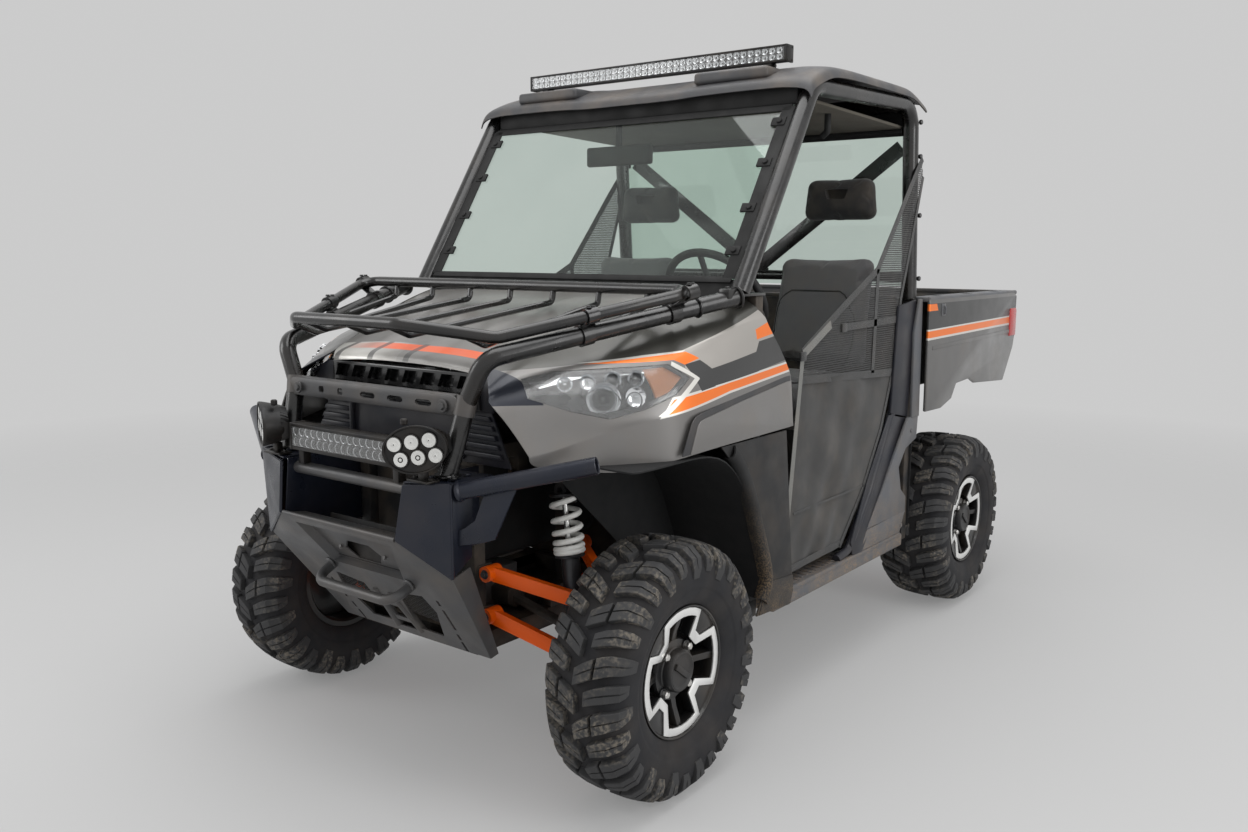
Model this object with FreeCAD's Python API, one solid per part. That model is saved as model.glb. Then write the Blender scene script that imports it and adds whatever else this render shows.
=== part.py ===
"""Side by side utility vehicle with a cab, a tipping cargo bed, a front rack and lamps.

Millimetres.  X is the vehicle's left, Y runs to the rear and Z is up.  While the pieces
are made, Y is measured from the front axle.  At the end everything is moved so that the
origin lies on the ground, under the middle of the vehicle.
"""
import FreeCAD
import Part
import math
import os

V = FreeCAD.Vector

# Driving dimensions
wheelbase = 2057.0
front_overhang = 540.0
rear_overhang = 590.0
front_half_track = 678.0
rear_half_track = 656.0
tyre_radius = 343.0
front_tyre_width = 235.0
rear_tyre_width = 279.0
rim_seat_radius = 178.0
ground_clearance = 330.0
overall_height = 2070.0
body_half_width = 745.0
cab_inset = 25.0
cage_inset = 57.0
bed_inset = 5.0

# Clearances shared by every piece
seat_gap = 0.3
bearing_gap = 0.5
panel_gap = 0.5
moving_gap = 6.0
overrun = 5.0
bend_step = 1.0
flat_limit = 1e-5

cab_half_width = body_half_width - cab_inset
cage_half_width = body_half_width - cage_inset
bed_half_width = body_half_width - bed_inset
overall_length = wheelbase + front_overhang + rear_overhang
front_axle_y = -overall_length / 2 + front_overhang


def box(x0, x1, y0, y1, z0, z1):
    return Part.makeBox(x1 - x0, y1 - y0, z1 - z0, V(x0, y0, z0))


def polygon(points):
    corners = [V(*p) for p in points]
    return Part.Face(Part.makePolygon(corners + corners[:1]))


def side_slab(outline, x0, x1):
    """A plate with an outline of (y, z) points, standing along the vehicle."""
    return polygon([(x0, y, z) for y, z in outline]).extrude(V(x1 - x0, 0, 0))


def front_slab(outline, y0, y1):
    """A plate with an outline of (x, z) points, standing across the vehicle."""
    return polygon([(x, y0, z) for x, z in outline]).extrude(V(0, y1 - y0, 0))


def plan_slab(outline, z0, z1):
    """A flat plate with an outline of (x, y) points."""
    return polygon([(x, y, z0) for x, y in outline]).extrude(V(0, 0, z1 - z0))


def spread(shares, a0, a1, b0, b1):
    """Turn shares of a rectangle into places in it."""
    return [(a0 + a * (a1 - a0), b0 + b * (b1 - b0)) for a, b in shares]


def mirrored(shape):
    return shape.mirror(V(0, 0, 0), V(1, 0, 0))


def both(shape):
    return [shape, mirrored(shape)]


def pin(a, b, r):
    """A true cylinder between two points."""
    a, b = V(*a), V(*b)
    return Part.makeCylinder(r, (b - a).Length, a, b - a)


def rounded(points, bend):
    """Replace the inner corners of a path by short steps along tangent arcs."""
    corners = [V(*p) for p in points]
    path = corners[:1]
    for before, corner, after in zip(corners, corners[1:], corners[2:]):
        inward = (before - corner).normalize()
        outward = (after - corner).normalize()
        turn = math.pi - inward.getAngle(outward)
        middle = (inward + outward).normalize()
        centre = corner + middle * (bend / math.cos(turn / 2))
        steps = max(1, round(turn / bend_step))
        side = (outward - inward).normalize()
        for k in range(steps + 1):
            angle = turn * (k / steps - 1 / 2)
            path.append(centre - middle * (bend * math.cos(angle)) + side * (bend * math.sin(angle)))
    return path + corners[-1:]


def tube(points, r, bend=0, sides=8):
    """A tube of flat sides along a path, mitred at each corner.  Its sides lie at r from the line."""
    path = rounded(points, bend) if bend else [V(*p) for p in points]
    run = (path[1] - path[0]).normalize()
    up = V(0, 1, 0) if abs(run.z) > abs(run.y) + abs(run.x) else V(0, 0, 1)
    across = run.cross(up).normalize()
    up = across.cross(run)
    reach = r / math.cos(math.pi / sides)
    ring = []
    for k in range(sides):
        angle = 2 * math.pi * (k + 0.5) / sides
        ring.append(path[0] + across * (reach * math.cos(angle)) + up * (reach * math.sin(angle)))
    rings = [ring]
    for i in range(1, len(path)):
        run = (path[i] - path[i - 1]).normalize()
        cap = run
        if i + 1 < len(path):
            cap = (run + (path[i + 1] - path[i]).normalize()).normalize()
        rings.append([p + run * ((path[i] - p).dot(cap) / run.dot(cap)) for p in rings[-1]])
    faces = []
    for here, there in zip(rings, rings[1:]):
        for k in range(sides):
            n = (k + 1) % sides
            corners = [here[k], here[n], there[n], there[k]]
            faces.append(Part.Face(Part.makePolygon(corners + corners[:1])))
    for ring in (rings[0], rings[-1]):
        faces.append(Part.Face(Part.makePolygon(ring + ring[:1])))
    return closed(faces)


def bar(a, b, r, sides=8):
    return tube([a, b], r, 0, sides)


def fuse(shapes):
    whole = shapes[0].multiFuse(shapes[1:])
    return whole.removeSplitter()


def cut(shape, tools):
    for tool in tools:
        shape = shape.cut(tool)
    return shape


def closed(faces):
    solid = Part.Solid(Part.Shell(faces))
    if solid.Volume < 0:
        solid.reverse()
    return solid


def loft(rings):
    """A solid of flat facets through closed outlines of (x, y, z) points."""
    loops = [[V(*p) for p in ring] for ring in rings]
    faces = []
    for here, there in zip(loops, loops[1:]):
        for j in range(len(here)):
            n = (j + 1) % len(here)
            faces += facets(here[j], here[n], there[n], there[j])
    for loop in (loops[0], loops[-1]):
        faces.append(Part.Face(Part.makePolygon(loop + loop[:1])))
    return closed(faces)


def facets(a, b, c, d):
    """One flat face for four corners in a plane, two triangles otherwise.

    The fold always runs outward and down, so that both skins of a sheet fold alike.
    """
    normal = (b - a).cross(c - a)
    if abs(normal.dot(d - a)) < flat_limit * normal.Length:
        return [Part.Face(Part.makePolygon([a, b, c, d, a]))]
    if abs(c.x) - abs(a.x) < c.z - a.z:
        a, b, c, d = b, c, d, a
    return [Part.Face(Part.makePolygon([a, b, c, a])), Part.Face(Part.makePolygon([a, c, d, a]))]


def strip(points, depth, upright=()):
    """Close an open line of points into a band that lies depth under it.

    The ends named in upright, by their index, drop straight down.
    """
    under = []
    for i, (u, w) in enumerate(points):
        before = points[max(i - 1, 0)]
        after = points[min(i + 1, len(points) - 1)]
        du, dw = after[0] - before[0], after[1] - before[1]
        size = math.hypot(du, dw)
        if i in upright:
            under.append((u, w - depth))
        else:
            under.append((u + dw / size * depth, w - du / size * depth))
    return points + under[::-1]


nodes = {}


def keep(name, shapes):
    """Store a node, moved from the front axle to the vehicle's own origin."""
    whole = Part.makeCompound(shapes) if len(shapes) > 1 else shapes[0]
    whole.translate(V(0, front_axle_y, 0))
    nodes[name] = whole


# Tyres: a carcass of flat facets with lugs on both shoulders
tyre_facets = 14
tread_depth = 19.0
lug_width = 40.0
lug_sink = 4.0
bead_share = 0.36
shoulder_share = 0.36
lug_inner_share = 0.05
lug_top_share = 0.46
sidewall_radius_share = 0.74


def tyre(width):
    """One tyre about the X axis, with its centre at zero."""
    half = width / 2
    carcass_radius = tyre_radius - tread_depth
    widest_radius = tyre_radius * sidewall_radius_share
    bead_x = width * bead_share
    shoulder_x = width * shoulder_share
    section = [(-bead_x, rim_seat_radius), (bead_x, rim_seat_radius), (half, widest_radius),
               (shoulder_x, carcass_radius), (-shoulder_x, carcass_radius), (-half, widest_radius)]
    step = 2 * math.pi / tyre_facets
    stretch = 1 / math.cos(step / 2)
    rings = []
    for k in range(tyre_facets):
        c, s = math.cos(k * step) * stretch, math.sin(k * step) * stretch
        rings.append([V(x, r * c, r * s) for x, r in section])
    faces = []
    for k in range(tyre_facets):
        here, there = rings[k], rings[(k + 1) % tyre_facets]
        for j in range(len(section)):
            n = (j + 1) % len(section)
            corners = [here[j], here[n], there[n], there[j]]
            faces.append(Part.Face(Part.makePolygon(corners + corners[:1])))
    solid = closed(faces)
    lugs = []
    outline = [(width * lug_inner_share, carcass_radius - lug_sink), (width * lug_inner_share, tyre_radius),
               (width * lug_top_share, tyre_radius), (half, widest_radius + tread_depth),
               (half - tread_depth, widest_radius + lug_sink)]
    left = polygon([(x, -lug_width / 2, r) for x, r in outline]).extrude(V(0, lug_width, 0))
    right = mirrored(left)
    right.rotate(V(0, 0, 0), V(1, 0, 0), math.degrees(step) / 2)
    for k in range(tyre_facets):
        for lug in (left, right):
            copy = lug.copy()
            copy.rotate(V(0, 0, 0), V(1, 0, 0), math.degrees(step) * (k + 0.5))
            lugs.append(copy)
    return solid.multiFuse(lugs)


# Cast rims: a barrel, an outer band, four forked spokes and four thin ones
rim_sides = 14
rim_wall = 12.0
rim_barrel_share = 0.35
rim_face_depth = 30.0
rim_dish = 8.0
rim_band_width = 27.0
hub_radius = 62.0
hub_cap_radius = 44.0
hub_cap_height = 16.0
hub_flange_radius = 40.0
rim_forks = 4
front_rim_face = 89.0
rear_rim_face = 112.0
notch_half_width = 20.0
notch_depth = 52.0
window_gap = 24.0
fork_half_angle = 0.30
spoke_half_angle = 0.085


def rim_ring(outer, inner, x0, x1):
    """A ring of flat facets about the X axis."""
    ring = bar((x0, 0, 0), (x1, 0, 0), outer, rim_sides)
    return ring.cut(bar((x0, 0, 0), (x1, 0, 0), inner, rim_sides)) if inner else ring


def rim_window(a0, a1, r0, r1, x0, x1):
    """A four-sided opening between two angles and two radii."""
    corners = [(r0, a0), (r1, a0), (r1, a1), (r0, a1)]
    return polygon([(x0, r * math.sin(a), r * math.cos(a)) for r, a in corners]).extrude(V(x1 - x0, 0, 0))


def rim(width, face):
    """One rim about the X axis, with its outer side at +X and the wheel centre at zero."""
    inner_x = -width * rim_barrel_share
    outer_radius = (rim_seat_radius - seat_gap) * math.cos(math.pi / rim_sides)
    barrel = rim_ring(outer_radius, outer_radius - rim_wall, inner_x, face)
    plate_x = face - rim_face_depth
    plate = rim_ring(outer_radius - rim_wall / 2, 0, plate_x, face - rim_dish)
    band = rim_ring(outer_radius - rim_wall / 2, outer_radius - rim_band_width, face - 2 * rim_dish, face)
    tools = []
    pitch = 2 * math.pi / rim_forks
    r0, r1 = hub_radius + window_gap / 2, outer_radius - rim_band_width
    for k in range(rim_forks):
        spoke = pitch * k
        fork = spoke + pitch / 2
        for a0, a1 in ((spoke + spoke_half_angle, fork - fork_half_angle),
                       (fork + fork_half_angle, spoke + pitch - spoke_half_angle)):
            tools.append(rim_window(a0, a1, r0, r1, plate_x - overrun, face + overrun))
        notch = box(face - rim_dish, face + overrun, -notch_half_width, notch_half_width,
                    outer_radius - notch_depth, outer_radius - rim_wall)
        notch.rotate(V(0, 0, 0), V(1, 0, 0), -math.degrees(fork))
        tools.append(notch)
    body = cut(fuse([barrel, plate, band]), tools)
    hub_inner = bearing_length - pin_offset + bearing_gap
    hub = bar((hub_inner, 0, 0), (face - rim_dish - overrun, 0, 0), hub_flange_radius)
    cap = bar((face - rim_dish - overrun, 0, 0), (face - rim_dish + hub_cap_height, 0, 0), hub_cap_radius)
    parts = [body, hub, cap]
    return fuse(parts)


# Kingpins, knuckles and hubs
pin_offset = 62.0
upper_joint_rise = 100.0
lower_joint_drop = 93.0
joint_radius = 20.0
joint_half_height = 16.0
lower_joint_neck = 28.0
knuckle_thickness = 34.0
knuckle_half_width = 28.0
bearing_radius = 46.0
bearing_length = 40.0
steering_arm_length = 100.0
steering_arm_rise = 80.0
steering_arm_radius = 11.0


def knuckle(half_track, steered):
    """The upright between the two ball joints, with the wheel bearing on it."""
    x = half_track - pin_offset
    low = tyre_radius - lower_joint_drop + joint_half_height + lower_joint_neck + bearing_gap
    high = tyre_radius + upper_joint_rise - joint_half_height - bearing_gap
    upright = box(x - knuckle_thickness / 2, x + knuckle_thickness / 2,
                  -knuckle_half_width, knuckle_half_width, low, high)
    bearing = bar((x, 0, tyre_radius), (x + bearing_length, 0, tyre_radius), bearing_radius)
    parts = [upright, bearing]
    if steered:
        root = (x, 0, high - joint_radius)
        tip = (x - knuckle_thickness / 4, steering_arm_length, tyre_radius + steering_arm_rise)
        parts.append(bar(root, tip, steering_arm_radius))
        parts.append(bar((tip[0], tip[1], tip[2] - steering_arm_radius),
                         (tip[0], tip[1], tip[2] + steering_arm_radius), steering_arm_radius + bearing_gap))
    return fuse(parts)


def make_wheels():
    sides = (("left", 1), ("right", -1))
    rows = (("front", 0, front_half_track, front_tyre_width, front_rim_face),
            ("rear", wheelbase, rear_half_track, rear_tyre_width, rear_rim_face))
    for row, y, track, width, face in rows:
        rubber = tyre(width)
        metal = rim(width, face)
        for side, sign in sides:
            for kind, shape in (("tyre", rubber), ("rim", metal)):
                piece = shape.copy() if sign > 0 else mirrored(shape)
                piece.translate(V(sign * track, y, tyre_radius))
                keep("%s_%s_%s" % (kind, row, side), [piece])
    left, right = both(knuckle(front_half_track, True))
    keep("knuckle_left", [left])
    keep("knuckle_right", [right])


# Suspension arms
arm_inner_x = 262.0
arm_spread = 190.0
upper_pivot_z = 560.0
lower_pivot_z = 440.0
arm_radius = 15.0
pivot_radius = 20.0
pivot_length = 50.0
shock_cross_share = 0.55
cross_bar_radius = 10.0
cross_bar_drop = 8.0


def arm(y, half_track, joint_z, pivot_z, crossbar):
    """One A-arm: two tubes from the frame to a ball joint."""
    x = half_track - pin_offset
    neck = lower_joint_neck if crossbar else 0
    parts = [bar((x, y, joint_z - joint_half_height), (x, y, joint_z + joint_half_height + neck),
                 joint_radius, 6)]
    share = shock_cross_share
    ends = []
    for side in (-1, 1):
        inner = (arm_inner_x, y + side * arm_spread, pivot_z)
        outer = (x, y + side * arm_radius / 2, joint_z)
        parts.append(bar(inner, outer, arm_radius, 6))
        parts.append(bar((inner[0], inner[1] - pivot_length / 2, inner[2]),
                         (inner[0], inner[1] + pivot_length / 2, inner[2]), pivot_radius, 6))
        ends.append([a + (b - a) * share for a, b in zip(inner, outer)])
    if crossbar:
        low = [(x, y, z - cross_bar_drop) for x, y, z in ends]
        parts.append(bar(low[0], low[1], cross_bar_radius, 6))
    return fuse(parts)


# Shock absorbers and springs
shock_top_x = 385.0
shock_top_z = 780.0
shock_y = -30.0
shock_foot_y = -52.0
shock_body_radius = 21.0
shock_rod_radius = 9.0
shock_eye_radius = 20.0
shock_eye_reach = shock_eye_radius / math.cos(math.pi / 6)
cross_bar_reach = cross_bar_radius / math.cos(math.pi / 6)
shock_eye_half_length = 13.0
spring_radius = 37.0
spring_wire = 6.0
spring_turns = 4
spring_steps = 6
spring_top_gap = 34.0
spring_length = 185.0
spring_seat_radius = 42.0
spring_seat_thickness = 7.0
shock_rod_length = 150.0


def shock_foot(half_track):
    """The point on the lower arm's cross bar where the shock stands."""
    share = shock_cross_share
    x = arm_inner_x + (half_track - pin_offset - arm_inner_x) * share
    z = lower_pivot_z + (tyre_radius - lower_joint_drop - lower_pivot_z) * share
    return x, z


def shock_axis(half_track, y):
    x, z = shock_foot(half_track)
    foot = V(x, y + shock_foot_y, z - cross_bar_drop + cross_bar_reach + shock_eye_reach + seat_gap)
    top = V(shock_top_x, y + shock_y, shock_top_z)
    return foot, top


def shock(half_track, y):
    """Damper body, rod, eyes and the two spring seats."""
    foot, top = shock_axis(half_track, y)
    along = (top - foot).normalize()
    rod_end = top - along * shock_rod_length
    upper_seat = top - along * spring_top_gap
    lower_seat = upper_seat - along * spring_length
    across = V(0, shock_eye_half_length, 0)
    parts = [bar(foot - across, foot + across, shock_eye_radius, 6),
             bar(foot, rod_end, shock_body_radius, 6), bar(rod_end, top, shock_rod_radius, 6),
             bar(top - across, top + across, shock_eye_radius, 6),
             bar(upper_seat, upper_seat + along * spring_seat_thickness, spring_seat_radius, 6),
             bar(lower_seat - along * spring_seat_thickness, lower_seat, spring_seat_radius, 6)]
    return fuse(parts)


def spring(half_track, y):
    """A coil of three-sided wire in flat facets, standing between its two seats."""
    foot, top = shock_axis(half_track, y)
    along = (top - foot).normalize()
    across = along.cross(V(0, 1, 0)).normalize()
    third = along.cross(across)
    start = top - along * (spring_top_gap + spring_length - spring_wire - seat_gap)
    rise = (spring_length - 2 * spring_wire - 2 * seat_gap) / (spring_turns * spring_steps)
    rings = []
    for k in range(spring_turns * spring_steps + 1):
        angle = 2 * math.pi * k / spring_steps
        outward = across * math.cos(angle) + third * math.sin(angle)
        centre = start + along * (rise * k) + outward * spring_radius
        rings.append([centre + outward * spring_wire, centre - along * spring_wire,
                      centre + along * spring_wire])
    faces = []
    for here, there in zip(rings, rings[1:]):
        for j in range(len(here)):
            n = (j + 1) % len(here)
            for corners in ((here[j], here[n], there[n]), (here[j], there[n], there[j])):
                faces.append(Part.Face(Part.makePolygon(list(corners) + [corners[0]])))
    for ring in (rings[0], rings[-1]):
        faces.append(Part.Face(Part.makePolygon(ring + ring[:1])))
    return closed(faces)


# Final drives and shafts
gearcase_half_width = 105.0
gearcase_front_y = -120.0
gearcase_rear_y = 80.0
gearcase_height = 116.0
shaft_radius = 14.0
cv_cup_radius = 34.0
cv_cup_length = 70.0
cv_gap = 52.0
shaft_inner_z = 430.0


def half_shaft(y, half_track, inner_x):
    """A drive shaft with a cup at each end, short of the steering knuckle."""
    outer = V(half_track - pin_offset - cv_gap, y, tyre_radius)
    inner = V(inner_x + seat_gap, y, shaft_inner_z)
    along = V(1, 0, 0) * cv_cup_length
    parts = [bar(outer - along, outer, cv_cup_radius, 6), bar(inner, inner + along, cv_cup_radius, 6),
             bar(inner + along / 2, outer - along / 2, shaft_radius, 6)]
    return fuse(parts)


# Steering rack and tie rods
rack_y = steering_arm_length
rack_radius = 13.0
rack_half_length = 310.0
rack_bush_half = 22.0
tie_rod_radius = 9.0
tie_rod_gap = 50.0


def steering_rack():
    """A sliding rack with its tie rods, which end short of the steering arms."""
    z = tyre_radius + steering_arm_rise
    end_x = front_half_track - pin_offset - knuckle_thickness / 4 - tie_rod_gap
    middle = bar((-rack_half_length, rack_y, z), (rack_half_length, rack_y, z), rack_radius)
    rods = bar((-end_x, rack_y, z), (end_x, rack_y, z), tie_rod_radius)
    return fuse([middle, rods])


# Main frame
skid_thickness = 4.0
rail_offset = 215.0
rail_half = 25.0
rail_front_y = -225.0
post_half = 20.0
front_post_y = -205.0
middle_post_y = 170.0
gear_cross_y = -20.0
front_frame_top = 900.0
upper_rail_height = 40.0
bed_rail_top = 890.0
cab_post_inset = 85.0
cab_post_x = body_half_width - cab_post_inset
front_cab_post_y = 498.0
rear_cab_post_ahead = 432.0
rear_cab_post_y = wheelbase - rear_cab_post_ahead
cab_length = rear_cab_post_y - front_cab_post_y
rear_frame_front_ahead = 125.0
rear_frame_front_y = rear_cab_post_y - rear_frame_front_ahead
cage_foot_z = 1300.0
rear_foot_z = 1250.0
seat_cross_share = 0.489796
seat_cross_y = front_cab_post_y + seat_cross_share * cab_length
shock_bracket_thickness = 12.0
shock_bracket_end_x = 420.0
shock_bracket_half_width = 30.0
receiver_outer = 63.5
receiver_inner = 51.0
receiver_length = 180.0
receiver_z = 430.0
receiver_pin_radius = 8.0
receiver_pin_inset = 40.0
bed_pivot_z = 868.0
bed_pin_radius = 10.0
pin_sides = 12
pin_share = math.cos(math.pi / pin_sides)
bed_lug_radius = 22.0
bed_lug_length = 30.0
rear_end_post_y = wheelbase + arm_spread + pivot_length / 2 + post_half
rail_rear_y = rear_end_post_y + post_half
bed_pivot_y = rear_end_post_y
rail_bottom = ground_clearance + skid_thickness
rail_top = rail_bottom + 2 * rail_half
sill_inner_inset = 105.0
sill_inner_x = body_half_width - sill_inner_inset
fascia_y = -262.0
fascia_depth = 14.0


def end_posts(x, posts, low):
    """Upright square tubes on one side of the frame, each as its y and its top."""
    return [box(x - post_half, x + post_half, y - post_half, y + post_half, low, top) for y, top in posts]


def arm_lugs(side, y):
    """Four blocks that hold the inner ends of the arms of one wheel."""
    lug_end_x = arm_inner_x - pivot_radius - seat_gap
    inner_x, outer_x = sorted((side * (rail_offset - post_half), side * lug_end_x))
    lugs = []
    for z in (upper_pivot_z, lower_pivot_z):
        for end in (-1, 1):
            lug_y = y + end * arm_spread
            lugs.append(box(inner_x, outer_x, lug_y - pivot_length / 2, lug_y + pivot_length / 2,
                            z - pivot_radius, z + pivot_radius))
    return lugs


def shock_bracket(side, y):
    """The shelf over a shock absorber's upper eye."""
    inner_x, outer_x = sorted((side * rail_offset, side * shock_bracket_end_x))
    low = shock_top_z + shock_eye_reach + seat_gap
    return box(inner_x, outer_x, y - shock_bracket_half_width, y + shock_bracket_half_width,
               low, low + shock_bracket_thickness)


def lower_frame():
    """Two long rails, the cross members and outriggers butted to them, and the hitch receiver."""
    inner, outer = rail_offset - rail_half, rail_offset + rail_half
    parts = [box(inner, outer, rail_front_y, rail_rear_y, rail_bottom, rail_top)]
    for y in (front_cab_post_y, rear_cab_post_y):
        parts.append(box(outer, cab_post_x + post_half, y - post_half, y + post_half, rail_bottom, rail_top))
    parts += [mirrored(part) for part in parts]
    for y in (front_post_y, gear_cross_y, front_cab_post_y, seat_cross_y, rear_cab_post_y, rear_end_post_y):
        parts.append(box(-inner, inner, y - post_half, y + post_half, rail_bottom, rail_top))
    return parts + [hitch_receiver()]


def hitch_receiver():
    """A square tube on the last cross member, with the hole for its pin."""
    half = receiver_outer / 2
    end_y = rail_rear_y + receiver_length
    sleeve = box(-half, half, rail_rear_y - 2 * post_half, end_y, receiver_z - half, receiver_z + half)
    riser = box(-half, half, rail_rear_y - 2 * post_half, rail_rear_y, rail_top, receiver_z)
    bore = receiver_inner / 2
    pin_y = end_y - receiver_pin_inset
    tools = [box(-bore, bore, rail_rear_y, end_y + overrun, receiver_z - bore, receiver_z + bore),
             pin((-receiver_outer, pin_y, receiver_z), (receiver_outer, pin_y, receiver_z),
                 receiver_pin_radius)]
    return cut(fuse([sleeve, riser]), tools)


def front_frame():
    """Posts and upper rails over the front axle, joined across at the nose."""
    top = front_frame_top
    low = top - upper_rail_height
    parts = []
    for side in (-1, 1):
        x = side * rail_offset
        parts += end_posts(x, ((front_post_y, top), (middle_post_y, top)), rail_top)
        parts.append(box(x - post_half, x + post_half, fascia_y + fascia_depth,
                         front_cab_post_y - post_half, low, top))
        parts.append(shock_bracket(side, shock_y))
        parts += end_posts(x, ((shock_y, low),), shock_top_z)
        parts += arm_lugs(side, 0)
        parts.append(box(x - rail_half, x + rail_half, rack_y - rack_bush_half, middle_post_y,
                         rail_top, tyre_radius + steering_arm_rise + rack_bush_half))
    parts.append(box(-rail_offset, rail_offset, front_post_y - post_half, front_post_y + post_half, low, top))
    rack_z = tyre_radius + steering_arm_rise
    bore = bar((-body_half_width, rack_y, rack_z), (body_half_width, rack_y, rack_z),
               rack_radius + bearing_gap)
    return fuse(parts).cut(bore)


def rear_frame():
    """Posts and upper rails over the rear axle, with the bores for the bed's pins."""
    top = bed_rail_top
    low = top - upper_rail_height
    parts = []
    for side in (-1, 1):
        x = side * rail_offset
        arm_post_y = wheelbase - arm_spread - pivot_length / 2 - post_half
        places = ((rear_frame_front_y, top), (arm_post_y, top), (rear_end_post_y, top))
        parts += end_posts(x, places, rail_top)
        parts.append(box(x - post_half, x + post_half, rear_frame_front_y, rail_rear_y, low, top))
        parts.append(shock_bracket(side, wheelbase + shock_y))
        parts += end_posts(x, ((wheelbase + shock_y, low),), shock_top_z)
        parts += arm_lugs(side, wheelbase)
    parts.append(box(-rail_offset, rail_offset, rail_rear_y - 2 * post_half, rail_rear_y,
                     low - upper_rail_height, low))
    parts.append(box(-rail_offset, rail_offset, rear_frame_front_y - post_half,
                     rear_frame_front_y + post_half, low, top))
    bore = bar((-body_half_width, bed_pivot_y, bed_pivot_z), (body_half_width, bed_pivot_y, bed_pivot_z),
               bed_pin_radius, pin_sides)
    return fuse(parts).cut(bore)


def cab_frame():
    """The four posts that carry the cage, and the beam between the front ones."""
    posts = []
    for x in (-cab_post_x, cab_post_x):
        posts += end_posts(x, ((front_cab_post_y, cage_foot_z), (rear_cab_post_y, rear_foot_z)), rail_top)
    reach = cab_post_x - post_half
    beam = box(-reach, reach, front_cab_post_y - post_half, front_cab_post_y + post_half,
               front_frame_top - upper_rail_height, front_frame_top)
    return posts + [beam]


def skid_plate():
    reach = rail_offset + rail_half
    return box(-reach, reach, rail_front_y, rail_rear_y, ground_clearance, rail_bottom)


# Powertrain, one plain block under the seats with the rear drive behind it
engine_half_width = 180.0
engine_front_ahead = 65.0
engine_front_y = rear_cab_post_y - engine_front_ahead
engine_rear_offset = 207.0
engine_rear_y = wheelbase - engine_rear_offset
engine_top_z = 790.0
drive_half_width = 110.0
drive_rear_offset = 143.0
drive_rear_y = wheelbase + drive_rear_offset
drive_top_z = 500.0


def powertrain():
    engine = box(-engine_half_width, engine_half_width, engine_front_y, engine_rear_y, rail_top, engine_top_z)
    drive = box(-drive_half_width, drive_half_width, engine_front_y, drive_rear_y, rail_top, drive_top_z)
    return fuse([engine, drive])


# Silencer behind the rear drive
silencer_radius = 60.0
silencer_half_length = 160.0
silencer_z = 640.0
exhaust_pipe_radius = 20.0


def exhaust():
    y = rail_rear_y - 2 * post_half - silencer_radius - 2 * moving_gap
    body = bar((-silencer_half_length, y, silencer_z), (silencer_half_length, y, silencer_z), silencer_radius)
    pipe = bar((0, engine_rear_y + seat_gap, silencer_z), (0, y, silencer_z), exhaust_pipe_radius)
    return fuse([body, pipe])


# Cab floor, fire wall and seat base
floor_thickness = 6.0
firewall_top_z = 1040.0
firewall_thickness = 6.0
seat_base_inset = 145.0
seat_base_half_width = body_half_width - seat_base_inset
seat_base_front_share = 0.338953
seat_base_front_y = front_cab_post_y + seat_base_front_share * cab_length
seat_base_rear_y = rear_frame_front_y - post_half
seat_base_top_z = 850.0
seat_base_wall = 5.0
rear_wall_top_z = 1250.0
cab_front_y = front_cab_post_y + post_half
cab_rear_y = rear_cab_post_y - post_half - firewall_thickness
floor_half_width = sill_inner_x


def cab_floor():
    """Floor sheet with the fire wall in front and the cab's back wall behind."""
    x = floor_half_width
    top = rail_top + floor_thickness
    floor = box(-x, x, cab_front_y, cab_rear_y, rail_top, top)
    front = box(-x, x, cab_front_y, cab_front_y + firewall_thickness, rail_top, firewall_top_z)
    back = box(-x, x, cab_rear_y, cab_rear_y + firewall_thickness, rail_top, rear_wall_top_z)
    engine_bay = box(-engine_half_width - 2 * moving_gap, engine_half_width + 2 * moving_gap,
                     rear_frame_front_y - post_half - moving_gap, cab_rear_y + 2 * firewall_thickness,
                     rail_top - overrun, bed_rail_top + moving_gap)
    rails = box(-rail_offset - rail_half, rail_offset + rail_half,
                rear_frame_front_y - post_half - moving_gap, cab_rear_y + 2 * firewall_thickness,
                rail_top - overrun, bed_rail_top + moving_gap)
    return cut(fuse([floor, front, back]), [engine_bay, rails])


def seat_base():
    """Hollow box that the seats stand on, open underneath."""
    x = seat_base_half_width
    low = rail_top + floor_thickness
    outer = box(-x, x, seat_base_front_y, seat_base_rear_y, low, seat_base_top_z)
    wall = seat_base_wall
    inner = box(-x + wall, x - wall, seat_base_front_y + wall, seat_base_rear_y - wall,
                low, seat_base_top_z - wall)
    return outer.cut(inner)


# Sills along the doorways
sill_front_y = 560.0
sill_rear_share = 0.915705
sill_rear_y = front_cab_post_y + sill_rear_share * cab_length
sill_height = 58.0
sill_chamfer = 22.0
arch_panel_wall = 4.0


def side_sill():
    x0, x1 = sill_inner_x, cab_half_width
    z0, z1 = rail_bottom, rail_bottom + sill_height
    outline = [(x0, z0), (x1 - sill_chamfer, z0), (x1, z0 + sill_chamfer), (x1, z1), (x0, z1)]
    body = front_slab(outline, sill_front_y, sill_rear_y)
    floor = box(x0 - overrun, x0 + panel_gap, sill_front_y - overrun, sill_rear_y + overrun,
                rail_top - overrun, z1 + overrun)
    return body.cut(floor)


cage_radius = 28.0

# Rear quarter panels between the doorway and the cargo bed
quarter_front_share = 0.478261
quarter_front_y = front_cab_post_y + quarter_front_share * cab_length
quarter_depth = 58.0
quarter_wall = 4.0
quarter_top_z = 1258.0
quarter_shares = [(0.725, 1), (1, 1), (0.907, 0.875), (0.907, 0), (0, 0), (0.06, 0.074), (0.618, 0.515)]
quarter_core_shares = [(0.76, 0.985), (0.97, 0.985), (0.897, 0.87), (0.897, 0.012), (0.09, 0.012),
                       (0.12, 0.074), (0.65, 0.515)]


quarter_rear_y = rear_cab_post_y - cage_radius - panel_gap


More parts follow.
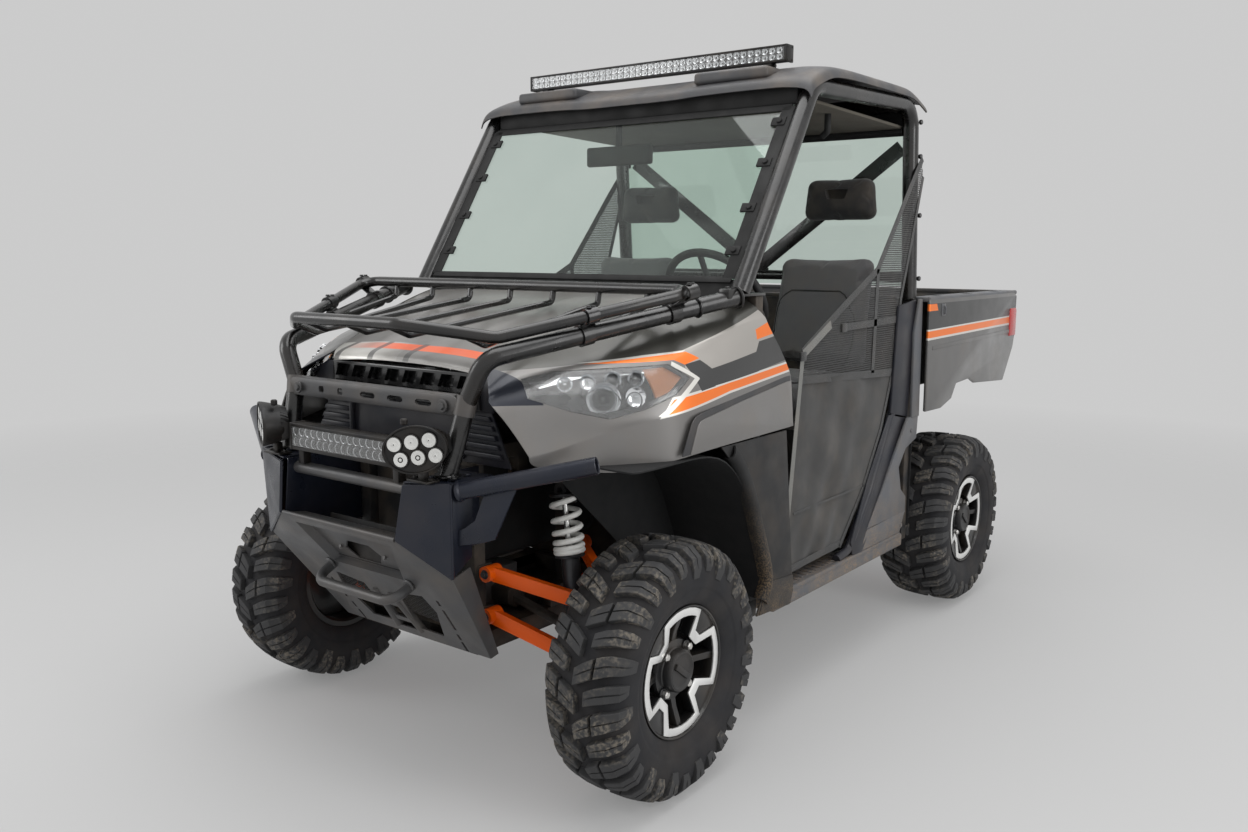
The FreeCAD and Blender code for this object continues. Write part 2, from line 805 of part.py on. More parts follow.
def quarter_panel():
    """A tray-shaped moulding, open to the inside."""
    z0 = rail_bottom + sill_height + seat_gap
    outer = spread(quarter_shares, quarter_front_y, quarter_rear_y, z0, quarter_top_z)
    inner = spread(quarter_core_shares, quarter_front_y, quarter_rear_y, z0, quarter_top_z)
    x0, x1 = cab_half_width - quarter_depth, cab_half_width
    shell = side_slab(outer, x0, x1).cut(side_slab(inner, x0 - overrun, x1 - quarter_wall))
    post = box(cab_post_x - post_half - panel_gap, cab_post_x + post_half + panel_gap,
               rear_cab_post_y - post_half - panel_gap, rear_cab_post_y + post_half,
               z0 - overrun, quarter_top_z + overrun)
    return shell.cut(post)


# Roll cage
cage_front_y = 420.0
cage_foot_thickness = 8.0
screen_rake = 57.373
cage_front_bend_drop = 145.0
cage_front_bend_z = overall_height - cage_front_bend_drop
screen_rise = cage_front_bend_z - cage_foot_z - cage_foot_thickness
cage_front_bend_y = cage_front_y + screen_rise / math.tan(math.radians(screen_rake))
cage_rear_bend_ahead = 55.0
cage_rear_bend_y = rear_cab_post_y - cage_rear_bend_ahead
cage_rear_bend_drop = 120.0
cage_rear_bend_z = overall_height - cage_rear_bend_drop
cab_height = cage_rear_bend_z - rear_foot_z
cage_bend = 90.0
cage_sides = 8
seat_bar_share = 0.271429
seat_bar_z = rear_foot_z + seat_bar_share * cab_height
seat_bar_radius = 19.0
headrest_inset = 309.0
headrest_x = body_half_width - headrest_inset
headrest_post_radius = 8.0
headrest_post_share = 0.557143
headrest_post_top_z = rear_foot_z + headrest_post_share * cab_height
headrest_post_reach = 72.0
headrest_post_bend = 20.0
brace_width = 55.0
brace_thickness = 8.0
brace_top_inset = 125.0
brace_top_x = body_half_width - brace_top_inset
brace_top_share = 0.785714
brace_top_z = rear_foot_z + brace_top_share * cab_height
brace_low_x = 110.0
cage_x = cage_half_width - cage_radius


def cage_path():
    return [(cage_x, cage_front_y, cage_foot_z + cage_foot_thickness),
            (cage_x, cage_front_bend_y, cage_front_bend_z),
            (cage_x, cage_rear_bend_y, cage_rear_bend_z),
            (cage_x, rear_cab_post_y, rear_foot_z + cage_foot_thickness)]


def rear_post_y(z):
    """The rear pillar's centre at a height."""
    low = rear_foot_z + cage_foot_thickness
    share = (z - low) / (cage_rear_bend_z - low)
    return rear_cab_post_y + (cage_rear_bend_y - rear_cab_post_y) * share


rear_post_rise = cage_rear_bend_z - rear_foot_z - cage_foot_thickness
rear_post_stretch = math.hypot(cage_rear_bend_y - rear_cab_post_y, rear_post_rise) / rear_post_rise


def cab_cage():
    side = tube(cage_path(), cage_radius, cage_bend, cage_sides)
    foot_half = cage_radius + 2 * cage_foot_thickness
    front_foot = box(cage_x - post_half, cage_x + cage_radius, cage_front_y - foot_half,
                     front_cab_post_y + post_half, cage_foot_z, cage_foot_z + cage_foot_thickness)
    rear_foot = box(cage_x - foot_half, cage_x + cage_radius, rear_cab_post_y - cage_radius,
                    rear_cab_post_y + cage_radius, rear_foot_z, rear_foot_z + cage_foot_thickness)
    parts = both(side) + both(front_foot) + both(rear_foot)
    bar_y = rear_post_y(seat_bar_z)
    for y, z, r in ((cage_front_bend_y + cage_radius, cage_front_bend_z, cage_radius),
                    (cage_rear_bend_y - cage_radius, cage_rear_bend_z, cage_radius),
                    (bar_y, seat_bar_z, seat_bar_radius)):
        parts.append(bar((-cage_x, y, z), (cage_x, y, z), r))
    for x in (-headrest_x, headrest_x):
        y = bar_y - headrest_post_reach
        post = [(x, bar_y, seat_bar_z), (x, y, seat_bar_z + headrest_post_reach), (x, y, headrest_post_top_z)]
        parts.append(tube(post, headrest_post_radius, headrest_post_bend))
    behind = seat_bar_radius - brace_thickness / 2
    lean = rear_post_y(brace_top_z) + behind
    for end in (-1, 1):
        top = V(end * brace_top_x, lean, brace_top_z)
        low = V(end * brace_low_x, bar_y + behind, seat_bar_z)
        run = (low - top).normalize()
        across = V(run.z, 0, -run.x).normalize() * (brace_width / 2)
        start = top - run * (cage_x - brace_top_x)
        corners = [start - across, start + across, low + across, low - across]
        face = Part.Face(Part.makePolygon(corners + corners[:1]))
        parts.append(face.extrude(V(0, brace_thickness, 0)))
    return fuse(parts)


# Roof
roof_inset = 51.0
roof_half_width = body_half_width - roof_inset
roof_sheet = 5.0
roof_pad_depth = 150.0
roof_pad_half = 14.0
roof_pad_inset = 112.0
roof_front_ahead = 65.0
roof_front_y = cage_front_bend_y - roof_front_ahead
roof_rear_setback = 15.0
roof_rear_y = rear_cab_post_y + roof_rear_setback
roof_crown_drop = 67.0
roof_crown_z = overall_height - roof_crown_drop
roof_low_drop = 158.0
roof_low_z = overall_height - roof_low_drop
roof_ramp_length = 356.0
roof_ramp_shares = [(0, 0), (0.14, 0.5), (0.425, 0.94), (1, 1)]
roof_tail_length = 124.6
roof_tail_share = 0.55
roof_section_shares = [(-1, -0.4), (-0.97, 0), (-0.6, 0.1), (0, 0.02), (0.6, 0.1), (0.97, 0), (1, -0.4)]


def roof_stations():
    """Places along the roof, each with its share of the rise to the crown."""
    ramp = [(roof_front_y + roof_ramp_length * along, rise) for along, rise in roof_ramp_shares]
    return ramp + [(roof_rear_y - roof_tail_length, 1), (roof_rear_y, roof_tail_share)]


def roof_surface(drop):
    rings = []
    for y, rise in roof_stations():
        z = roof_low_z + (roof_crown_z - roof_low_z) * rise
        line = [(x * roof_half_width, z + h * (roof_crown_z - roof_low_z)) for x, h in roof_section_shares]
        rings.append([(x, y, w) for x, w in strip(line, drop)])
    return loft(rings)


def roof():
    """The roof skin, with four pads under it that stand on the cage's corners."""
    solid = roof_surface(roof_pad_depth)
    parts = [roof_surface(roof_sheet)]
    for side in (-1, 1):
        x = side * (cage_x - roof_pad_inset)
        for y, z in ((cage_front_bend_y + cage_radius, cage_front_bend_z),
                     (cage_rear_bend_y - cage_radius, cage_rear_bend_z)):
            pad = box(x - cage_radius, x + cage_radius, y - roof_pad_half, y + roof_pad_half,
                      z + cage_radius + seat_gap, overall_height)
            parts.append(pad.common(solid))
    return fuse(parts)


# Windscreen and rear window
glass_thickness = 6.0
screen_foot_share = 0.05
screen_head_share = 0.90
rear_glass_low_share = 0.071429
rear_glass_low_z = rear_foot_z + rear_glass_low_share * cab_height
rear_glass_high_share = 0.857143
rear_glass_high_z = rear_foot_z + rear_glass_high_share * cab_height


def windscreen():
    """A flat pane between the front pillars."""
    foot = V(*cage_path()[0])
    head = V(*cage_path()[1])
    low = foot + (head - foot) * screen_foot_share
    high = foot + (head - foot) * screen_head_share
    half = cage_x - cage_radius - panel_gap
    corners = [V(-half, low.y, low.z), V(half, low.y, low.z),
               V(half, high.y, high.z), V(-half, high.y, high.z)]
    pane = Part.Face(Part.makePolygon(corners + corners[:1]))
    normal = (head - foot).cross(V(1, 0, 0)).normalize()
    return pane.extrude(normal * glass_thickness)


def rear_window():
    """A flat pane laid on the back of the rear pillars."""
    depth = cage_radius + seat_gap
    outline = []
    outer = depth + glass_thickness
    for z, reach in ((rear_glass_low_z, depth), (rear_glass_high_z, depth),
                     (rear_glass_high_z, outer), (rear_glass_low_z, outer)):
        outline.append((rear_post_y(z) + reach * rear_post_stretch, z))
    return side_slab(outline, -cage_x, cage_x)


# Interior mirror
mirror_x0 = -230.0
mirror_x1 = 25.0
cab_mirror_drop = 198.0
mirror_height = 59.0
mirror_depth = 22.0
mirror_bevel = 9.0
mirror_stem_half = 9.0


def mirror():
    """A wide mirror that hangs from the front cross tube on a short stem."""
    y = cage_front_bend_y + cage_radius
    low = cage_front_bend_z - cab_mirror_drop
    body = box(mirror_x0, mirror_x1, y - mirror_depth / 2, y + mirror_depth / 2, low, low + mirror_height)
    ends = [e for e in body.Edges if e.BoundBox.YMax - e.BoundBox.YMin > mirror_depth / 2]
    body = body.makeChamfer(mirror_bevel, ends)
    middle = (mirror_x0 + mirror_x1) / 2
    stem = box(middle - mirror_stem_half, middle + mirror_stem_half, y - mirror_stem_half,
               y + mirror_stem_half, low + mirror_height / 2, cage_front_bend_z - cage_radius - seat_gap)
    return fuse([body, stem])


# Dashboard and steering column
dash_front_y = 412.0
dash_rear_y = 665.0
dash_side_gap = 30.0
dash_half_width = cab_post_x - post_half - dash_side_gap
dash_top_z = 1298.0
dash_shares = [(0, 0), (0, 0.962), (0.442, 1), (0.904, 0.854), (1, 0.538), (0.75, 0.077), (0.596, 0)]
wheel_inset = 345.0
wheel_x = body_half_width - wheel_inset
wheel_y = 700.0
wheel_z = 1282.0
wheel_tilt = 35.0
wheel_radius = 170.0
wheel_rim_radius = 13.0
wheel_hub_radius = 42.0
wheel_hub_height = 36.0
wheel_spokes = 3
wheel_sides = 14
spoke_radius = 10.0
column_radius = 26.0
column_length = 130.0
tilt = math.radians(wheel_tilt)
wheel_axis = V(0, math.cos(tilt), math.sin(tilt))


def wheel_point(reach):
    """A point on the steering shaft, measured from the wheel's centre towards the driver."""
    return V(wheel_x, wheel_y, wheel_z) + wheel_axis * reach


def dashboard():
    outline = spread(dash_shares, dash_front_y, dash_rear_y, firewall_top_z, dash_top_z)
    body = side_slab(outline, -dash_half_width, dash_half_width)
    hole = bar(wheel_point(-2 * column_length), wheel_point(0), column_radius + seat_gap)
    return body.cut(hole)


def steering_column():
    return bar(wheel_point(-column_length - wheel_hub_height / 2),
               wheel_point(-wheel_hub_height / 2 - bearing_gap), column_radius)


def faceted_ring(centre, side, up, radius, r, sides, around=4):
    """A closed hoop of flat facets."""
    normal = side.cross(up)
    rings = []
    for k in range(sides):
        angle = 2 * math.pi * k / sides
        out = side * math.cos(angle) + up * math.sin(angle)
        ring = []
        for j in range(around):
            turn = 2 * math.pi * j / around
            ring.append(centre + out * (radius + r * math.cos(turn)) + normal * (r * math.sin(turn)))
        rings.append(ring)
    faces = []
    for k in range(sides):
        here, there = rings[k], rings[(k + 1) % sides]
        for j in range(around):
            n = (j + 1) % around
            corners = [here[j], here[n], there[n], there[j]]
            faces.append(Part.Face(Part.makePolygon(corners + corners[:1])))
    return closed(faces)


def steering_wheel():
    centre = wheel_point(0)
    up = V(0, -math.sin(tilt), math.cos(tilt))
    ring = faceted_ring(centre, V(1, 0, 0), up, wheel_radius, wheel_rim_radius, wheel_sides)
    hub = bar(wheel_point(-wheel_hub_height / 2), wheel_point(wheel_hub_height / 2), wheel_hub_radius)
    parts = [ring, hub]
    for k in range(wheel_spokes):
        angle = math.pi / 2 + 2 * math.pi * k / wheel_spokes
        out = V(math.cos(angle), 0, 0) + up * -math.sin(angle)
        parts.append(bar(centre, centre + out * wheel_radius, spoke_radius))
    return fuse(parts)


# Front fenders, hood and lamps
panel_sheet = 4.0
nose_y = -330.0
fender_rear_y = 570.0
fender_low_z = 905.0
fender_top_z = 1305.0
fender_stations_share = [
    (0.000, [(0.537, 0.393), (0.577, 0.375), (0.611, 0.338), (0.644, 0.113)]),
    (0.100, [(0.424, 0.573), (0.591, 0.487), (0.725, 0.312), (0.805, 0.025)]),
    (0.256, [(0.523, 0.662), (0.779, 0.537), (0.872, 0.338), (0.926, 0.000)]),
    (0.433, [(0.631, 0.770), (0.913, 0.575), (0.991, 0.388), (0.998, 0.000)]),
    (0.644, [(0.752, 0.892), (0.960, 0.700), (1.000, 0.425), (1.000, 0.000)]),
    (0.844, [(0.850, 0.985), (0.973, 0.825), (1.000, 0.450), (1.000, 0.000)]),
    (1.000, [(0.850, 0.985), (0.973, 0.825), (1.000, 0.450), (1.000, 0.000)])]
fender_back_shares = [(0.835, 1.2), (0.831, 0.82), (0.93, 0.46), (0.99, 0), (0.99, -0.2), (1.2, -0.2),
                      (1.2, 1.2)]
lamp_front_y = -180.0
lamp_rear_y = 90.0
lamp_low_z = 1005.0
lamp_top_z = 1118.0
lamp_shares = [(0, 0.7), (0.222, 0.2), (0.519, 0), (0.815, 0.291), (1, 1), (0.593, 0.945)]
lamp_depth = 45.0
lamp_inner_inset = 365.0
lamp_inner_x = body_half_width - lamp_inner_inset


def fender_band(depth):
    rings = []
    for along, line_share in fender_stations_share:
        y = nose_y + (fender_rear_y - nose_y) * along
        line = spread(line_share, 0, body_half_width, fender_low_z, fender_top_z)
        rings.append([(x, y, z) for x, z in strip(line, depth, (0,))])
    return loft(rings)


def lamp_prism(gap):
    outline = spread(lamp_shares, lamp_front_y, lamp_rear_y, lamp_low_z, lamp_top_z)
    middle_y = sum(y for y, z in outline) / len(outline)
    middle_z = sum(z for y, z in outline) / len(outline)
    shrink = 1 - gap / (lamp_top_z - lamp_low_z) * 2
    outline = [(middle_y + (y - middle_y) * shrink, middle_z + (z - middle_z) * shrink) for y, z in outline]
    return side_slab(outline, lamp_inner_x, body_half_width + overrun)


def fender():
    """The front corner panel, with the headlamp's opening and a slanted rear edge."""
    shell = fender_band(panel_sheet)
    back = side_slab(spread(fender_back_shares, nose_y, fender_rear_y, fender_low_z, fender_top_z),
                     0, body_half_width + overrun)
    post = box(cab_post_x - post_half - panel_gap, cab_post_x + post_half + panel_gap,
               front_cab_post_y - post_half - panel_gap, front_cab_post_y + post_half,
               fender_low_z, fender_top_z + overrun)
    return cut(shell, [back, lamp_prism(0), post])


def headlamp():
    return fender_band(lamp_depth).common(lamp_prism(2 * panel_gap))


# Hood
hood_front_y = -250.0
hood_rear_y = 400.0
hood_mid_front_z = 1150.0
hood_mid_rear_z = 1306.0
hood_shoulder_share = 0.55


def seam(y):
    """The line where the fender's top edge meets the hood: its x and z at a given y."""
    share = (y - nose_y) / (fender_rear_y - nose_y)
    last = fender_stations_share[0]
    for station in fender_stations_share[1:]:
        if share <= station[0]:
            t = (share - last[0]) / (station[0] - last[0])
            x = last[1][0][0] + (station[1][0][0] - last[1][0][0]) * t
            z = last[1][0][1] + (station[1][0][1] - last[1][0][1]) * t
            return x * body_half_width, fender_low_z + z * (fender_top_z - fender_low_z)
        last = station
    return body_half_width, fender_top_z


def hood():
    rings = []
    stations = [nose_y + (fender_rear_y - nose_y) * s for s, line in fender_stations_share]
    places = [hood_front_y] + [y for y in stations if hood_front_y < y < hood_rear_y] + [hood_rear_y]
    for y in places:
        edge_x, edge_z = seam(y)
        edge_x -= panel_gap
        along = (y - hood_front_y) / (hood_rear_y - hood_front_y)
        mid_z = hood_mid_front_z + (hood_mid_rear_z - hood_mid_front_z) * along
        shoulder_x = edge_x * hood_shoulder_share
        shoulder_z = edge_z + (mid_z - edge_z) * hood_shoulder_share + panel_sheet
        half = [(shoulder_x, shoulder_z), (edge_x, edge_z)]
        line = [(-x, z) for x, z in reversed(half)] + [(0, mid_z)] + half
        rings.append([(x, y, z) for x, z in strip(line, panel_sheet, (0, len(line) - 1))])
    return loft(rings)


# Grille and front fascia
fascia_share = 0.536913
fascia_half_width = body_half_width * fascia_share
fascia_low_z = 872.0
grille_share = 0.389262
grille_half_width = body_half_width * grille_share
grille_low_z = 1022.0
grille_top_z = 1108.0
grille_rows = 2
grille_columns = 8
grille_bar = 7.0
louvre_rows = 3
louvre_height = 20.0
fascia_top_share = 0.416107
fascia_top_half_width = body_half_width * fascia_top_share
cell_lean_share = 0.22


def grille():
    """The nose panel with two rows of open, slanted cells."""
    low, high = grille_low_z - grille_bar, grille_top_z + grille_bar
    outline = [(-fascia_half_width, fascia_low_z), (fascia_half_width, fascia_low_z),
               (fascia_half_width, low), (fascia_top_half_width, high),
               (-fascia_top_half_width, high), (-fascia_half_width, low)]
    panel = front_slab(outline, fascia_y, fascia_y + fascia_depth)
    tools = []
    cell_w = 2 * grille_half_width / grille_columns
    cell_h = (grille_top_z - grille_low_z) / grille_rows
    for row in range(grille_rows):
        for column in range(grille_columns):
            x = -grille_half_width + column * cell_w + grille_bar / 2
            z = grille_low_z + row * cell_h + grille_bar / 2
            lean = cell_w * cell_lean_share
            end_x, end_z = x + cell_w - grille_bar, z + cell_h - grille_bar
            hole = [(x, z), (end_x - lean, z), (end_x, end_z), (x + lean, end_z)]
            tools.append(front_slab(hole, fascia_y - overrun, fascia_y + fascia_depth + overrun))
    step = (grille_low_z - fascia_low_z) / (louvre_rows + 1)
    for row in range(louvre_rows):
        z = fascia_low_z + step * (row + 0.5)
        tools.append(box(-rail_offset, rail_offset, fascia_y - overrun, fascia_y + fascia_depth + overrun,
                         z, z + louvre_height))
    return panel.cut(Part.makeCompound(tools))


# Radiator
radiator_half_width = 185.0
radiator_front_y = -205.0
radiator_rear_y = -160.0
radiator_top_z = 850.0


def radiator():
    return box(-radiator_half_width, radiator_half_width, radiator_front_y, radiator_rear_y,
               rail_top, radiator_top_z)


# Dark panel behind each front wheel, with the wheel arch and its inner skin
arch_front_y = 205.0
arch_rear_y = 628.0
arch_low_z = 355.0
arch_inner_x = 430.0
liner_foot_z = 700.0
arch_panel_shares = [(0, 1), (0.844, 1), (1, 0.078), (0.96, 0), (0.489, 0.058), (0.553, 0.111),
                     (0.631, 0.207), (0.463, 0.511), (0.291, 0.8)]
arch_line_shares = [(-0.9, 0.98), (-0.45, 0.98), (0, 0.98), (0.291, 0.8), (0.463, 0.511), (0.631, 0.207),
                    (0.553, 0.111)]
splash_inner_x = 245.0
splash_top_z = 850.0
splash_thickness = 4.0


def arch_liner():
    top = fender_low_z - seat_gap
    outline = spread(arch_panel_shares, arch_front_y, arch_rear_y, arch_low_z, top)
    x1 = body_half_width
    panel = side_slab(outline, x1 - arch_panel_wall, x1)
    line = spread(arch_line_shares, arch_front_y, arch_rear_y, arch_low_z, top)
    band = strip(line, -arch_panel_wall)
    liner = side_slab(band, arch_inner_x, x1)
    foot = box(cab_post_x + post_half + seat_gap, x1, front_cab_post_y - post_half,
               front_cab_post_y + post_half, liner_foot_z, liner_foot_z + 2 * post_half)
    whole = fuse([panel, liner, foot])
    sill = box(sill_inner_x - overrun, cab_half_width + panel_gap, sill_front_y - panel_gap, sill_rear_y,
               arch_low_z - overrun, rail_bottom + sill_height + panel_gap)
    post = box(cab_post_x - post_half - seat_gap, cab_post_x + post_half + seat_gap,
               front_cab_post_y - post_half - panel_gap, front_cab_post_y + post_half + panel_gap,
               arch_low_z - overrun, top + overrun)
    return cut(whole, [sill, post])


def splash_panel():
    y = rear_cab_post_y + post_half + seat_gap
    return box(splash_inner_x, cage_half_width, y, y + splash_thickness, rail_top, splash_top_z)


# Front bumper: folded plate with a window, side wings, a tow hoop and two side tubes
bumper_plate = 5.0
window_half_low = 238.0
window_half_top = 251.0
bumper_lip_y = -499.0
bumper_lip_z = 712.0
bumper_fold_x = 376.0
bumper_fold_z = 623.0
bumper_low_x = 303.0
bumper_low_y = -236.0
bumper_low_z = 336.0
wing_top_x = 384.0
wing_top_y = -446.0
wing_top_z = 866.0
wing_inner_top_y = -479.0
wing_inner_top_z = 850.0
side_depth = 150.0
crossbar_z = 830.0
crossbar_y = -469.0
crossbar_radius = 17.0
guard_tube_radius = 24.0
side_tube_radius = 22.0
side_tube_wall = 3.0
side_tube_bore = 60.0
side_tube_end_inset = 55.0
side_tube_end_x = body_half_width - side_tube_end_inset
side_tube_end_y = -262.0
side_tube_end_z = 922.0
hoop_half_width = 150.0
hoop_top_z = 560.0
hoop_front_z = 490.0
hoop_front_y = -445.0
hoop_radius = 13.0
hoop_bend = 45.0
fairlead_half_width = 78.0
fairlead_half_height = 30.0
fairlead_z = 628.0
fairlead_flat_share = 0.8
bracket_inner_x = rail_offset + post_half + seat_gap
bracket_thickness = 6.0
bracket_low_z = 640.0
gusset_low_z = 700.0
gusset_reach_share = 0.45
vent_half_width = 95.0
vent_inner_x = 60.0
vent_low_z = 400.0
vent_top_z = 440.0


def bumper_face_y(z):
    """The front plate's outer face at a height."""
    share = (bumper_lip_z - z) / (bumper_lip_z - bumper_low_z)
    return bumper_lip_y + (bumper_low_y - bumper_lip_y) * share


def thick(points, offset):
    corners = [V(*p) for p in points]
    face = Part.Face(Part.makePolygon(corners + corners[:1]))
    return face.extrude(V(*offset))


def front_bumper():
    inward = (0, bumper_plate, 0)
    face = [(x, bumper_face_y(z), z) for x, z in (
        (-window_half_low, bumper_lip_z), (window_half_low, bumper_lip_z), (bumper_fold_x, bumper_fold_z),
        (bumper_low_x, bumper_low_z), (-bumper_low_x, bumper_low_z), (-bumper_fold_x, bumper_fold_z))]
    parts = [thick(face, inward)]
    fold_y = bumper_face_y(bumper_fold_z)
    for side in (-1, 1):
        wing = [(side * window_half_low, bumper_lip_y, bumper_lip_z),
                (side * window_half_top, wing_inner_top_y, wing_inner_top_z)]
        wing_a = wing + [(side * wing_top_x, wing_top_y, wing_top_z)]
        wing_b = [(side * window_half_low, bumper_lip_y, bumper_lip_z),
                  (side * wing_top_x, wing_top_y, wing_top_z), (side * bumper_fold_x, fold_y, bumper_fold_z)]
        parts.append(thick(wing_a, inward))
        parts.append(thick(wing_b, inward))
        flank = [(side * (wing_top_x - bumper_plate), wing_top_y, wing_top_z),
                 (side * (bumper_fold_x - bumper_plate), fold_y, bumper_fold_z),
                 (side * (bumper_fold_x - bumper_plate), fold_y + side_depth, bumper_fold_z + side_depth / 2),
                 (side * (wing_top_x - bumper_plate), wing_top_y + side_depth, wing_top_z)]
        flank_faces = [flank[0:3], [flank[0], flank[2], flank[3]]]
        for triangle in flank_faces:
            parts.append(thick(triangle, (side * bumper_plate, 0, 0)))
        x0, x1 = sorted((side * window_half_top, side * wing_top_x))
        parts.append(box(x0, x1, wing_inner_top_y + bumper_plate, wing_top_y + side_depth,
                         wing_top_z - bumper_plate, wing_top_z))
        x0, x1 = sorted((side * bracket_inner_x, side * (bracket_inner_x + bracket_thickness)))
        bracket = [(bumper_lip_y + 2 * bumper_plate, bumper_lip_z),
                   (wing_inner_top_y + bumper_plate, wing_top_z),
                   (front_post_y, wing_top_z), (front_post_y, bracket_low_z),
                   (bumper_face_y(bracket_low_z) + bumper_plate / 2, bracket_low_z)]
        parts.append(side_slab(bracket, x0, x1))
        root = V(side * wing_top_x, wing_top_y + guard_tube_radius, wing_top_z - guard_tube_radius)
        tip = V(side * side_tube_end_x, side_tube_end_y, side_tube_end_z)
        parts.append(bar(root, tip, side_tube_radius))
        rib_end = root + (tip - root) * gusset_reach_share
        gusset = [(root.x, root.y, root.z), (rib_end.x, rib_end.y, rib_end.z),
                  (side * wing_top_x, root.y, gusset_low_z)]
        parts.append(thick(gusset, inward))
    parts.append(bar((-window_half_top, crossbar_y + crossbar_radius, crossbar_z),
                     (window_half_top, crossbar_y + crossbar_radius, crossbar_z), crossbar_radius))
    hoop_y = bumper_face_y(hoop_top_z) + bumper_plate / 2
    hoop = [(hoop_half_width, hoop_y, hoop_top_z), (hoop_half_width, hoop_front_y, hoop_front_z),
            (-hoop_half_width, hoop_front_y, hoop_front_z), (-hoop_half_width, hoop_y, hoop_top_z)]
    parts.append(tube(hoop, hoop_radius, hoop_bend))
    body = fuse(parts)
    w, h = fairlead_half_width, fairlead_half_height
    flat = w * fairlead_flat_share
    hexagon = [(-w, fairlead_z), (-flat, fairlead_z + h), (flat, fairlead_z + h), (w, fairlead_z),
               (flat, fairlead_z - h), (-flat, fairlead_z - h)]
    tools = [front_slab(hexagon, bumper_lip_y - overrun, front_post_y - post_half)]
    for side in (-1, 1):
        x0, x1 = sorted((side * vent_inner_x, side * (vent_inner_x + vent_half_width)))
        tools.append(box(x0, x1, bumper_lip_y, bumper_low_y, vent_low_z, vent_top_z))
        root = V(side * wing_top_x, wing_top_y + guard_tube_radius, wing_top_z - guard_tube_radius)
        tip = V(side * side_tube_end_x, side_tube_end_y, side_tube_end_z)
        inward_tip = tip + (root - tip).normalize() * side_tube_bore
        outward_tip = tip + (tip - root).normalize() * overrun
        tools.append(bar(inward_tip, outward_tip, side_tube_radius - side_tube_wall))
    return cut(body, tools)


# Brush guard: two tubes from the bumper to the front pillars, and a slotted plate between
guard_foot_x = 325.0
guard_foot_y = -400.0
guard_mid_share = 0.467114
guard_mid_x = body_half_width * guard_mid_share
guard_mid_y = -352.0
guard_mid_z = 1050.0
guard_bend_share = 0.543624
guard_bend_x = body_half_width * guard_bend_share
guard_bend_y = -345.0
guard_bend_z = 1163.0
guard_end_inset = 51.0
guard_end_x = body_half_width - guard_end_inset
guard_end_y = 362.0
guard_end_z = 1302.0
guard_bend_radius = 60.0
guard_sides = 8
slot_plate_thickness = 5.0
slot_plate_height = 52.0
slot_plate_z = 1018.0
slot_plate_flange = 40.0
slot_count = 6
slot_length = 52.0
slot_height = 14.0
slot_pitch = 92.0


def guard_path():
    return [(guard_foot_x, guard_foot_y, wing_top_z - guard_tube_radius),
            (guard_mid_x, guard_mid_y, guard_mid_z), (guard_bend_x, guard_bend_y, guard_bend_z),
            (guard_end_x, guard_end_y, guard_end_z)]


def brush_guard():
    parts = both(tube(guard_path(), guard_tube_radius, guard_bend_radius, guard_sides))
    y = guard_mid_y - guard_tube_radius
    half = guard_mid_x
    plate = box(-half, half, y - slot_plate_thickness / 2, y + slot_plate_thickness / 2,
                slot_plate_z, slot_plate_z + slot_plate_height)
    flange = box(-half + guard_tube_radius, half - guard_tube_radius, y, y + slot_plate_flange,
                 slot_plate_z, slot_plate_z + slot_plate_thickness)
    parts += [plate, flange]
    tools = []
    for k in range(slot_count):
        x = (k - (slot_count - 1) / 2) * slot_pitch
        z = slot_plate_z + slot_plate_height / 2
        tools.append(box(x - slot_length / 2, x + slot_length / 2, y - slot_plate_thickness,
                         y + slot_plate_thickness, z - slot_height / 2, z + slot_height / 2))
    below = box(-body_half_width, body_half_width, 2 * guard_foot_y, 0,
                wing_top_z - 2 * guard_tube_radius, wing_top_z + seat_gap)
    tools.append(below)
    return cut(fuse(parts), tools)


# Rack over the hood
rack_tube_radius = 16.0
rack_rod_radius = 9.0
rack_rear_inset = 65.0
rack_rear_x = body_half_width - rack_rear_inset
rack_rear_y = 176.0
rack_rear_z = 1323.0
rack_corner_inset = 205.0
rack_corner_x = body_half_width - rack_corner_inset
rack_corner_y = -365.0
rack_corner_z = 1215.0
rack_kink_x = 206.0
rack_kink_y = -445.0
rack_kink_z = 1246.0
rack_bend = 45.0
rack_rod_pitch = 172.0
rack_rod_count = 7
rack_rod_drop = 46.0
rack_rod_lean = 6.5
rack_rod_bend = 15.6
rack_rod_sides = 6
rack_rod_front_drop = 34.0
rack_clamp_thickness = 6.0
rack_clamp_half = 24.0
rack_clamp_share = 0.55


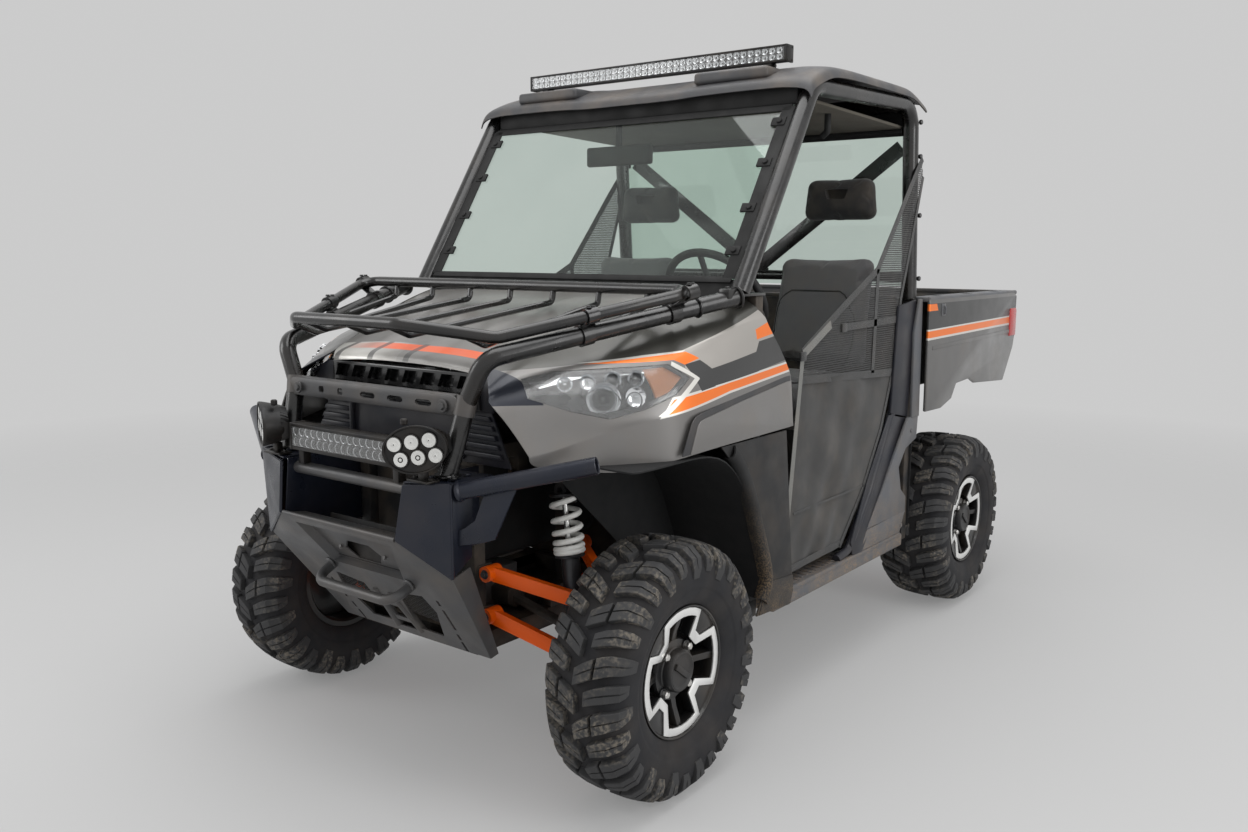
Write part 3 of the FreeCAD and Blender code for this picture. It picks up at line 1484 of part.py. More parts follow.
def hood_rack():
    """A perimeter tube with rods that hang from the rear bar and climb to the front one."""
    left = [(0, rack_rear_y, rack_rear_z), (rack_rear_x, rack_rear_y, rack_rear_z),
            (rack_corner_x, rack_corner_y, rack_corner_z), (rack_kink_x, rack_kink_y, rack_kink_z),
            (0, rack_kink_y, rack_kink_z)]
    parts = both(tube(left, rack_tube_radius, rack_bend))
    for k in range(rack_rod_count):
        x = (k - (rack_rod_count - 1) / 2) * rack_rod_pitch
        share = max(0, (abs(x) - rack_kink_x) / (rack_corner_x - rack_kink_x))
        front_y = rack_kink_y + (rack_corner_y - rack_kink_y) * share
        front_z = rack_kink_z + (rack_corner_z - rack_kink_z) * share
        low_z = front_z - rack_rod_front_drop
        rod = [(x, rack_rear_y, rack_rear_z), (x, rack_rear_y - rack_rod_lean, rack_rear_z - rack_rod_drop),
               (x, front_y + 2 * rack_rod_front_drop, low_z), (x, front_y, front_z)]
        parts.append(tube(rod, rack_rod_radius, rack_rod_bend, rack_rod_sides))
    guard = guard_path()
    for place_y in (rack_rear_y, rack_rear_y + (rack_corner_y - rack_rear_y) * rack_clamp_share):
        share = (place_y - rack_rear_y) / (rack_corner_y - rack_rear_y)
        top = V(rack_rear_x + (rack_corner_x - rack_rear_x) * share, place_y,
                rack_rear_z + (rack_corner_z - rack_rear_z) * share)
        share = (place_y - guard[2][1]) / (guard[3][1] - guard[2][1])
        low = V(guard[2][0] + (guard[3][0] - guard[2][0]) * share, place_y,
                guard[2][2] + (guard[3][2] - guard[2][2]) * share)
        run = (top - low).normalize()
        across = V(0, rack_clamp_half, 0)
        start = low + run * (guard_tube_radius / 2)
        corners = [start - across, start + across, top + across, top - across]
        face = Part.Face(Part.makePolygon(corners + corners[:1]))
        side = run.cross(V(0, 1, 0)).normalize() * rack_clamp_thickness
        clamp = face.extrude(side)
        clamp.translate(side * (-1 / 2))
        parts += both(clamp)
    guards = both(tube(guard_path(), guard_tube_radius + seat_gap, guard_bend_radius, guard_sides))
    return cut(fuse(parts), guards)


# Lamps on the bumper
bar_lamp_half_width = 212.0
bar_lamp_y = -478.0
bar_lamp_depth = 52.0
bar_lamp_low_z = 888.0
bar_lamp_height = 74.0
spot_x = 300.0
spot_z = 950.0
spot_half_width = 84.0
spot_half_height = 60.0
spot_depth = 72.0
spot_yaw = 28.0
spot_sides = 14
spot_back_share = 0.8
spot_turn = math.radians(spot_yaw)
spot_y = spot_half_width * math.sin(spot_turn) + spot_depth / 2 * math.cos(spot_turn) - front_overhang
spot_foot_radius = 10.0
bar_foot_x = 195.0


def bar_lamp():
    """The straight lamp between the guard tubes, on feet that reach the cross bar."""
    front = bar_lamp_y
    body = box(-bar_lamp_half_width, bar_lamp_half_width, front, front + bar_lamp_depth,
               bar_lamp_low_z, bar_lamp_low_z + bar_lamp_height)
    parts = [body]
    foot_y = crossbar_y + crossbar_radius
    foot_z = crossbar_z + crossbar_radius + seat_gap
    for x in (-bar_foot_x, bar_foot_x):
        parts.append(box(x - spot_foot_radius, x + spot_foot_radius, foot_y - spot_foot_radius,
                         foot_y + spot_foot_radius, foot_z, bar_lamp_low_z))
    return fuse(parts)


def spot_lamp():
    ring = []
    for k in range(spot_sides):
        angle = 2 * math.pi * k / spot_sides
        ring.append((spot_half_width * math.cos(angle), spot_half_height * math.sin(angle)))
    front = [(x, -spot_depth / 2, z) for x, z in ring]
    back = [(x * spot_back_share, spot_depth / 2, z * spot_back_share) for x, z in ring]
    body = loft([front, back])
    body.rotate(V(0, 0, 0), V(0, 0, 1), spot_yaw)
    body.translate(V(spot_x, spot_y, spot_z))
    foot_y = spot_y + spot_foot_radius
    foot = bar((spot_x, foot_y, wing_top_z + seat_gap), (spot_x, foot_y, spot_z), spot_foot_radius)
    return fuse([body, foot])


# Lamp bar on the roof
roof_bar_inset = 204.0
roof_bar_half_length = body_half_width - roof_bar_inset
roof_bar_setback = 112.0
roof_bar_y = roof_front_y + roof_bar_setback
roof_bar_depth = 46.0
roof_bar_height = 54.0
roof_foot_inset = 275.0
roof_foot_x = body_half_width - roof_foot_inset
roof_foot_half = 14.0
roof_bar_sink = 162.0


def roof_light_bar():
    low = overall_height - roof_bar_height
    body = box(-roof_bar_half_length, roof_bar_half_length, roof_bar_y, roof_bar_y + roof_bar_depth,
               low, overall_height)
    solid = roof_surface(roof_bar_sink)
    solid.translate(V(0, 0, seat_gap))
    parts = [body]
    for x in (-roof_foot_x, roof_foot_x):
        foot = box(x - roof_foot_half, x + roof_foot_half, roof_bar_y, roof_bar_y + roof_bar_depth,
                   roof_crown_z - roof_bar_height, low)
        parts.append(foot.cut(solid))
    return fuse(parts)


# Seats
cushion_inner_x = 20.0
cushion_outer_inset = 155.0
cushion_outer_x = body_half_width - cushion_outer_inset
cushion_front_share = 0.312334
cushion_front_y = front_cab_post_y + cushion_front_share * cab_length
cushion_rear_share = 0.747116
cushion_rear_y = front_cab_post_y + cushion_rear_share * cab_length
cushion_top_z = 1005.0
cushion_bevel = 26.0
back_half_width = 215.0
back_top_share = 0.245714
back_top_z = rear_foot_z + back_top_share * cab_height
back_low_share = 0.711624
back_low_y = front_cab_post_y + back_low_share * cab_length
back_top_share = 0.803904
back_top_y = front_cab_post_y + back_top_share * cab_length
back_thickness = 98.0
headrest_half_width = 146.0
headrest_low_share = 0.414286
headrest_low_z = rear_foot_z + headrest_low_share * cab_height
headrest_top_share = 0.635714
headrest_top_z = rear_foot_z + headrest_top_share * cab_height
headrest_thickness = 80.0
headrest_bevel = 18.0


def seat_bottom():
    low = seat_base_top_z + seat_gap
    body = box(cushion_inner_x, cushion_outer_x, cushion_front_y, cushion_rear_y, low, cushion_top_z)
    edges = [e for e in body.Edges if e.BoundBox.ZMin > cushion_top_z - overrun
             or (e.BoundBox.YMax < cushion_front_y + overrun and e.BoundBox.XMax - e.BoundBox.XMin < overrun)]
    return body.makeChamfer(cushion_bevel, edges)


def seat_back():
    low = cushion_top_z + seat_gap
    outline = [(back_low_y, low), (back_low_y + back_thickness, low),
               (back_top_y + back_thickness, back_top_z), (back_top_y, back_top_z)]
    body = side_slab(outline, headrest_x - back_half_width, headrest_x + back_half_width)
    edges = [e for e in body.Edges if e.BoundBox.ZMax > back_top_z - overrun]
    return body.makeChamfer(cushion_bevel, edges)


def headrest():
    rear = rear_post_y(seat_bar_z) - headrest_post_reach - headrest_post_radius - seat_gap
    body = box(headrest_x - headrest_half_width, headrest_x + headrest_half_width,
               rear - headrest_thickness, rear, headrest_low_z, headrest_top_z)
    edges = [e for e in body.Edges if e.BoundBox.YMax < rear - overrun]
    return body.makeChamfer(headrest_bevel, edges)


# Side nets
net_thickness = 3.0
net_front_y = 640.0
net_tip_setback = 27.0
net_tip_y = rear_cab_post_y + net_tip_setback
net_low_z = 417.0
net_top_drop = 302.0
net_top_z = overall_height - net_top_drop
net_shares = [(0, 0), (0.104, 0.521), (0.624, 0.702), (0.97, 1), (0.985, 0.95), (0.83, 0.625),
              (0.735, 0.315), (0.594, 0.161), (0.408, 0.009)]


def side_net():
    outline = spread(net_shares, net_front_y, net_tip_y, net_low_z, net_top_z)
    x = cage_half_width + seat_gap
    low = rail_bottom + sill_height + seat_gap
    panel = spread(quarter_shares, quarter_front_y, quarter_rear_y, low, quarter_top_z)
    panel = [(y - 2 * panel_gap, z + 2 * panel_gap) for y, z in panel]
    net = side_slab(outline, x, x + net_thickness)
    return net.cut(side_slab(panel, x - overrun, x + net_thickness + overrun))


# Cargo bed
bed_front_setback = 39.0
bed_front_y = rear_cab_post_y + bed_front_setback
bed_rear_offset = 543.0
bed_rear_y = wheelbase + bed_rear_offset
bed_floor_z = 937.0
bed_sheet = 4.0
bed_top_z = 1262.0
bed_runner_half = 22.0
bed_runner_x = 262.0
side_skin = 4.0
side_shares = [(0.05, 1), (1, 1), (1, 0.298), (0.98, 0.17), (0.873, 0.106), (0.526, 0.156), (0.465, 0.211),
               (0.325, 0.195), (0.279, 0.067), (0.176, 0), (0.05, 0.011)]
side_front_ahead = 9.0
side_front_y = rear_cab_post_y - side_front_ahead
side_rear_y = wheelbase + rear_overhang
side_low_z = 826.0
tail_hinge_radius = 15.0
tail_pin_radius = 7.0
tail_recess_share = 0.8
lamp_bottom_z = 1060.0
lamp_head_z = 1187.0
tail_lamp_depth = 45.0
bed_wall_inner_inset = 55.0
bed_wall_inner_x = body_half_width - bed_wall_inner_inset
pocket_count = 3
pocket_length = 60.0
pocket_width = 22.0
pocket_depth = 18.0
tail_y = bed_rear_y + moving_gap + tail_hinge_radius
tail_hinge_z = bed_floor_z + tail_hinge_radius + moving_gap


def bed_body():
    """Floor, front wall, side walls with a top rail and the two runners under the floor."""
    w = bed_wall_inner_x
    floor = box(-w, w, bed_front_y, bed_rear_y, bed_floor_z - bed_sheet, bed_floor_z)
    front = box(-w, w, bed_front_y, bed_front_y + bed_sheet, bed_floor_z - bed_sheet, bed_top_z)
    parts = [floor, front]
    for side in (-1, 1):
        x0, x1 = sorted((side * w, side * (w - bed_sheet)))
        parts.append(box(x0, x1, bed_front_y, bed_rear_y, bed_floor_z - bed_sheet, bed_top_z))
        x = side * bed_runner_x
        parts.append(box(x - bed_runner_half, x + bed_runner_half, bed_front_y, bed_rear_y,
                         bed_pivot_z + bed_lug_radius + bed_sheet, bed_floor_z - bed_sheet))
        lug = bar((x - bed_runner_half, bed_pivot_y, bed_pivot_z),
                  (x + bed_runner_half, bed_pivot_y, bed_pivot_z), bed_lug_radius)
        web = box(x - bed_runner_half, x + bed_runner_half, bed_pivot_y - bed_lug_radius,
                  bed_pivot_y + bed_lug_radius, bed_pivot_z, bed_floor_z - bed_sheet)
        parts += [lug, web]
        pin_end_x = rail_offset - post_half - bed_lug_length
        inner, outer = sorted((side * pin_end_x, side * (bed_runner_x + bed_runner_half)))
        parts.append(bar((inner, bed_pivot_y, bed_pivot_z), (outer, bed_pivot_y, bed_pivot_z),
                         bed_pin_radius * pin_share - seat_gap, pin_sides))
        inner, outer = sorted((side * w, side * (w + bed_sheet)))
        ear = box(inner, outer, bed_rear_y - tail_hinge_radius * 2, tail_y + tail_hinge_radius,
                  tail_hinge_z - tail_hinge_radius, tail_hinge_z + tail_hinge_radius)
        hole = bar((inner - overrun, tail_y, tail_hinge_z), (outer + overrun, tail_y, tail_hinge_z),
                   tail_pin_radius)
        parts.append(ear.cut(hole))
    return fuse(parts)


def bed_side():
    """The outer side moulding with its top rail and tie-down pockets."""
    z1 = bed_top_z + seat_gap
    outline = spread(side_shares, side_front_y, side_rear_y, side_low_z, z1)
    x1 = bed_half_width
    skin = side_slab(outline, x1 - side_skin, x1)
    y0 = bed_front_y + moving_gap
    top = box(bed_wall_inner_x + seat_gap, x1, y0, bed_rear_y, z1 - pocket_depth, z1)
    lower = box(bed_wall_inner_x + seat_gap, x1, y0, bed_rear_y, bed_floor_z - bed_sheet, bed_floor_z)
    body = fuse([skin, top, lower])
    tools = []
    for k in range(pocket_count):
        y = y0 + (bed_rear_y - y0) * (k + 0.5) / pocket_count
        x = (bed_wall_inner_x + x1) / 2
        tools.append(box(x - pocket_width / 2, x + pocket_width / 2, y - pocket_length / 2,
                         y + pocket_length / 2, z1 - pocket_depth - overrun, z1 + overrun))
    tools.append(box(bed_wall_inner_x, x1 + overrun, bed_rear_y + seat_gap - tail_lamp_depth,
                     side_rear_y + overrun, lamp_bottom_z, lamp_head_z))
    return cut(body, tools)


def tail_lamp():
    return box(bed_wall_inner_x + 2 * moving_gap, bed_half_width, bed_rear_y + 2 * seat_gap - tail_lamp_depth,
               side_rear_y, lamp_bottom_z + seat_gap, lamp_head_z - seat_gap)


def tailgate():
    low = tail_hinge_z
    half = tail_hinge_radius
    w = bed_wall_inner_x - moving_gap
    leaf = box(-w, w, tail_y - half, tail_y + half, low, bed_top_z)
    foot = bar((-w, tail_y, low), (w, tail_y, low), half)
    recess_half = w * tail_recess_share
    recess = box(-recess_half, recess_half, tail_y + half / 2, tail_y + half + overrun,
                 low + 2 * half, bed_top_z - 2 * half)
    reach = bed_wall_inner_x + bed_sheet
    pins = bar((-reach, tail_y, low), (reach, tail_y, low), tail_pin_radius * pin_share - seat_gap, pin_sides)
    return fuse([leaf.cut(recess), foot, pins])


def make_suspension():
    arms = []
    rear = []
    upper_z = tyre_radius + upper_joint_rise
    lower_z = tyre_radius - lower_joint_drop
    for store, y, track in ((arms, 0, front_half_track), (rear, wheelbase, rear_half_track)):
        store += both(arm(y, track, upper_z, upper_pivot_z, False))
        store += both(arm(y, track, lower_z, lower_pivot_z, True))
    keep("front_arms", arms)
    keep("rear_arms", rear)
    upright = knuckle(rear_half_track, False)
    upright.translate(V(0, wheelbase, 0))
    keep("rear_knuckles", both(upright))
    keep("shock_absorbers", both(shock(front_half_track, 0)) + both(shock(rear_half_track, wheelbase)))
    keep("shock_springs", both(spring(front_half_track, 0)) + both(spring(rear_half_track, wheelbase)))
    keep("front_gearcase", [box(-gearcase_half_width, gearcase_half_width, gearcase_front_y, gearcase_rear_y,
                                rail_top, rail_top + gearcase_height)])
    keep("half_shafts", both(half_shaft(0, front_half_track, gearcase_half_width))
         + both(half_shaft(wheelbase, rear_half_track, drive_half_width)))
    keep("steering_rack", [steering_rack()])


def make_all():
    make_wheels()
    make_suspension()
    keep("lower_frame", lower_frame())
    keep("front_frame", [front_frame()])
    keep("rear_frame", [rear_frame()])
    keep("cab_frame", cab_frame())
    keep("skid_plate", [skid_plate()])
    keep("powertrain", [powertrain()])
    keep("exhaust", [exhaust()])
    keep("cab_floor", [cab_floor()])
    keep("seat_base", [seat_base()])
    keep("side_sills", both(side_sill()))
    keep("quarter_panels", both(quarter_panel()))
    keep("cab_cage", [cab_cage()])
    keep("roof", [roof()])
    keep("windscreen", [windscreen()])
    keep("rear_window", [rear_window()])
    keep("interior_mirror", [mirror()])
    keep("dashboard", [dashboard()])
    keep("steering_column", [steering_column()])
    keep("steering_wheel", [steering_wheel()])
    keep("fenders", both(fender()))
    keep("headlamps", both(headlamp()))
    keep("hood", [hood()])
    keep("grille", [grille()])
    keep("radiator", [radiator()])
    keep("arch_liners", both(arch_liner()) + both(splash_panel()))
    keep("front_bumper", [front_bumper()])
    keep("brush_guard", [brush_guard()])
    keep("hood_rack", [hood_rack()])
    keep("bar_lamp", [bar_lamp()])
    keep("spot_lamps", both(spot_lamp()))
    keep("roof_light_bar", [roof_light_bar()])
    keep("seat_bottoms", both(seat_bottom()))
    keep("seat_backs", both(seat_back()))
    keep("headrests", both(headrest()))
    keep("side_nets", both(side_net()))
    keep("cargo_bed", [bed_body()])
    keep("bed_sides", both(bed_side()))
    keep("tail_lamps", both(tail_lamp()))
    keep("tailgate", [tailgate()])


os.makedirs("parts", exist_ok=True)
make_all()
for name, shape in nodes.items():
    shape.exportStep("parts/%s.step" % name)
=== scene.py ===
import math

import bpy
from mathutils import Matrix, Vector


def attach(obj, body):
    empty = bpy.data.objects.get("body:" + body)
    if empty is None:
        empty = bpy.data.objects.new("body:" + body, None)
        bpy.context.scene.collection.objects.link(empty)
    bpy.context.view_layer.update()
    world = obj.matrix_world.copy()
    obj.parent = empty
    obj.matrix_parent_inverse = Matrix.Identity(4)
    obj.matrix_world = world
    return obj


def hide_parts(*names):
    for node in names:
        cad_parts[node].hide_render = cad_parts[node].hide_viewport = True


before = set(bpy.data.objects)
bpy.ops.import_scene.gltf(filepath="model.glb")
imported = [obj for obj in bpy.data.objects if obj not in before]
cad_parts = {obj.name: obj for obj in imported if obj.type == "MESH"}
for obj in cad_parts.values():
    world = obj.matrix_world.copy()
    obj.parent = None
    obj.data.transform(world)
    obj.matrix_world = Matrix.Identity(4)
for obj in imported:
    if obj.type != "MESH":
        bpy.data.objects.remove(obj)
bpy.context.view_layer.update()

# %% [markdown]
# # A side by side utility vehicle, dressed for the studio
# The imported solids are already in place, in metres, and stay as the fixed frame.  Each visible
# part gets a modelled piece or a better finish here.  The places are written in millimetres
# from the front axle, as a workshop drawing has them, and one function turns them into metres.

MM = 0.001
FRONT_AXLE_Y = -1053.5
WHEELBASE = 2057.0


def place(x, y, z):
    return Vector((x * MM, (y + FRONT_AXLE_Y) * MM, z * MM))


# %% [markdown]
# ## Working by hand, in code
# An operator acts on whatever is selected, so every step starts from one selected object.
# The helpers below are the moves of a modeller: start from a primitive, put its corners in
# place, extrude, spin or round the edges, then fix the result.

# %% Selecting and fixing
def only(obj):
    bpy.ops.object.select_all(action="DESELECT")
    obj.select_set(True)
    bpy.context.view_layer.objects.active = obj


def named(name):
    obj = bpy.context.object
    obj.name = name
    obj.data.name = name
    return obj


def settle(obj):
    only(obj)
    bpy.ops.object.transform_apply(location=True, rotation=True, scale=True)
    return obj


def apply_modifiers(obj):
    only(obj)
    for modifier in list(obj.modifiers):
        bpy.ops.object.modifier_apply(modifier=modifier.name)
    return obj


def clean(obj, fill=False):
    only(obj)
    bpy.ops.object.mode_set(mode="EDIT")
    bpy.ops.mesh.select_all(action="SELECT")
    bpy.ops.mesh.remove_doubles(threshold=1e-5)
    if fill:
        bpy.ops.mesh.fill_holes(sides=0)
    bpy.ops.mesh.select_all(action="SELECT")
    bpy.ops.mesh.normals_make_consistent(inside=False)
    bpy.ops.object.mode_set(mode="OBJECT")
    return obj


def soften(obj, width, segments=2, angle=30):
    """Round the sharp edges."""
    bevel = obj.modifiers.new("edges", "BEVEL")
    bevel.width = width * MM
    bevel.segments = segments
    bevel.limit_method = "ANGLE"
    bevel.angle_limit = math.radians(angle)
    return apply_modifiers(obj)


def both(obj):
    """Give the piece its twin on the other side of the vehicle."""
    obj.modifiers.new("other side", "MIRROR").use_mirror_merge = False
    return apply_modifiers(obj)


def copied(obj, name):
    twin = obj.copy()
    twin.data = obj.data.copy()
    twin.name = name
    twin.data.name = name
    bpy.context.collection.objects.link(twin)
    return twin


def joined(name, pieces):
    bpy.ops.object.select_all(action="DESELECT")
    for piece in pieces:
        piece.select_set(True)
    bpy.context.view_layer.objects.active = pieces[0]
    if len(pieces) > 1:
        bpy.ops.object.join()
    return named(name)


def moved(obj, matrix):
    obj.data.transform(matrix)
    return obj


def carve(obj, cutter, operation="DIFFERENCE"):
    """Take the cutter's shape out of the piece."""
    cut = obj.modifiers.new("cut", "BOOLEAN")
    cut.operation = operation
    cut.object = cutter
    cut.solver = "EXACT"
    apply_modifiers(obj)
    bpy.data.objects.remove(cutter)
    return obj


def shared(obj, cutter):
    """Keep only what lies inside the cutter."""
    return carve(obj, cutter, "INTERSECT")


def smoothed(obj, levels):
    """Let a coarse mesh flow, as much in the view as in the render."""
    smooth = obj.modifiers.new("flow", "SUBSURF")
    smooth.levels = smooth.render_levels = levels
    return apply_modifiers(obj)


def walled(obj, thickness, offset=-1, even=False):
    """Give a sheet its wall."""
    wall = obj.modifiers.new("wall", "SOLIDIFY")
    wall.thickness = thickness * MM
    wall.offset = offset
    wall.use_even_offset = even
    return apply_modifiers(obj)


print("helpers ready")

# %% Blocks, plates and turned parts
def sided(side, spots):
    """Places on the side asked for: 1 is the vehicle's left, -1 its right."""
    return [(side * x, y, z) for x, y, z in spots]


def upright(x, spots):
    """(y, z) places on the plane at x."""
    return [(x, y, z) for y, z in spots]


def frontal(y, spots):
    """(x, z) places on the plane at y."""
    return [(x, y, z) for x, z in spots]


def block(name, xs, ys, zs, edge=3, segments=2):
    low = place(min(xs), min(ys), min(zs))
    high = place(max(xs), max(ys), max(zs))
    bpy.ops.object.select_all(action="DESELECT")
    bpy.ops.mesh.primitive_cube_add(size=1, location=(low + high) / 2, scale=high - low)
    obj = settle(named(name))
    return soften(obj, edge, segments) if edge else obj


def ring_of(name, spots, fill="NGON"):
    """A circle primitive with its points moved to the given places."""
    bpy.ops.object.select_all(action="DESELECT")
    bpy.ops.mesh.primitive_circle_add(vertices=len(spots), fill_type=fill)
    obj = named(name)
    for vertex, spot in zip(obj.data.vertices, spots):
        vertex.co = spot
    return obj


def plate(name, corners, push, edge=2, segments=2):
    """A flat plate: its outline in a plane, extruded by push."""
    obj = ring_of(name, [place(*corner) for corner in corners])
    bpy.ops.object.mode_set(mode="EDIT")
    bpy.ops.mesh.select_all(action="SELECT")
    bpy.ops.mesh.extrude_region_move(TRANSFORM_OT_translate={"value": Vector(push) * MM})
    bpy.ops.mesh.select_all(action="SELECT")
    bpy.ops.mesh.normals_make_consistent(inside=False)
    bpy.ops.object.mode_set(mode="OBJECT")
    return soften(obj, edge, segments) if edge else obj


def turned(name, profile, centre, axis, steps=32):
    """Spin a line of (along, radius) points round an axis through centre."""
    axis = Vector(axis).normalized()
    out = axis.orthogonal().normalized()
    middle = place(*centre)
    obj = ring_of(name, [middle + axis * (a * MM) + out * (r * MM) for a, r in profile], "NOTHING")
    bpy.ops.object.mode_set(mode="EDIT")
    bpy.ops.mesh.select_all(action="SELECT")
    bpy.ops.mesh.spin(steps=steps, angle=2 * math.pi, center=middle, axis=axis)
    bpy.ops.object.mode_set(mode="OBJECT")
    return clean(obj)


def disc(name, centre, axis, radius, length, edge=1.5, steps=20):
    """A solid round with softened rims, from centre along the axis."""
    profile = [(0, 0), (0, radius - edge), (edge, radius), (length - edge, radius), (length, radius - edge),
               (length, 0)]
    return turned(name, profile, centre, axis, steps)


def bolts(name, spots, axis, radius=8, height=6):
    """Hexagonal bolt heads on washers, all along one axis."""
    pieces = []
    for spot in spots:
        pieces += [
            disc("washer", spot, axis, radius * 1.35, height * 0.3, 0.4, 14),
            disc("head", spot, axis, radius, height, 0.8, 6)]
    return joined(name, pieces)


print("solid makers ready")

# %% Bent tubes and lofted skins
def rounded_path(points, bend):
    """Swap each inner corner for short steps on an arc."""
    if not bend:
        return [Vector(p) for p in points]
    path = [Vector(points[0])]
    for before, corner, after in zip(points, points[1:], points[2:]):
        corner = Vector(corner)
        inward = (Vector(before) - corner).normalized()
        outward = (Vector(after) - corner).normalized()
        turn = math.pi - inward.angle(outward)
        if turn < 0.02:
            path.append(corner)
            continue
        middle = (inward + outward).normalized()
        centre = corner + middle * (bend / math.cos(turn / 2))
        side = (outward - inward).normalized()
        steps = max(2, round(turn / 0.2))
        for k in range(steps + 1):
            angle = turn * (k / steps - 0.5)
            path.append(centre - middle * (bend * math.cos(angle)) + side * (bend * math.sin(angle)))
    path.append(Vector(points[-1]))
    return path


def rod(name, points, radius, bend=0, sides=14):
    """A round tube along a path, from a curve primitive with a bevel."""
    bpy.ops.object.select_all(action="DESELECT")
    bpy.ops.curve.primitive_nurbs_path_add()
    obj = named(name)
    curve = obj.data
    curve.splines.clear()
    spline = curve.splines.new("POLY")
    path = rounded_path(points, bend)
    spline.points.add(len(path) - 1)
    for point, spot in zip(spline.points, path):
        point.co = (*place(*spot), 1)
    curve.bevel_depth = radius * MM
    curve.bevel_resolution = sides // 2 - 2
    curve.use_fill_caps = True
    only(obj)
    bpy.ops.object.convert(target="MESH")
    return clean(named(name))


def sheet_of(name, rows):
    """A grid primitive with its points moved to rows of places."""
    bpy.ops.object.select_all(action="DESELECT")
    bpy.ops.mesh.primitive_grid_add(x_subdivisions=len(rows[0]) - 1, y_subdivisions=len(rows) - 1)
    obj = named(name)
    order = sorted(obj.data.vertices, key=lambda v: (round(v.co.y, 5), round(v.co.x, 5)))
    spots = [spot for row in rows for spot in row]
    for vertex, spot in zip(order, spots):
        vertex.co = place(*spot)
    return obj


def skin(name, rows, thickness, levels=2, inward=-1):
    """A moulded panel: a sheet of stations, smoothed, then given a wall."""
    obj = sheet_of(name, rows)
    if levels:
        smoothed(obj, levels)
    return walled(obj, thickness, inward, even=True)


def hull(name, rings, edge=0):
    """A closed body through rings of places: a grid rolled up, seamed and capped."""
    obj = clean(sheet_of(name, [ring + ring[:1] for ring in rings]), fill=True)
    return soften(obj, edge) if edge else obj


print("tube and skin makers ready")

# %% [markdown]
# ## Finishes
# Each finish is one Principled shader with procedural detail: clouds in the colour, a fine
# grain as bump, worn edges and road dust.  The patterns read Object coordinates, so they keep
# their real size and stay with a piece when it moves.

# %% A recipe for finishes
class Finish:
    """One material in the making, with short names for the nodes used most."""

    def __init__(self, name, rough, metal=0.0, **sockets):
        self.mat = bpy.data.materials.new(name)
        self.mat.use_nodes = True
        self.tree = self.mat.node_tree
        self.shader = self.tree.nodes["Principled BSDF"]
        self.shader.inputs["Metallic"].default_value = metal
        self.shader.inputs["Roughness"].default_value = rough
        for key, value in sockets.items():
            self.shader.inputs[key.replace("_", " ").title().replace("Ior", "IOR")].default_value = value
        self.where = self.node("ShaderNodeTexCoord").outputs["Object"]
        self.height = None

    def node(self, kind, inputs=None, **settings):
        node = self.tree.nodes.new(kind)
        for key, value in settings.items():
            setattr(node, key, value)
        for key, value in (inputs or {}).items():
            if isinstance(value, bpy.types.NodeSocket):
                self.tree.links.new(value, node.inputs[key])
            else:
                node.inputs[key].default_value = value
        return node

    def math(self, operation, a, b=0.0, c=0.0, clamp=False):
        node = self.node("ShaderNodeMath", {0: a, 1: b, 2: c}, operation=operation, use_clamp=clamp)
        return node.outputs[0]

    def times(self, a, b, clamp=False):
        return self.math("MULTIPLY", a, b, clamp=clamp)

    def noise(self, scale, detail=3.0):
        keys = {"Vector": self.where, "Scale": scale, "Detail": detail}
        return self.node("ShaderNodeTexNoise", keys).outputs[0]

    def span(self, value, low, high, to_low=0.0, to_high=1.0):
        keys = {"Value": value, "From Min": low, "From Max": high, "To Min": to_low, "To Max": to_high}
        return self.node("ShaderNodeMapRange", keys).outputs[0]

    def mix(self, share, one, two):
        node = self.node("ShaderNodeMix", {0: share, 6: one, 7: two}, data_type="RGBA")
        return node.outputs[2]

    def axis(self, letter):
        return self.node("ShaderNodeSeparateXYZ", {0: self.where}).outputs["XYZ".index(letter)]

    def colour(self, value):
        socket = self.shader.inputs["Base Color"]
        if isinstance(value, bpy.types.NodeSocket):
            self.tree.links.new(value, socket)
        else:
            socket.default_value = value

    def rough(self, value):
        self.tree.links.new(value, self.shader.inputs["Roughness"])

    def bump(self, height, distance, strength=1.0):
        keys = {"Height": height, "Distance": distance * MM, "Strength": strength}
        if self.height:
            keys["Normal"] = self.height
        self.height = self.node("ShaderNodeBump", keys).outputs[0]
        self.tree.links.new(self.height, self.shader.inputs["Normal"])


def tint(red, green, blue):
    """A colour written as in a paint program, from 0 to 255."""
    return tuple((v / 255) ** 2.2 for v in (red, green, blue)) + (1.0,)


def shade(colour, factor, lift=0.0):
    """The same colour, darker or paler."""
    return tuple(min(1, c * factor + lift) for c in colour[:3]) + (1.0,)


DUST = tint(122, 108, 92)
MUD = tint(150, 124, 92)


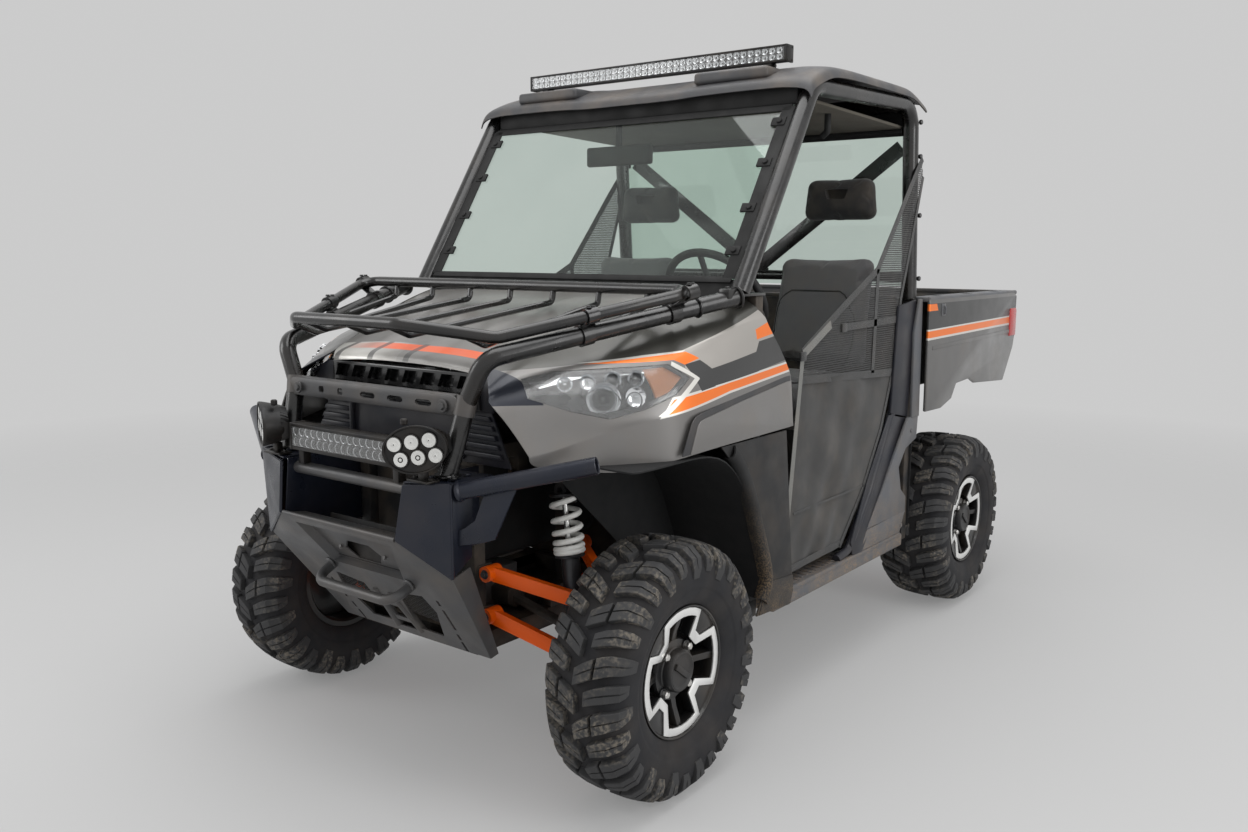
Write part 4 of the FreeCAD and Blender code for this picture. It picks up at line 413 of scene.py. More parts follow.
def painted(name, colour, rough, metal=0.0, cloud=0.12, grain=700, depth=0.05, wear=0.0, dust=0.0,
            low_dust=None, **sockets):
    """Paint, powder coat or moulded plastic with clouds, grain, worn edges and dust."""
    made = Finish(name, rough, metal, **sockets)
    base = made.mix(made.noise(5, 4), shade(colour, 1 - cloud), shade(colour, 1 + cloud, 0.002))
    if wear:
        edge = made.span(made.node("ShaderNodeNewGeometry").outputs["Pointiness"], 0.54, 0.62)
        spots = made.times(edge, made.span(made.noise(60, 3), 0.45, 0.62))
        base = made.mix(made.times(spots, wear), base, shade(colour, 2.2, 0.06))
    if dust:
        film = made.times(made.span(made.noise(9, 6), 0.42, 0.75), dust)
        base = made.mix(film, base, DUST)
    if low_dust:
        height, amount = low_dust
        share = made.span(made.axis("Z"), height, height * 0.35)
        speckle = made.times(made.span(made.noise(210, 7), 0.42, 0.60),
                             made.span(made.noise(16, 5), 0.3, 0.6))
        base = made.mix(made.times(made.times(share, speckle), amount), base, MUD)
    made.colour(base)
    made.rough(made.span(made.noise(14, 5), 0.3, 0.7, max(0.02, rough - 0.07), min(1, rough + 0.09)))
    made.bump(made.noise(grain, 3), depth)
    return made


print("finishes can be mixed")

# %% [markdown]
# ## The studio
# The camera stands where the photographer stood.  The floor is one big disc that fades into
# the same grey as the world, so no horizon shows from any side and the shadow stays.  One wide
# panel of light above and two at the sides give the long soft streaks on paint and tubes.

# %% Camera
CAMERA_SPOT = Vector((2.24098, -3.22504, 1.42171))
CAMERA_TURN = math.radians(37.58)
CAMERA_DROP = math.radians(8.789)
CAMERA_ROLL = math.radians(0.207)
CAMERA_LENS = 30.5

bpy.ops.object.select_all(action="DESELECT")
bpy.ops.object.camera_add(location=CAMERA_SPOT)
camera = bpy.context.object
camera.name = "camera"
camera.data.lens = CAMERA_LENS
camera.data.sensor_width = 36
back = Vector((math.sin(CAMERA_TURN) * math.cos(CAMERA_DROP),
               -math.cos(CAMERA_TURN) * math.cos(CAMERA_DROP), math.sin(CAMERA_DROP)))
across = Vector((0, 0, 1)).cross(back).normalized()
upward = back.cross(across)
right = across * math.cos(CAMERA_ROLL) + upward * math.sin(CAMERA_ROLL)
upward = back.cross(right)
camera.matrix_world = Matrix.Translation(CAMERA_SPOT) @ Matrix((right, upward, back)).transposed().to_4x4()
bpy.context.scene.camera = camera
bpy.context.scene.view_settings.view_transform = "Standard"
print("camera", [round(v, 3) for v in camera.location])

# %% World and floor
BACKDROP = (0.60, 0.60, 0.60, 1.0)
FLOOR_COLOUR = (0.35, 0.35, 0.35, 1.0)
FLOOR_GLOW = 0.185
WORLD_LIGHT = 0.78

world = bpy.data.worlds.new("studio")
bpy.context.scene.world = world
world.use_nodes = True
nodes, links = world.node_tree.nodes, world.node_tree.links
nodes.clear()
rays = nodes.new("ShaderNodeLightPath")
seen = nodes.new("ShaderNodeMath")
seen.operation = "MAXIMUM"
links.new(rays.outputs["Is Camera Ray"], seen.inputs[0])
links.new(rays.outputs["Is Transmission Ray"], seen.inputs[1])
lit = nodes.new("ShaderNodeBackground")
lit.inputs["Color"].default_value = (1.0, 1.0, 1.0, 1.0)
lit.inputs["Strength"].default_value = WORLD_LIGHT
shown = nodes.new("ShaderNodeBackground")
shown.inputs["Color"].default_value = BACKDROP
shown.inputs["Strength"].default_value = 1.0
chosen = nodes.new("ShaderNodeMixShader")
links.new(seen.outputs[0], chosen.inputs[0])
links.new(lit.outputs[0], chosen.inputs[1])
links.new(shown.outputs[0], chosen.inputs[2])
links.new(chosen.outputs[0], nodes.new("ShaderNodeOutputWorld").inputs[0])

bpy.ops.object.select_all(action="DESELECT")
bpy.ops.mesh.primitive_circle_add(vertices=96, radius=14, fill_type="NGON", location=(0, 0, 0))
floor = settle(named("studio_floor"))
paper = Finish("floor_paper", 0.95)
paper.colour(FLOOR_COLOUR)
paper.shader.inputs["Emission Color"].default_value = (1.0, 1.0, 1.0, 1.0)
paper.shader.inputs["Emission Strength"].default_value = FLOOR_GLOW
paper.shader.inputs["Specular IOR Level"].default_value = 0.0
reach = paper.node("ShaderNodeVectorMath", {0: paper.where}, operation="LENGTH").outputs["Value"]
fade = paper.span(reach, 3.0, 7.0, 1.0, 0.0)
paper.tree.links.new(fade, paper.shader.inputs["Alpha"])
floor.data.materials.append(paper.mat)


def panel_light(name, spot, target, size, power):
    """A soft rectangular light that looks at a target."""
    bpy.ops.object.light_add(type="AREA", location=spot)
    light = bpy.context.object
    light.name = name
    light.data.shape = "RECTANGLE"
    light.data.size, light.data.size_y = size
    light.data.energy = power
    aim = Vector(target) - Vector(spot)
    light.rotation_euler = aim.to_track_quat("-Z", "Y").to_euler()
    return light


panel_light("top_panel", (0.3, -0.4, 4.6), (0, 0, 0.6), (3.6, 4.2), 120)
panel_light("left_panel", (-3.8, -4.2, 3.0), (0, 0, 0.8), (2.2, 2.6), 60)
panel_light("right_panel", (5.2, -0.6, 2.6), (0.5, 0, 0.8), (1.8, 3.4), 75)
print("studio lit")

# %% [markdown]
# ## Tyres
# A real tyre is moulded rubber: a smooth carcass with tall lugs that meet in a chevron and run
# down over the shoulder.  The carcass is one section spun about the axle.  Three kinds of lug
# (crown, outer and short) are lofted along the carcass, then copied round the tyre.

# %% Rubber
rubber = painted("tyre_rubber", tint(52, 52, 53), 0.74, cloud=0.3, grain=420, depth=0.45)
dirt = rubber.times(rubber.span(rubber.noise(9, 5), 0.46, 0.62),
                    rubber.span(rubber.noise(95, 9), 0.44, 0.62))
base = rubber.shader.inputs["Base Color"].links[0].from_socket
rubber.colour(rubber.mix(rubber.times(dirt, 0.62), base, tint(128, 120, 108)))
# The carcass is the same rubber as the lugs, made darker and bluer as painted shade in the tread gaps and on
# the sidewall
carcass_rubber = painted("carcass_rubber", tint(30, 30, 33), 0.8, cloud=0.3, grain=420, depth=0.3,
                         dust=0.08)
TYRE_RADIUS = 343.0
RIM_SEAT = 178.0
TREAD_PITCHES = 15
# Share of the width and depth below the tread, from the crown to the bead
TYRE_LINE = [(0, 18), (0.16, 18.6), (0.28, 21), (0.37, 26), (0.43, 36), (0.465, 52), (0.483, 72),
             (0.487, 92), (0.478, 112), (0.472, 118), (0.466, 120), (0.462, 126), (0.44, 142), (0.415, 154),
             (0.395, 160), (0.37, 165)]


def along_line(line, reach):
    """The point and the outward normal at a distance along a line."""
    for (x0, r0), (x1, r1) in zip(line, line[1:]):
        run = math.hypot(x1 - x0, r1 - r0)
        if reach <= run:
            share = reach / run
            return x0 + (x1 - x0) * share, r0 + (r1 - r0) * share, (r0 - r1) / run, (x1 - x0) / run
        reach -= run
    return line[-1] + (1, 0)


def lug(name, line, centre, stations, side):
    """One lug, lofted through stations of reach, shift round the tyre, width, height and groove."""
    rings = []
    for reach, shift, wide, tall, groove in stations:
        x, r, out_x, out_r = along_line(line, reach)
        half = wide / 2
        section = [(-half - 2, -4), (-half, tall - 1.2), (-half + 1.5, tall), (-2.2, tall),
                   (-1.6, tall - groove), (1.6, tall - groove), (2.2, tall), (half - 1.5, tall),
                   (half, tall - 1.2), (half + 2, -4)]
        ring = []
        for v, rise in section:
            radius = r + out_r * rise
            angle = (shift + v) / TYRE_RADIUS
            ring.append((centre[0] + side * (x + out_x * rise), centre[1] + radius * math.sin(angle),
                         centre[2] + radius * math.cos(angle)))
        rings.append(ring)
    return hull(name, rings)


def tyre(name, centre, width):
    line = [(share * width, TYRE_RADIUS - depth) for share, depth in TYRE_LINE]
    bead = line[-1][0] - 12
    section = line + [(bead, RIM_SEAT), (-bead, RIM_SEAT)] + [(-x, r) for x, r in reversed(line[1:])]
    carcass = turned(name, section, centre, (1, 0, 0), 72)
    pieces = []
    shoulder = width * 0.37
    crown_block = [(-4, -34, 42, 17, 0), (-2, -33, 43, 18, 0), (width * 0.08, -20, 48, 18, 5),
                   (width * 0.185, -6, 50, 18, 5), (width * 0.19, -6, 49, 16, 0)]
    outer_block = [(width * 0.225, -2, 51, 16, 0), (width * 0.23, -2, 52, 18, 5),
                   (width * 0.30, 6, 52, 18, 6), (shoulder, 12, 50, 18, 6), (shoulder + 24, 17, 47, 15, 4),
                   (shoulder + 50, 20, 42, 9, 0), (shoulder + 74, 22, 34, 3, 0)]
    short_block = [(width * 0.13, 62, 34, 16, 0), (width * 0.14, 62, 36, 18, 0),
                   (width * 0.25, 74, 40, 18, 5), (shoulder, 84, 42, 18, 6), (shoulder + 24, 89, 42, 14, 4),
                   (shoulder + 44, 92, 37, 8, 0), (shoulder + 58, 94, 30, 2, 0)]
    step = 2 * math.pi / TREAD_PITCHES
    middle = place(*centre)
    for side, offset in ((1, 0.0), (-1, 0.5)):
        for kind, stations in (("crown", crown_block), ("outer", outer_block), ("short", short_block)):
            master = lug(kind, line, centre, stations, side)
            for k in range(TREAD_PITCHES):
                turn = Matrix.Rotation(-step * (k + offset), 4, "X")
                pieces.append(moved(copied(master, "lug"),
                                    Matrix.Translation(middle) @ turn @ Matrix.Translation(-middle)))
            bpy.data.objects.remove(master)
    return carcass, joined(name + "_lugs", pieces)


def mirrored_copy(obj, name):
    twin = moved(copied(obj, name), Matrix.Scale(-1, 4, (1, 0, 0)))
    return clean(twin)


def dress(obj, finish, body="chassis", nodes=(), angle=35):
    """Give a finished piece its material and its place in the vehicle."""
    obj.data.materials.clear()
    obj.data.materials.append(finish.mat)
    if angle:
        only(obj)
        bpy.ops.object.shade_smooth_by_angle(angle=math.radians(angle))
    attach(obj, body)
    if nodes:
        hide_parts(*nodes)
    return obj


WHEELS = (("front", (678.0, 0.0, 343.0), 235.0, 89.0), ("rear", (656.0, WHEELBASE, 343.0), 279.0, 112.0))
for row, centre, width, face in WHEELS:
    for left, finish in zip(tyre("tyre_%s_left_rubber" % row, centre, width), (carcass_rubber, rubber)):
        right = mirrored_copy(left, left.name.replace("left", "right"))
        for side, obj in (("left", left), ("right", right)):
            dress(obj, finish, "wheel_%s_%s" % (row, side), ["tyre_%s_%s" % (row, side)], 30)
        print(left.name, "faces:", len(left.data.polygons))

# %% [markdown]
# ## Wheels
# A cast alloy wheel is painted black, then its front edge is turned bright on a lathe.  The
# bright band runs round the rim and dips towards the hub at four forks, so it is one strip of
# paired points.  Barrel, cap and nuts are turned, and a thin spoke stands in each window.

# %% Wheel finishes
rim_paint = painted("rim_black", tint(22, 22, 23), 0.38, grain=300, depth=0.08, dust=0.16, coat_weight=0.3)
rim_bright = painted("rim_machined", tint(240, 240, 238), 0.36, metal=0.75, cloud=0.05, grain=1600,
                     depth=0.03)
cap_plastic = painted("cap_plastic", tint(36, 36, 37), 0.42, grain=500, depth=0.1, dust=0.1)
nut_steel = painted("nut_steel", tint(214, 212, 208), 0.25, metal=0.9, cloud=0.06)
FORKS = 4
FORK_OUTER = math.radians(15.5)
FORK_INNER = math.radians(20.5)
BAND_SHARE = 0.875
NOTCH_SHARE = 0.68
PATCH_SHARE = 0.54
FACE_RADIUS = 169.0
CAP_SHARE = 0.34
NUT_SHARE = 0.425
CAP_TURN = math.radians(-38)


def rim_strip(inset):
    """The bright band's outer and inner line as (radius share, angle, dish) pairs, once round."""
    outer, inner = [], []
    for k in range(FORKS):
        fork = 2 * math.pi * (k + 0.5) / FORKS
        end = 2 * math.pi / FORKS - 2 * FORK_OUTER
        inner_end = 2 * math.pi / FORKS - 2 * FORK_INNER
        for t in (0, 1 / 6, 1 / 3, 1 / 2, 2 / 3, 5 / 6, 1):
            outer.append((1 - inset, fork + FORK_OUTER + end * t, 0))
            inner.append((BAND_SHARE + inset, fork + FORK_INNER + inner_end * t, 0))
        after = fork + 2 * math.pi / FORKS
        for sign in (-1, 1):
            outer.append((NOTCH_SHARE - inset, after + sign * 0.125, 9))
            inner.append((PATCH_SHARE + inset, after + sign * 0.235, 14))
    return outer, inner


def polar(centre, x, share, angle):
    radius = share * FACE_RADIUS
    return (centre[0] + x, centre[1] + radius * math.sin(angle), centre[2] + radius * math.cos(angle))


def rim_band(name, centre, x, wall, inset):
    rows = []
    for line in rim_strip(inset):
        row = [polar(centre, x - dish, share, angle) for share, angle, dish in line]
        rows.append(row + row[:1])
    return soften(walled(clean(sheet_of(name, rows)), wall), 1.0, 2, 40)


def rim(row, centre, width, face):
    bright = rim_band("bright", centre, face, 5, 0.0)
    body = rim_band("body", centre, face - 5.2, 30, 0.012)
    low = -width * 0.35
    barrel = turned("barrel",
                    [(low, 160), (low, 176), (low + 6, 177.5), (low + 14, 171), (-10, 158), (30, 158),
                     (face - 26, 168), (face - 14, 176), (face - 2, 177.5), (face + 3, 176),
                     (face + 3, 172), (face - 3, 169.5), (face - 12, 166), (face - 30, 160), (20, 152),
                     (low + 10, 152)], centre, (1, 0, 0), 64)
    dark = [body, barrel]
    for k in range(FORKS):
        fork = 2 * math.pi * (k + 0.5) / FORKS
        pad = [polar(centre, face - 4, 1.0, fork + FORK_OUTER * t) for t in (-0.97, -0.5, 0, 0.5, 0.97)]
        pad += [polar(centre, face - 13, NOTCH_SHARE + 0.01, fork + 0.12),
                polar(centre, face - 13, NOTCH_SHARE + 0.01, fork - 0.12)]
        dark.append(plate("pad", pad, (-24, 0, 0), 1.5))
        spoke = 2 * math.pi * k / FORKS
        rings = []
        for share, half, front, deep in ((0.36, 0.105, 34, 62), (0.6, 0.085, 26, 52), (0.9, 0.09, 8, 40)):
            out = Vector((0, math.sin(spoke), math.cos(spoke)))
            side = Vector((0, math.cos(spoke), -math.sin(spoke)))
            ring = []
            for x, t in ((face - front, 0.62), (face - deep, 1.0), (face - deep, -1.0),
                         (face - front, -0.62)):
                ring.append(Vector(centre) + Vector((x, 0, 0)) + out * (share * FACE_RADIUS)
                            + side * (t * half * FACE_RADIUS))
            rings.append(ring)
        dark.append(hull("spoke", rings, 1.5))
    hub = turned("hub", [(face - 74, 0), (face - 74, 78), (face - 38, 84), (face - 30, 80), (face - 28, 60),
                         (face - 24, 56), (face - 24, 0)], centre, (1, 0, 0), 40)
    drum = turned("drum",
                  [(face - 92, 0), (face - 92, 150), (face - 84, 152), (face - 80, 100), (face - 76, 60),
                   (face - 76, 0)], centre, (1, 0, 0), 40)
    dark += [hub, drum]
    cap_r = CAP_SHARE * FACE_RADIUS
    cap = turned("cap",
                 [(face - 26, 0), (face - 26, cap_r), (face - 8, cap_r - 1), (face - 2, cap_r - 5),
                  (face - 1, cap_r - 9), (face - 5, cap_r - 15), (face - 6, cap_r - 22), (face - 5, 0)],
                 centre, (1, 0, 0), 40)
    bar = block("bar", (-7, 3), (-34, 34), (-8, 8), 2.5)
    moved(bar, Matrix.Translation(place(centre[0] + face - 2, centre[1], centre[2]))
          @ Matrix.Rotation(CAP_TURN, 4, "X") @ Matrix.Translation(-place(0, 0, 0)))
    cap = joined("cap", [cap, bar])
    nuts = []
    for k in range(FORKS):
        spot = polar(centre, face - 30, NUT_SHARE, 2 * math.pi * (k + 0.5) / FORKS)
        nuts.append(disc("nut", spot, (1, 0, 0), 10.5, 20, 3, 6))
        dark.append(disc("seat", (spot[0] - 2, spot[1], spot[2]), (1, 0, 0), 16, 8, 1.5, 20))
    parts = {"bright": (bright, rim_bright), "dark": (joined("dark", dark), rim_paint),
             "cap": (cap, cap_plastic), "nuts": (joined("nuts", nuts), nut_steel)}
    for kind, (obj, finish) in parts.items():
        for side in ("left", "right"):
            name = "rim_%s_%s_%s" % (row, side, kind)
            piece = mirrored_copy(obj, name) if side == "right" else copied(obj, name)
            dress(piece, finish, "wheel_%s_%s" % (row, side), ["rim_%s_%s" % (row, side)],
                  32)
        bpy.data.objects.remove(obj)


for row, centre, width, face in WHEELS:
    rim(row, centre, width, face)
print("wheels dressed")

# %% [markdown]
# ## Cage and cab
# The cage is steel tube, bent on a former, welded and powder coated black.  Each tube is a
# path with rounded corners and a round section, so the bends stay as wide as the bender's die.
# The seat bar, the two braces and the foot plates are welded to it.

# %% Cage
tube_black = painted("frame_black", tint(17, 17, 18), 0.28, grain=900, depth=0.04, wear=0.2, dust=0.05,
                     coat_weight=0.25)
matt_black = painted("matt_black", tint(23, 23, 24), 0.6, grain=620, depth=0.12, dust=0.12)


def rear_post_y(z):
    return 1625 - 55 * (z - 1258) / 692


cage = []
for side in (1, -1):
    x = 660 * side
    cage += [
        rod("side", [(x, 420, 1308), (x, 815, 1925), (x, 1570, 1950), (x, 1625, 1258)], 28, 90, 20),
        block("foot", (640 * side, 688 * side), (377, 517), (1300.5, 1308), 1.5),
        block("foot", (617 * side, 688 * side), (1598, 1652), (1250.5, 1258), 1.5),
        plate("brace", [(side * 630, 1614, 1786), (side * 594, 1614, 1830), (side * -54, 1630, 1359),
                        (side * -18, 1630, 1315)], (0, 8, 0), 2)]
    for z in (1330, 1560, 1770, 1890):
        cage.append(disc("knob", (x + side * 24, rear_post_y(z) + 20, z), (side, 0, 0.0), 9, 11, 2, 12))
for y, z, radius in ((843, 1925, 28), (1542, 1950, 28), (rear_post_y(1345) + 2, 1335, 19)):
    cage.append(rod("cross", [(-655, y, z), (655, y, z)], radius, 0, 16))
cage.append(bolts("brace_bolts", [(s * x, 1622, z) for s in (1, -1) for x, z in ((600, 1800), (300, 1580))],
                  (0, 1, 0)))
dress(joined("cage_tubes", cage), tube_black, nodes=["cab_cage"])
print("cage tubes and braces done")

# %% [markdown]
# ## Roof, mirror and light bar
# The roof is one rotational moulding: it rises quickly behind its visor, then runs flat with
# two shallow pads and turns down at the sides to shed water.  So it is a sheet of stations,
# smoothed, with a wall, and two bumps at the visor.  A felt lining and a rail close it from
# below.  The light bar is a finned extrusion with two rows of small reflectors.

# %% Roof
# Heavy dust on a lighter grey: real dust, and also a painted highlight that lightens the whole roof
roof_plastic = painted("roof_plastic", tint(60, 60, 62), 0.46, grain=1100, depth=0.14, dust=0.36)
ROOF_RISE = [(750, 0), (757, 0.22), (770, 0.36), (800, 0.52), (850, 0.74), (902, 0.92), (1000, 0.985),
             (1110, 1), (1300, 1.0), (1450, 1), (1515, 0.98), (1580, 0.78), (1630, 0.6), (1640, 0.55)]
ROOF_CROSS = [(-694, -36), (-690, -22), (-676, -3), (-640, 3), (-590, 8), (-560, 8), (-430, 9), (-240, 6),
              (-215, 1), (0, 1.5), (215, 1), (240, 6), (430, 9), (560, 8), (590, 8), (640, 3), (676, -3),
              (690, -22), (694, -36)]
rows = []
for y, rise in ROOF_RISE:
    row = []
    for x, lift in ROOF_CROSS:
        pad = 7 if 985 < y < 1520 and 220 < abs(x) < 570 else 0
        row.append((x, y, 1912 + 91 * rise + lift + pad))
    rows.append(row)
roof = skin("roof_skin", rows, 5, 2)
visor = [block("bump", xs, (775, 915), (1958, 1996), 12, 3) for xs in ((-525, -250), (250, 525))]
roof = joined("roof_skin", [roof] + visor)
dress(roof, roof_plastic, nodes=["roof"])
header = block("header", (-628, 628), (786, 812), (1872, 1931), 5, 3)
rubber_seal = painted("seal_rubber", tint(13, 13, 13), 0.72, grain=500, depth=0.1)
dress(header, rubber_seal)
lining = plate("lining", [(-628, 850, 1888), (628, 850, 1888), (628, 1578, 1868), (-628, 1578, 1868)],
               (0, 0, 12), 5, 2)
lining_felt = painted("lining_felt", tint(92, 88, 80), 0.95, cloud=0.3, grain=420, depth=0.8)
dress(lining, lining_felt)
handle = [plate("apron", [(-628, 1578, 1866), (628, 1578, 1866), (628, 1578, 1962), (-628, 1578, 1962)],
                (0, 5, 0), 1),
          rod("grip", [(560, 1120, 1886), (560, 1120, 1822), (540, 1120, 1808)], 11, 14, 12),
          rod("rear_rail", [(-632, 1580, 1860), (632, 1580, 1860)], 17, 0, 14)]
dress(joined("lining_rail", handle), rubber_seal)
mirror = joined("mirror_shell", [block("shell", (-245, 40), (832, 854), (1722, 1790), 9, 3),
                                 block("stem", (-112, -94), (834, 852), (1780, 1896), 3)])
dress(mirror, matt_black, nodes=["interior_mirror"])
print("roof and mirror done")

# %% Light bar on the roof
lamp_shell = painted("lamp_shell", tint(26, 26, 27), 0.42, metal=0.35, grain=800, depth=0.08, dust=0.12)
chrome = painted("reflector", tint(236, 238, 240), 0.12, metal=0.95, cloud=0.1, grain=90, depth=0.1)
lens_clear = painted("lens_clear", tint(246, 248, 248), 0.05, transmission_weight=0.92, ior=1.4)


FIN_WALL = 2.2


def fins(name, xs, y, zs, count):
    """Cooling fins along the back of a lamp: thin upright plates in a row."""
    step = (xs[1] - xs[0]) / (count - 1)
    master = block("fin", (xs[0] - FIN_WALL / 2, xs[0] + FIN_WALL / 2), y, zs, 0)
    row = [moved(copied(master, "fin"), Matrix.Translation((step * k * MM, 0, 0))) for k in range(count)]
    bpy.data.objects.remove(master)
    return joined(name, row)


def cups(spots, face, radius, depth, steps=14):
    """Reflector bowls, all like the first one, at spots that look along face."""
    first = turned("cup", [(0, radius), (-depth * 0.45, radius * 0.86), (-depth * 0.85, radius * 0.5),
                           (-depth, radius * 0.22), (-depth * 0.8, 0)], spots[0], face, steps)
    row = [first]
    for spot in spots[1:]:
        shift = place(*spot) - place(*spots[0])
        row.append(moved(copied(first, "cup"), Matrix.Translation(shift)))
    return row


bar_parts = [block("shell", (-541, 541), (871, 900), (2018, 2068), 3),
             block("lip", (-541, 541), (863, 873), (2062, 2069), 1.5),
             block("lip", (-541, 541), (863, 873), (2017, 2024), 1.5),
             fins("fins", (-520, 520), (898, 907), (2020, 2066), 66)]
for side in (1, -1):
    bar_parts.append(block("end", (side * 533, side * 543), (863, 907), (2016.5, 2069.5), 2))
    bar_parts += [disc("screw", (side * 542, y, z), (side, 0, 0), 3.6, 2.4, 0.5, 10)
                  for y in (870, 899) for z in (2023, 2063)]
    bar_parts += [
        block("foot", (side * 456, side * 484), (868, 902), (1996, 2020), 2),
        disc("foot_bolt", (side * 484, 885, 2010), (side, 0, 0), 7, 8, 1, 6)]
dress(joined("roof_bar_shell", bar_parts), lamp_shell, nodes=["roof_light_bar"])
spots = [(-515 + 1030 * k / 39, 866.5, z) for k in range(40) for z in (2033, 2053)]
dress(joined("roof_bar_cups", cups(spots, (0, -1, 0), 11, 9, 12)), chrome)
dress(block("roof_bar_lens", (-532, 532), (863.6, 865.4), (2024, 2062), 0), lens_clear,
      angle=0)
print("light bar done")

# %% [markdown]
# ## Glass
# The windscreen is a flat tinted pane in a rubber edge, held by quarter-turn clips.  The glass
# is one Principled shader with transmission and a pale green colour, slightly uneven in tint
# and roughness, so that it reads as a real pane and not as a hole.  A dark cowl strip closes the
# gap between its foot and the hood, and stands in for the shade at the windscreen's foot.

# %% Glass finish and panes
glass = Finish("glass_green", 0.02, transmission_weight=1.0, ior=1.45)
film = glass.span(glass.noise(3, 5), 0.35, 0.8)
glass.colour(glass.mix(film, tint(222, 236, 228), tint(214, 229, 221)))
glass.rough(glass.span(glass.noise(11, 6), 0.3, 0.85, 0.0, 0.05))
glass.bump(glass.noise(2.2, 2), 0.25)


PANE_OUT = (0, -0.843, 0.539)


def pane_point(x, along, out=0.0):
    """A place on the windscreen: along runs from its foot to its head."""
    y, z = 440 + 335 * along, 1339 + 524 * along
    return (x, y + PANE_OUT[1] * out, z + PANE_OUT[2] * out)


front = plate("windscreen_glass", [pane_point(-631, 0), pane_point(631, 0), pane_point(631, 1),
                                   pane_point(-631, 1)], Vector(PANE_OUT) * 6, 0)
dress(front, glass, nodes=["windscreen"], angle=0)
low_y, high_y = rear_post_y(1300) + 28.5, rear_post_y(1850) + 28.5
rear = plate("rear_glass",
             [(-672, low_y, 1300), (672, low_y, 1300), (672, high_y, 1850), (-672, high_y, 1850)],
             (0, 6, 0), 0)
dress(rear, glass, nodes=["rear_window"], angle=0)


def strip_between(name, a, b, half, thick):
    """A flat strip on the windscreen's plane."""
    corners = [pane_point(a[0] - half[0], a[1] - half[1], 6.2),
               pane_point(a[0] + half[0], a[1] - half[1], 6.2),
               pane_point(b[0] + half[0], b[1] + half[1], 6.2),
               pane_point(b[0] - half[0], b[1] + half[1], 6.2)]
    return plate(name, corners, Vector(PANE_OUT) * thick, 1.2)


trim = []
for side in (1, -1):
    trim.append(strip_between("seal", (side * 612, 0.01), (side * 612, 0.99), (22, 0), 4))
    for along in (0.16, 0.4, 0.66, 0.9):
        trim += [
            strip_between("clip", (side * 594, along), (side * 594, along), (24, 0.024), 7),
            disc("turn", pane_point(side * 598, along, 12), PANE_OUT, 9, 7, 2, 14)]
trim += [
    strip_between("seal", (0, 0.004), (0, 0.004), (622, 0.016), 4),
    strip_between("seal", (0, 0.985), (0, 0.985), (622, 0.02), 4)]
for x, z in ((-655, 1345), (655, 1345), (-655, 1805), (655, 1805), (655, 1575), (-655, 1575)):
    trim += [
        block("clamp", (x - 17, x + 17), (rear_post_y(z) + 29, rear_post_y(z) + 39), (z - 20, z + 20), 3),
        disc("turn", (x, rear_post_y(z) + 38, z), (0, 1, 0), 10, 9, 2, 14)]
# The cowl strip closes the gap, and its dark seal rubber stands in for the shade at the windscreen's foot
trim.append(plate("cowl", [(-631, 428, 1292), (631, 428, 1292), pane_point(631, 0.01, 3),
                           pane_point(-631, 0.01, 3)], (0, -4, 0), 0))
dress(joined("glass_trim", trim), rubber_seal)
print("glass in place")

# %% [markdown]
# ## Fenders and hood
# The cowl is injection moulded and painted a metallic grey, with printed film on it.  Its
# character is in three creases: the seam with the hood, the brow over the lamp and the fold
# that climbs from the nose.  Each station lists those lines, with a second point close beside
# a crease so that the smoothing keeps it tight.  The film's stripes are masks in the paint, and
# so are two dark areas on the top, which are painted shade and dark reflection.

# %% Body paint with film graphics and painted shade
BODY_GREY = tint(122, 120, 118)
FILM_LIGHT = tint(160, 156, 151)
FILM_DARK = tint(62, 62, 62)
FILM_ORANGE = tint(236, 118, 44)
SILVER = tint(208, 206, 200)
NAVY = tint(38, 41, 50)
# Not a film colour: painted shade and dark reflection on the fenders' top, which is the same grey paint
TOP_SHADE = tint(72, 71, 67)


def zone(made, corners):
    """A mask that is 1 inside a convex outline of (y, z) millimetres, taken clockwise."""
    y, z = made.axis("Y"), made.axis("Z")
    mask = None
    for (y0, z0), (y1, z1) in zip(corners, corners[1:] + corners[:1]):
        run = math.hypot(y1 - y0, z1 - z0)
        a, b = (z1 - z0) / run, -(y1 - y0) / run
        offset = -(a * (y0 + FRONT_AXLE_Y) + b * z0) * MM
        side = made.math("MULTIPLY_ADD", y, a, made.math("MULTIPLY_ADD", z, b, offset))
        step = made.times(side, 2500, clamp=True)
        mask = step if mask is None else made.math("MINIMUM", mask, step)
    return mask


# Lays the given areas on the paint: printed film, and in the fenders' list also painted shade
def film(made, base, areas):
    for colour, corners in areas:
        base = made.mix(zone(made, corners), base, colour)
    return base


def metallic(name, areas=(), colour=BODY_GREY, low_dust=0.0):
    """Metallic paint: flakes in the colour and the sheen, light dust, and given areas on top: print, and
    painted shade where a list has it.
    """
    made = Finish(name, 0.36, 0.55, coat_weight=0.35, coat_roughness=0.18)
    flakes = made.noise(1800, 2)
    base = made.mix(made.span(flakes, 0.35, 0.65), shade(colour, 0.82), colour)
    base = made.mix(made.times(made.span(made.noise(7, 6), 0.5, 0.8), 0.22), base, DUST)
    base = film(made, base, areas)
    if low_dust:
        share = made.span(made.axis("Z"), low_dust * 1.25, low_dust * 0.8)
        base = made.mix(made.times(share, made.span(made.noise(30, 7), 0.4, 0.66)), base, MUD)
    made.colour(base)
    made.rough(made.span(made.noise(10, 5), 0.3, 0.75, 0.3, 0.46))
    made.bump(made.noise(1500, 2), 0.025)
    return made


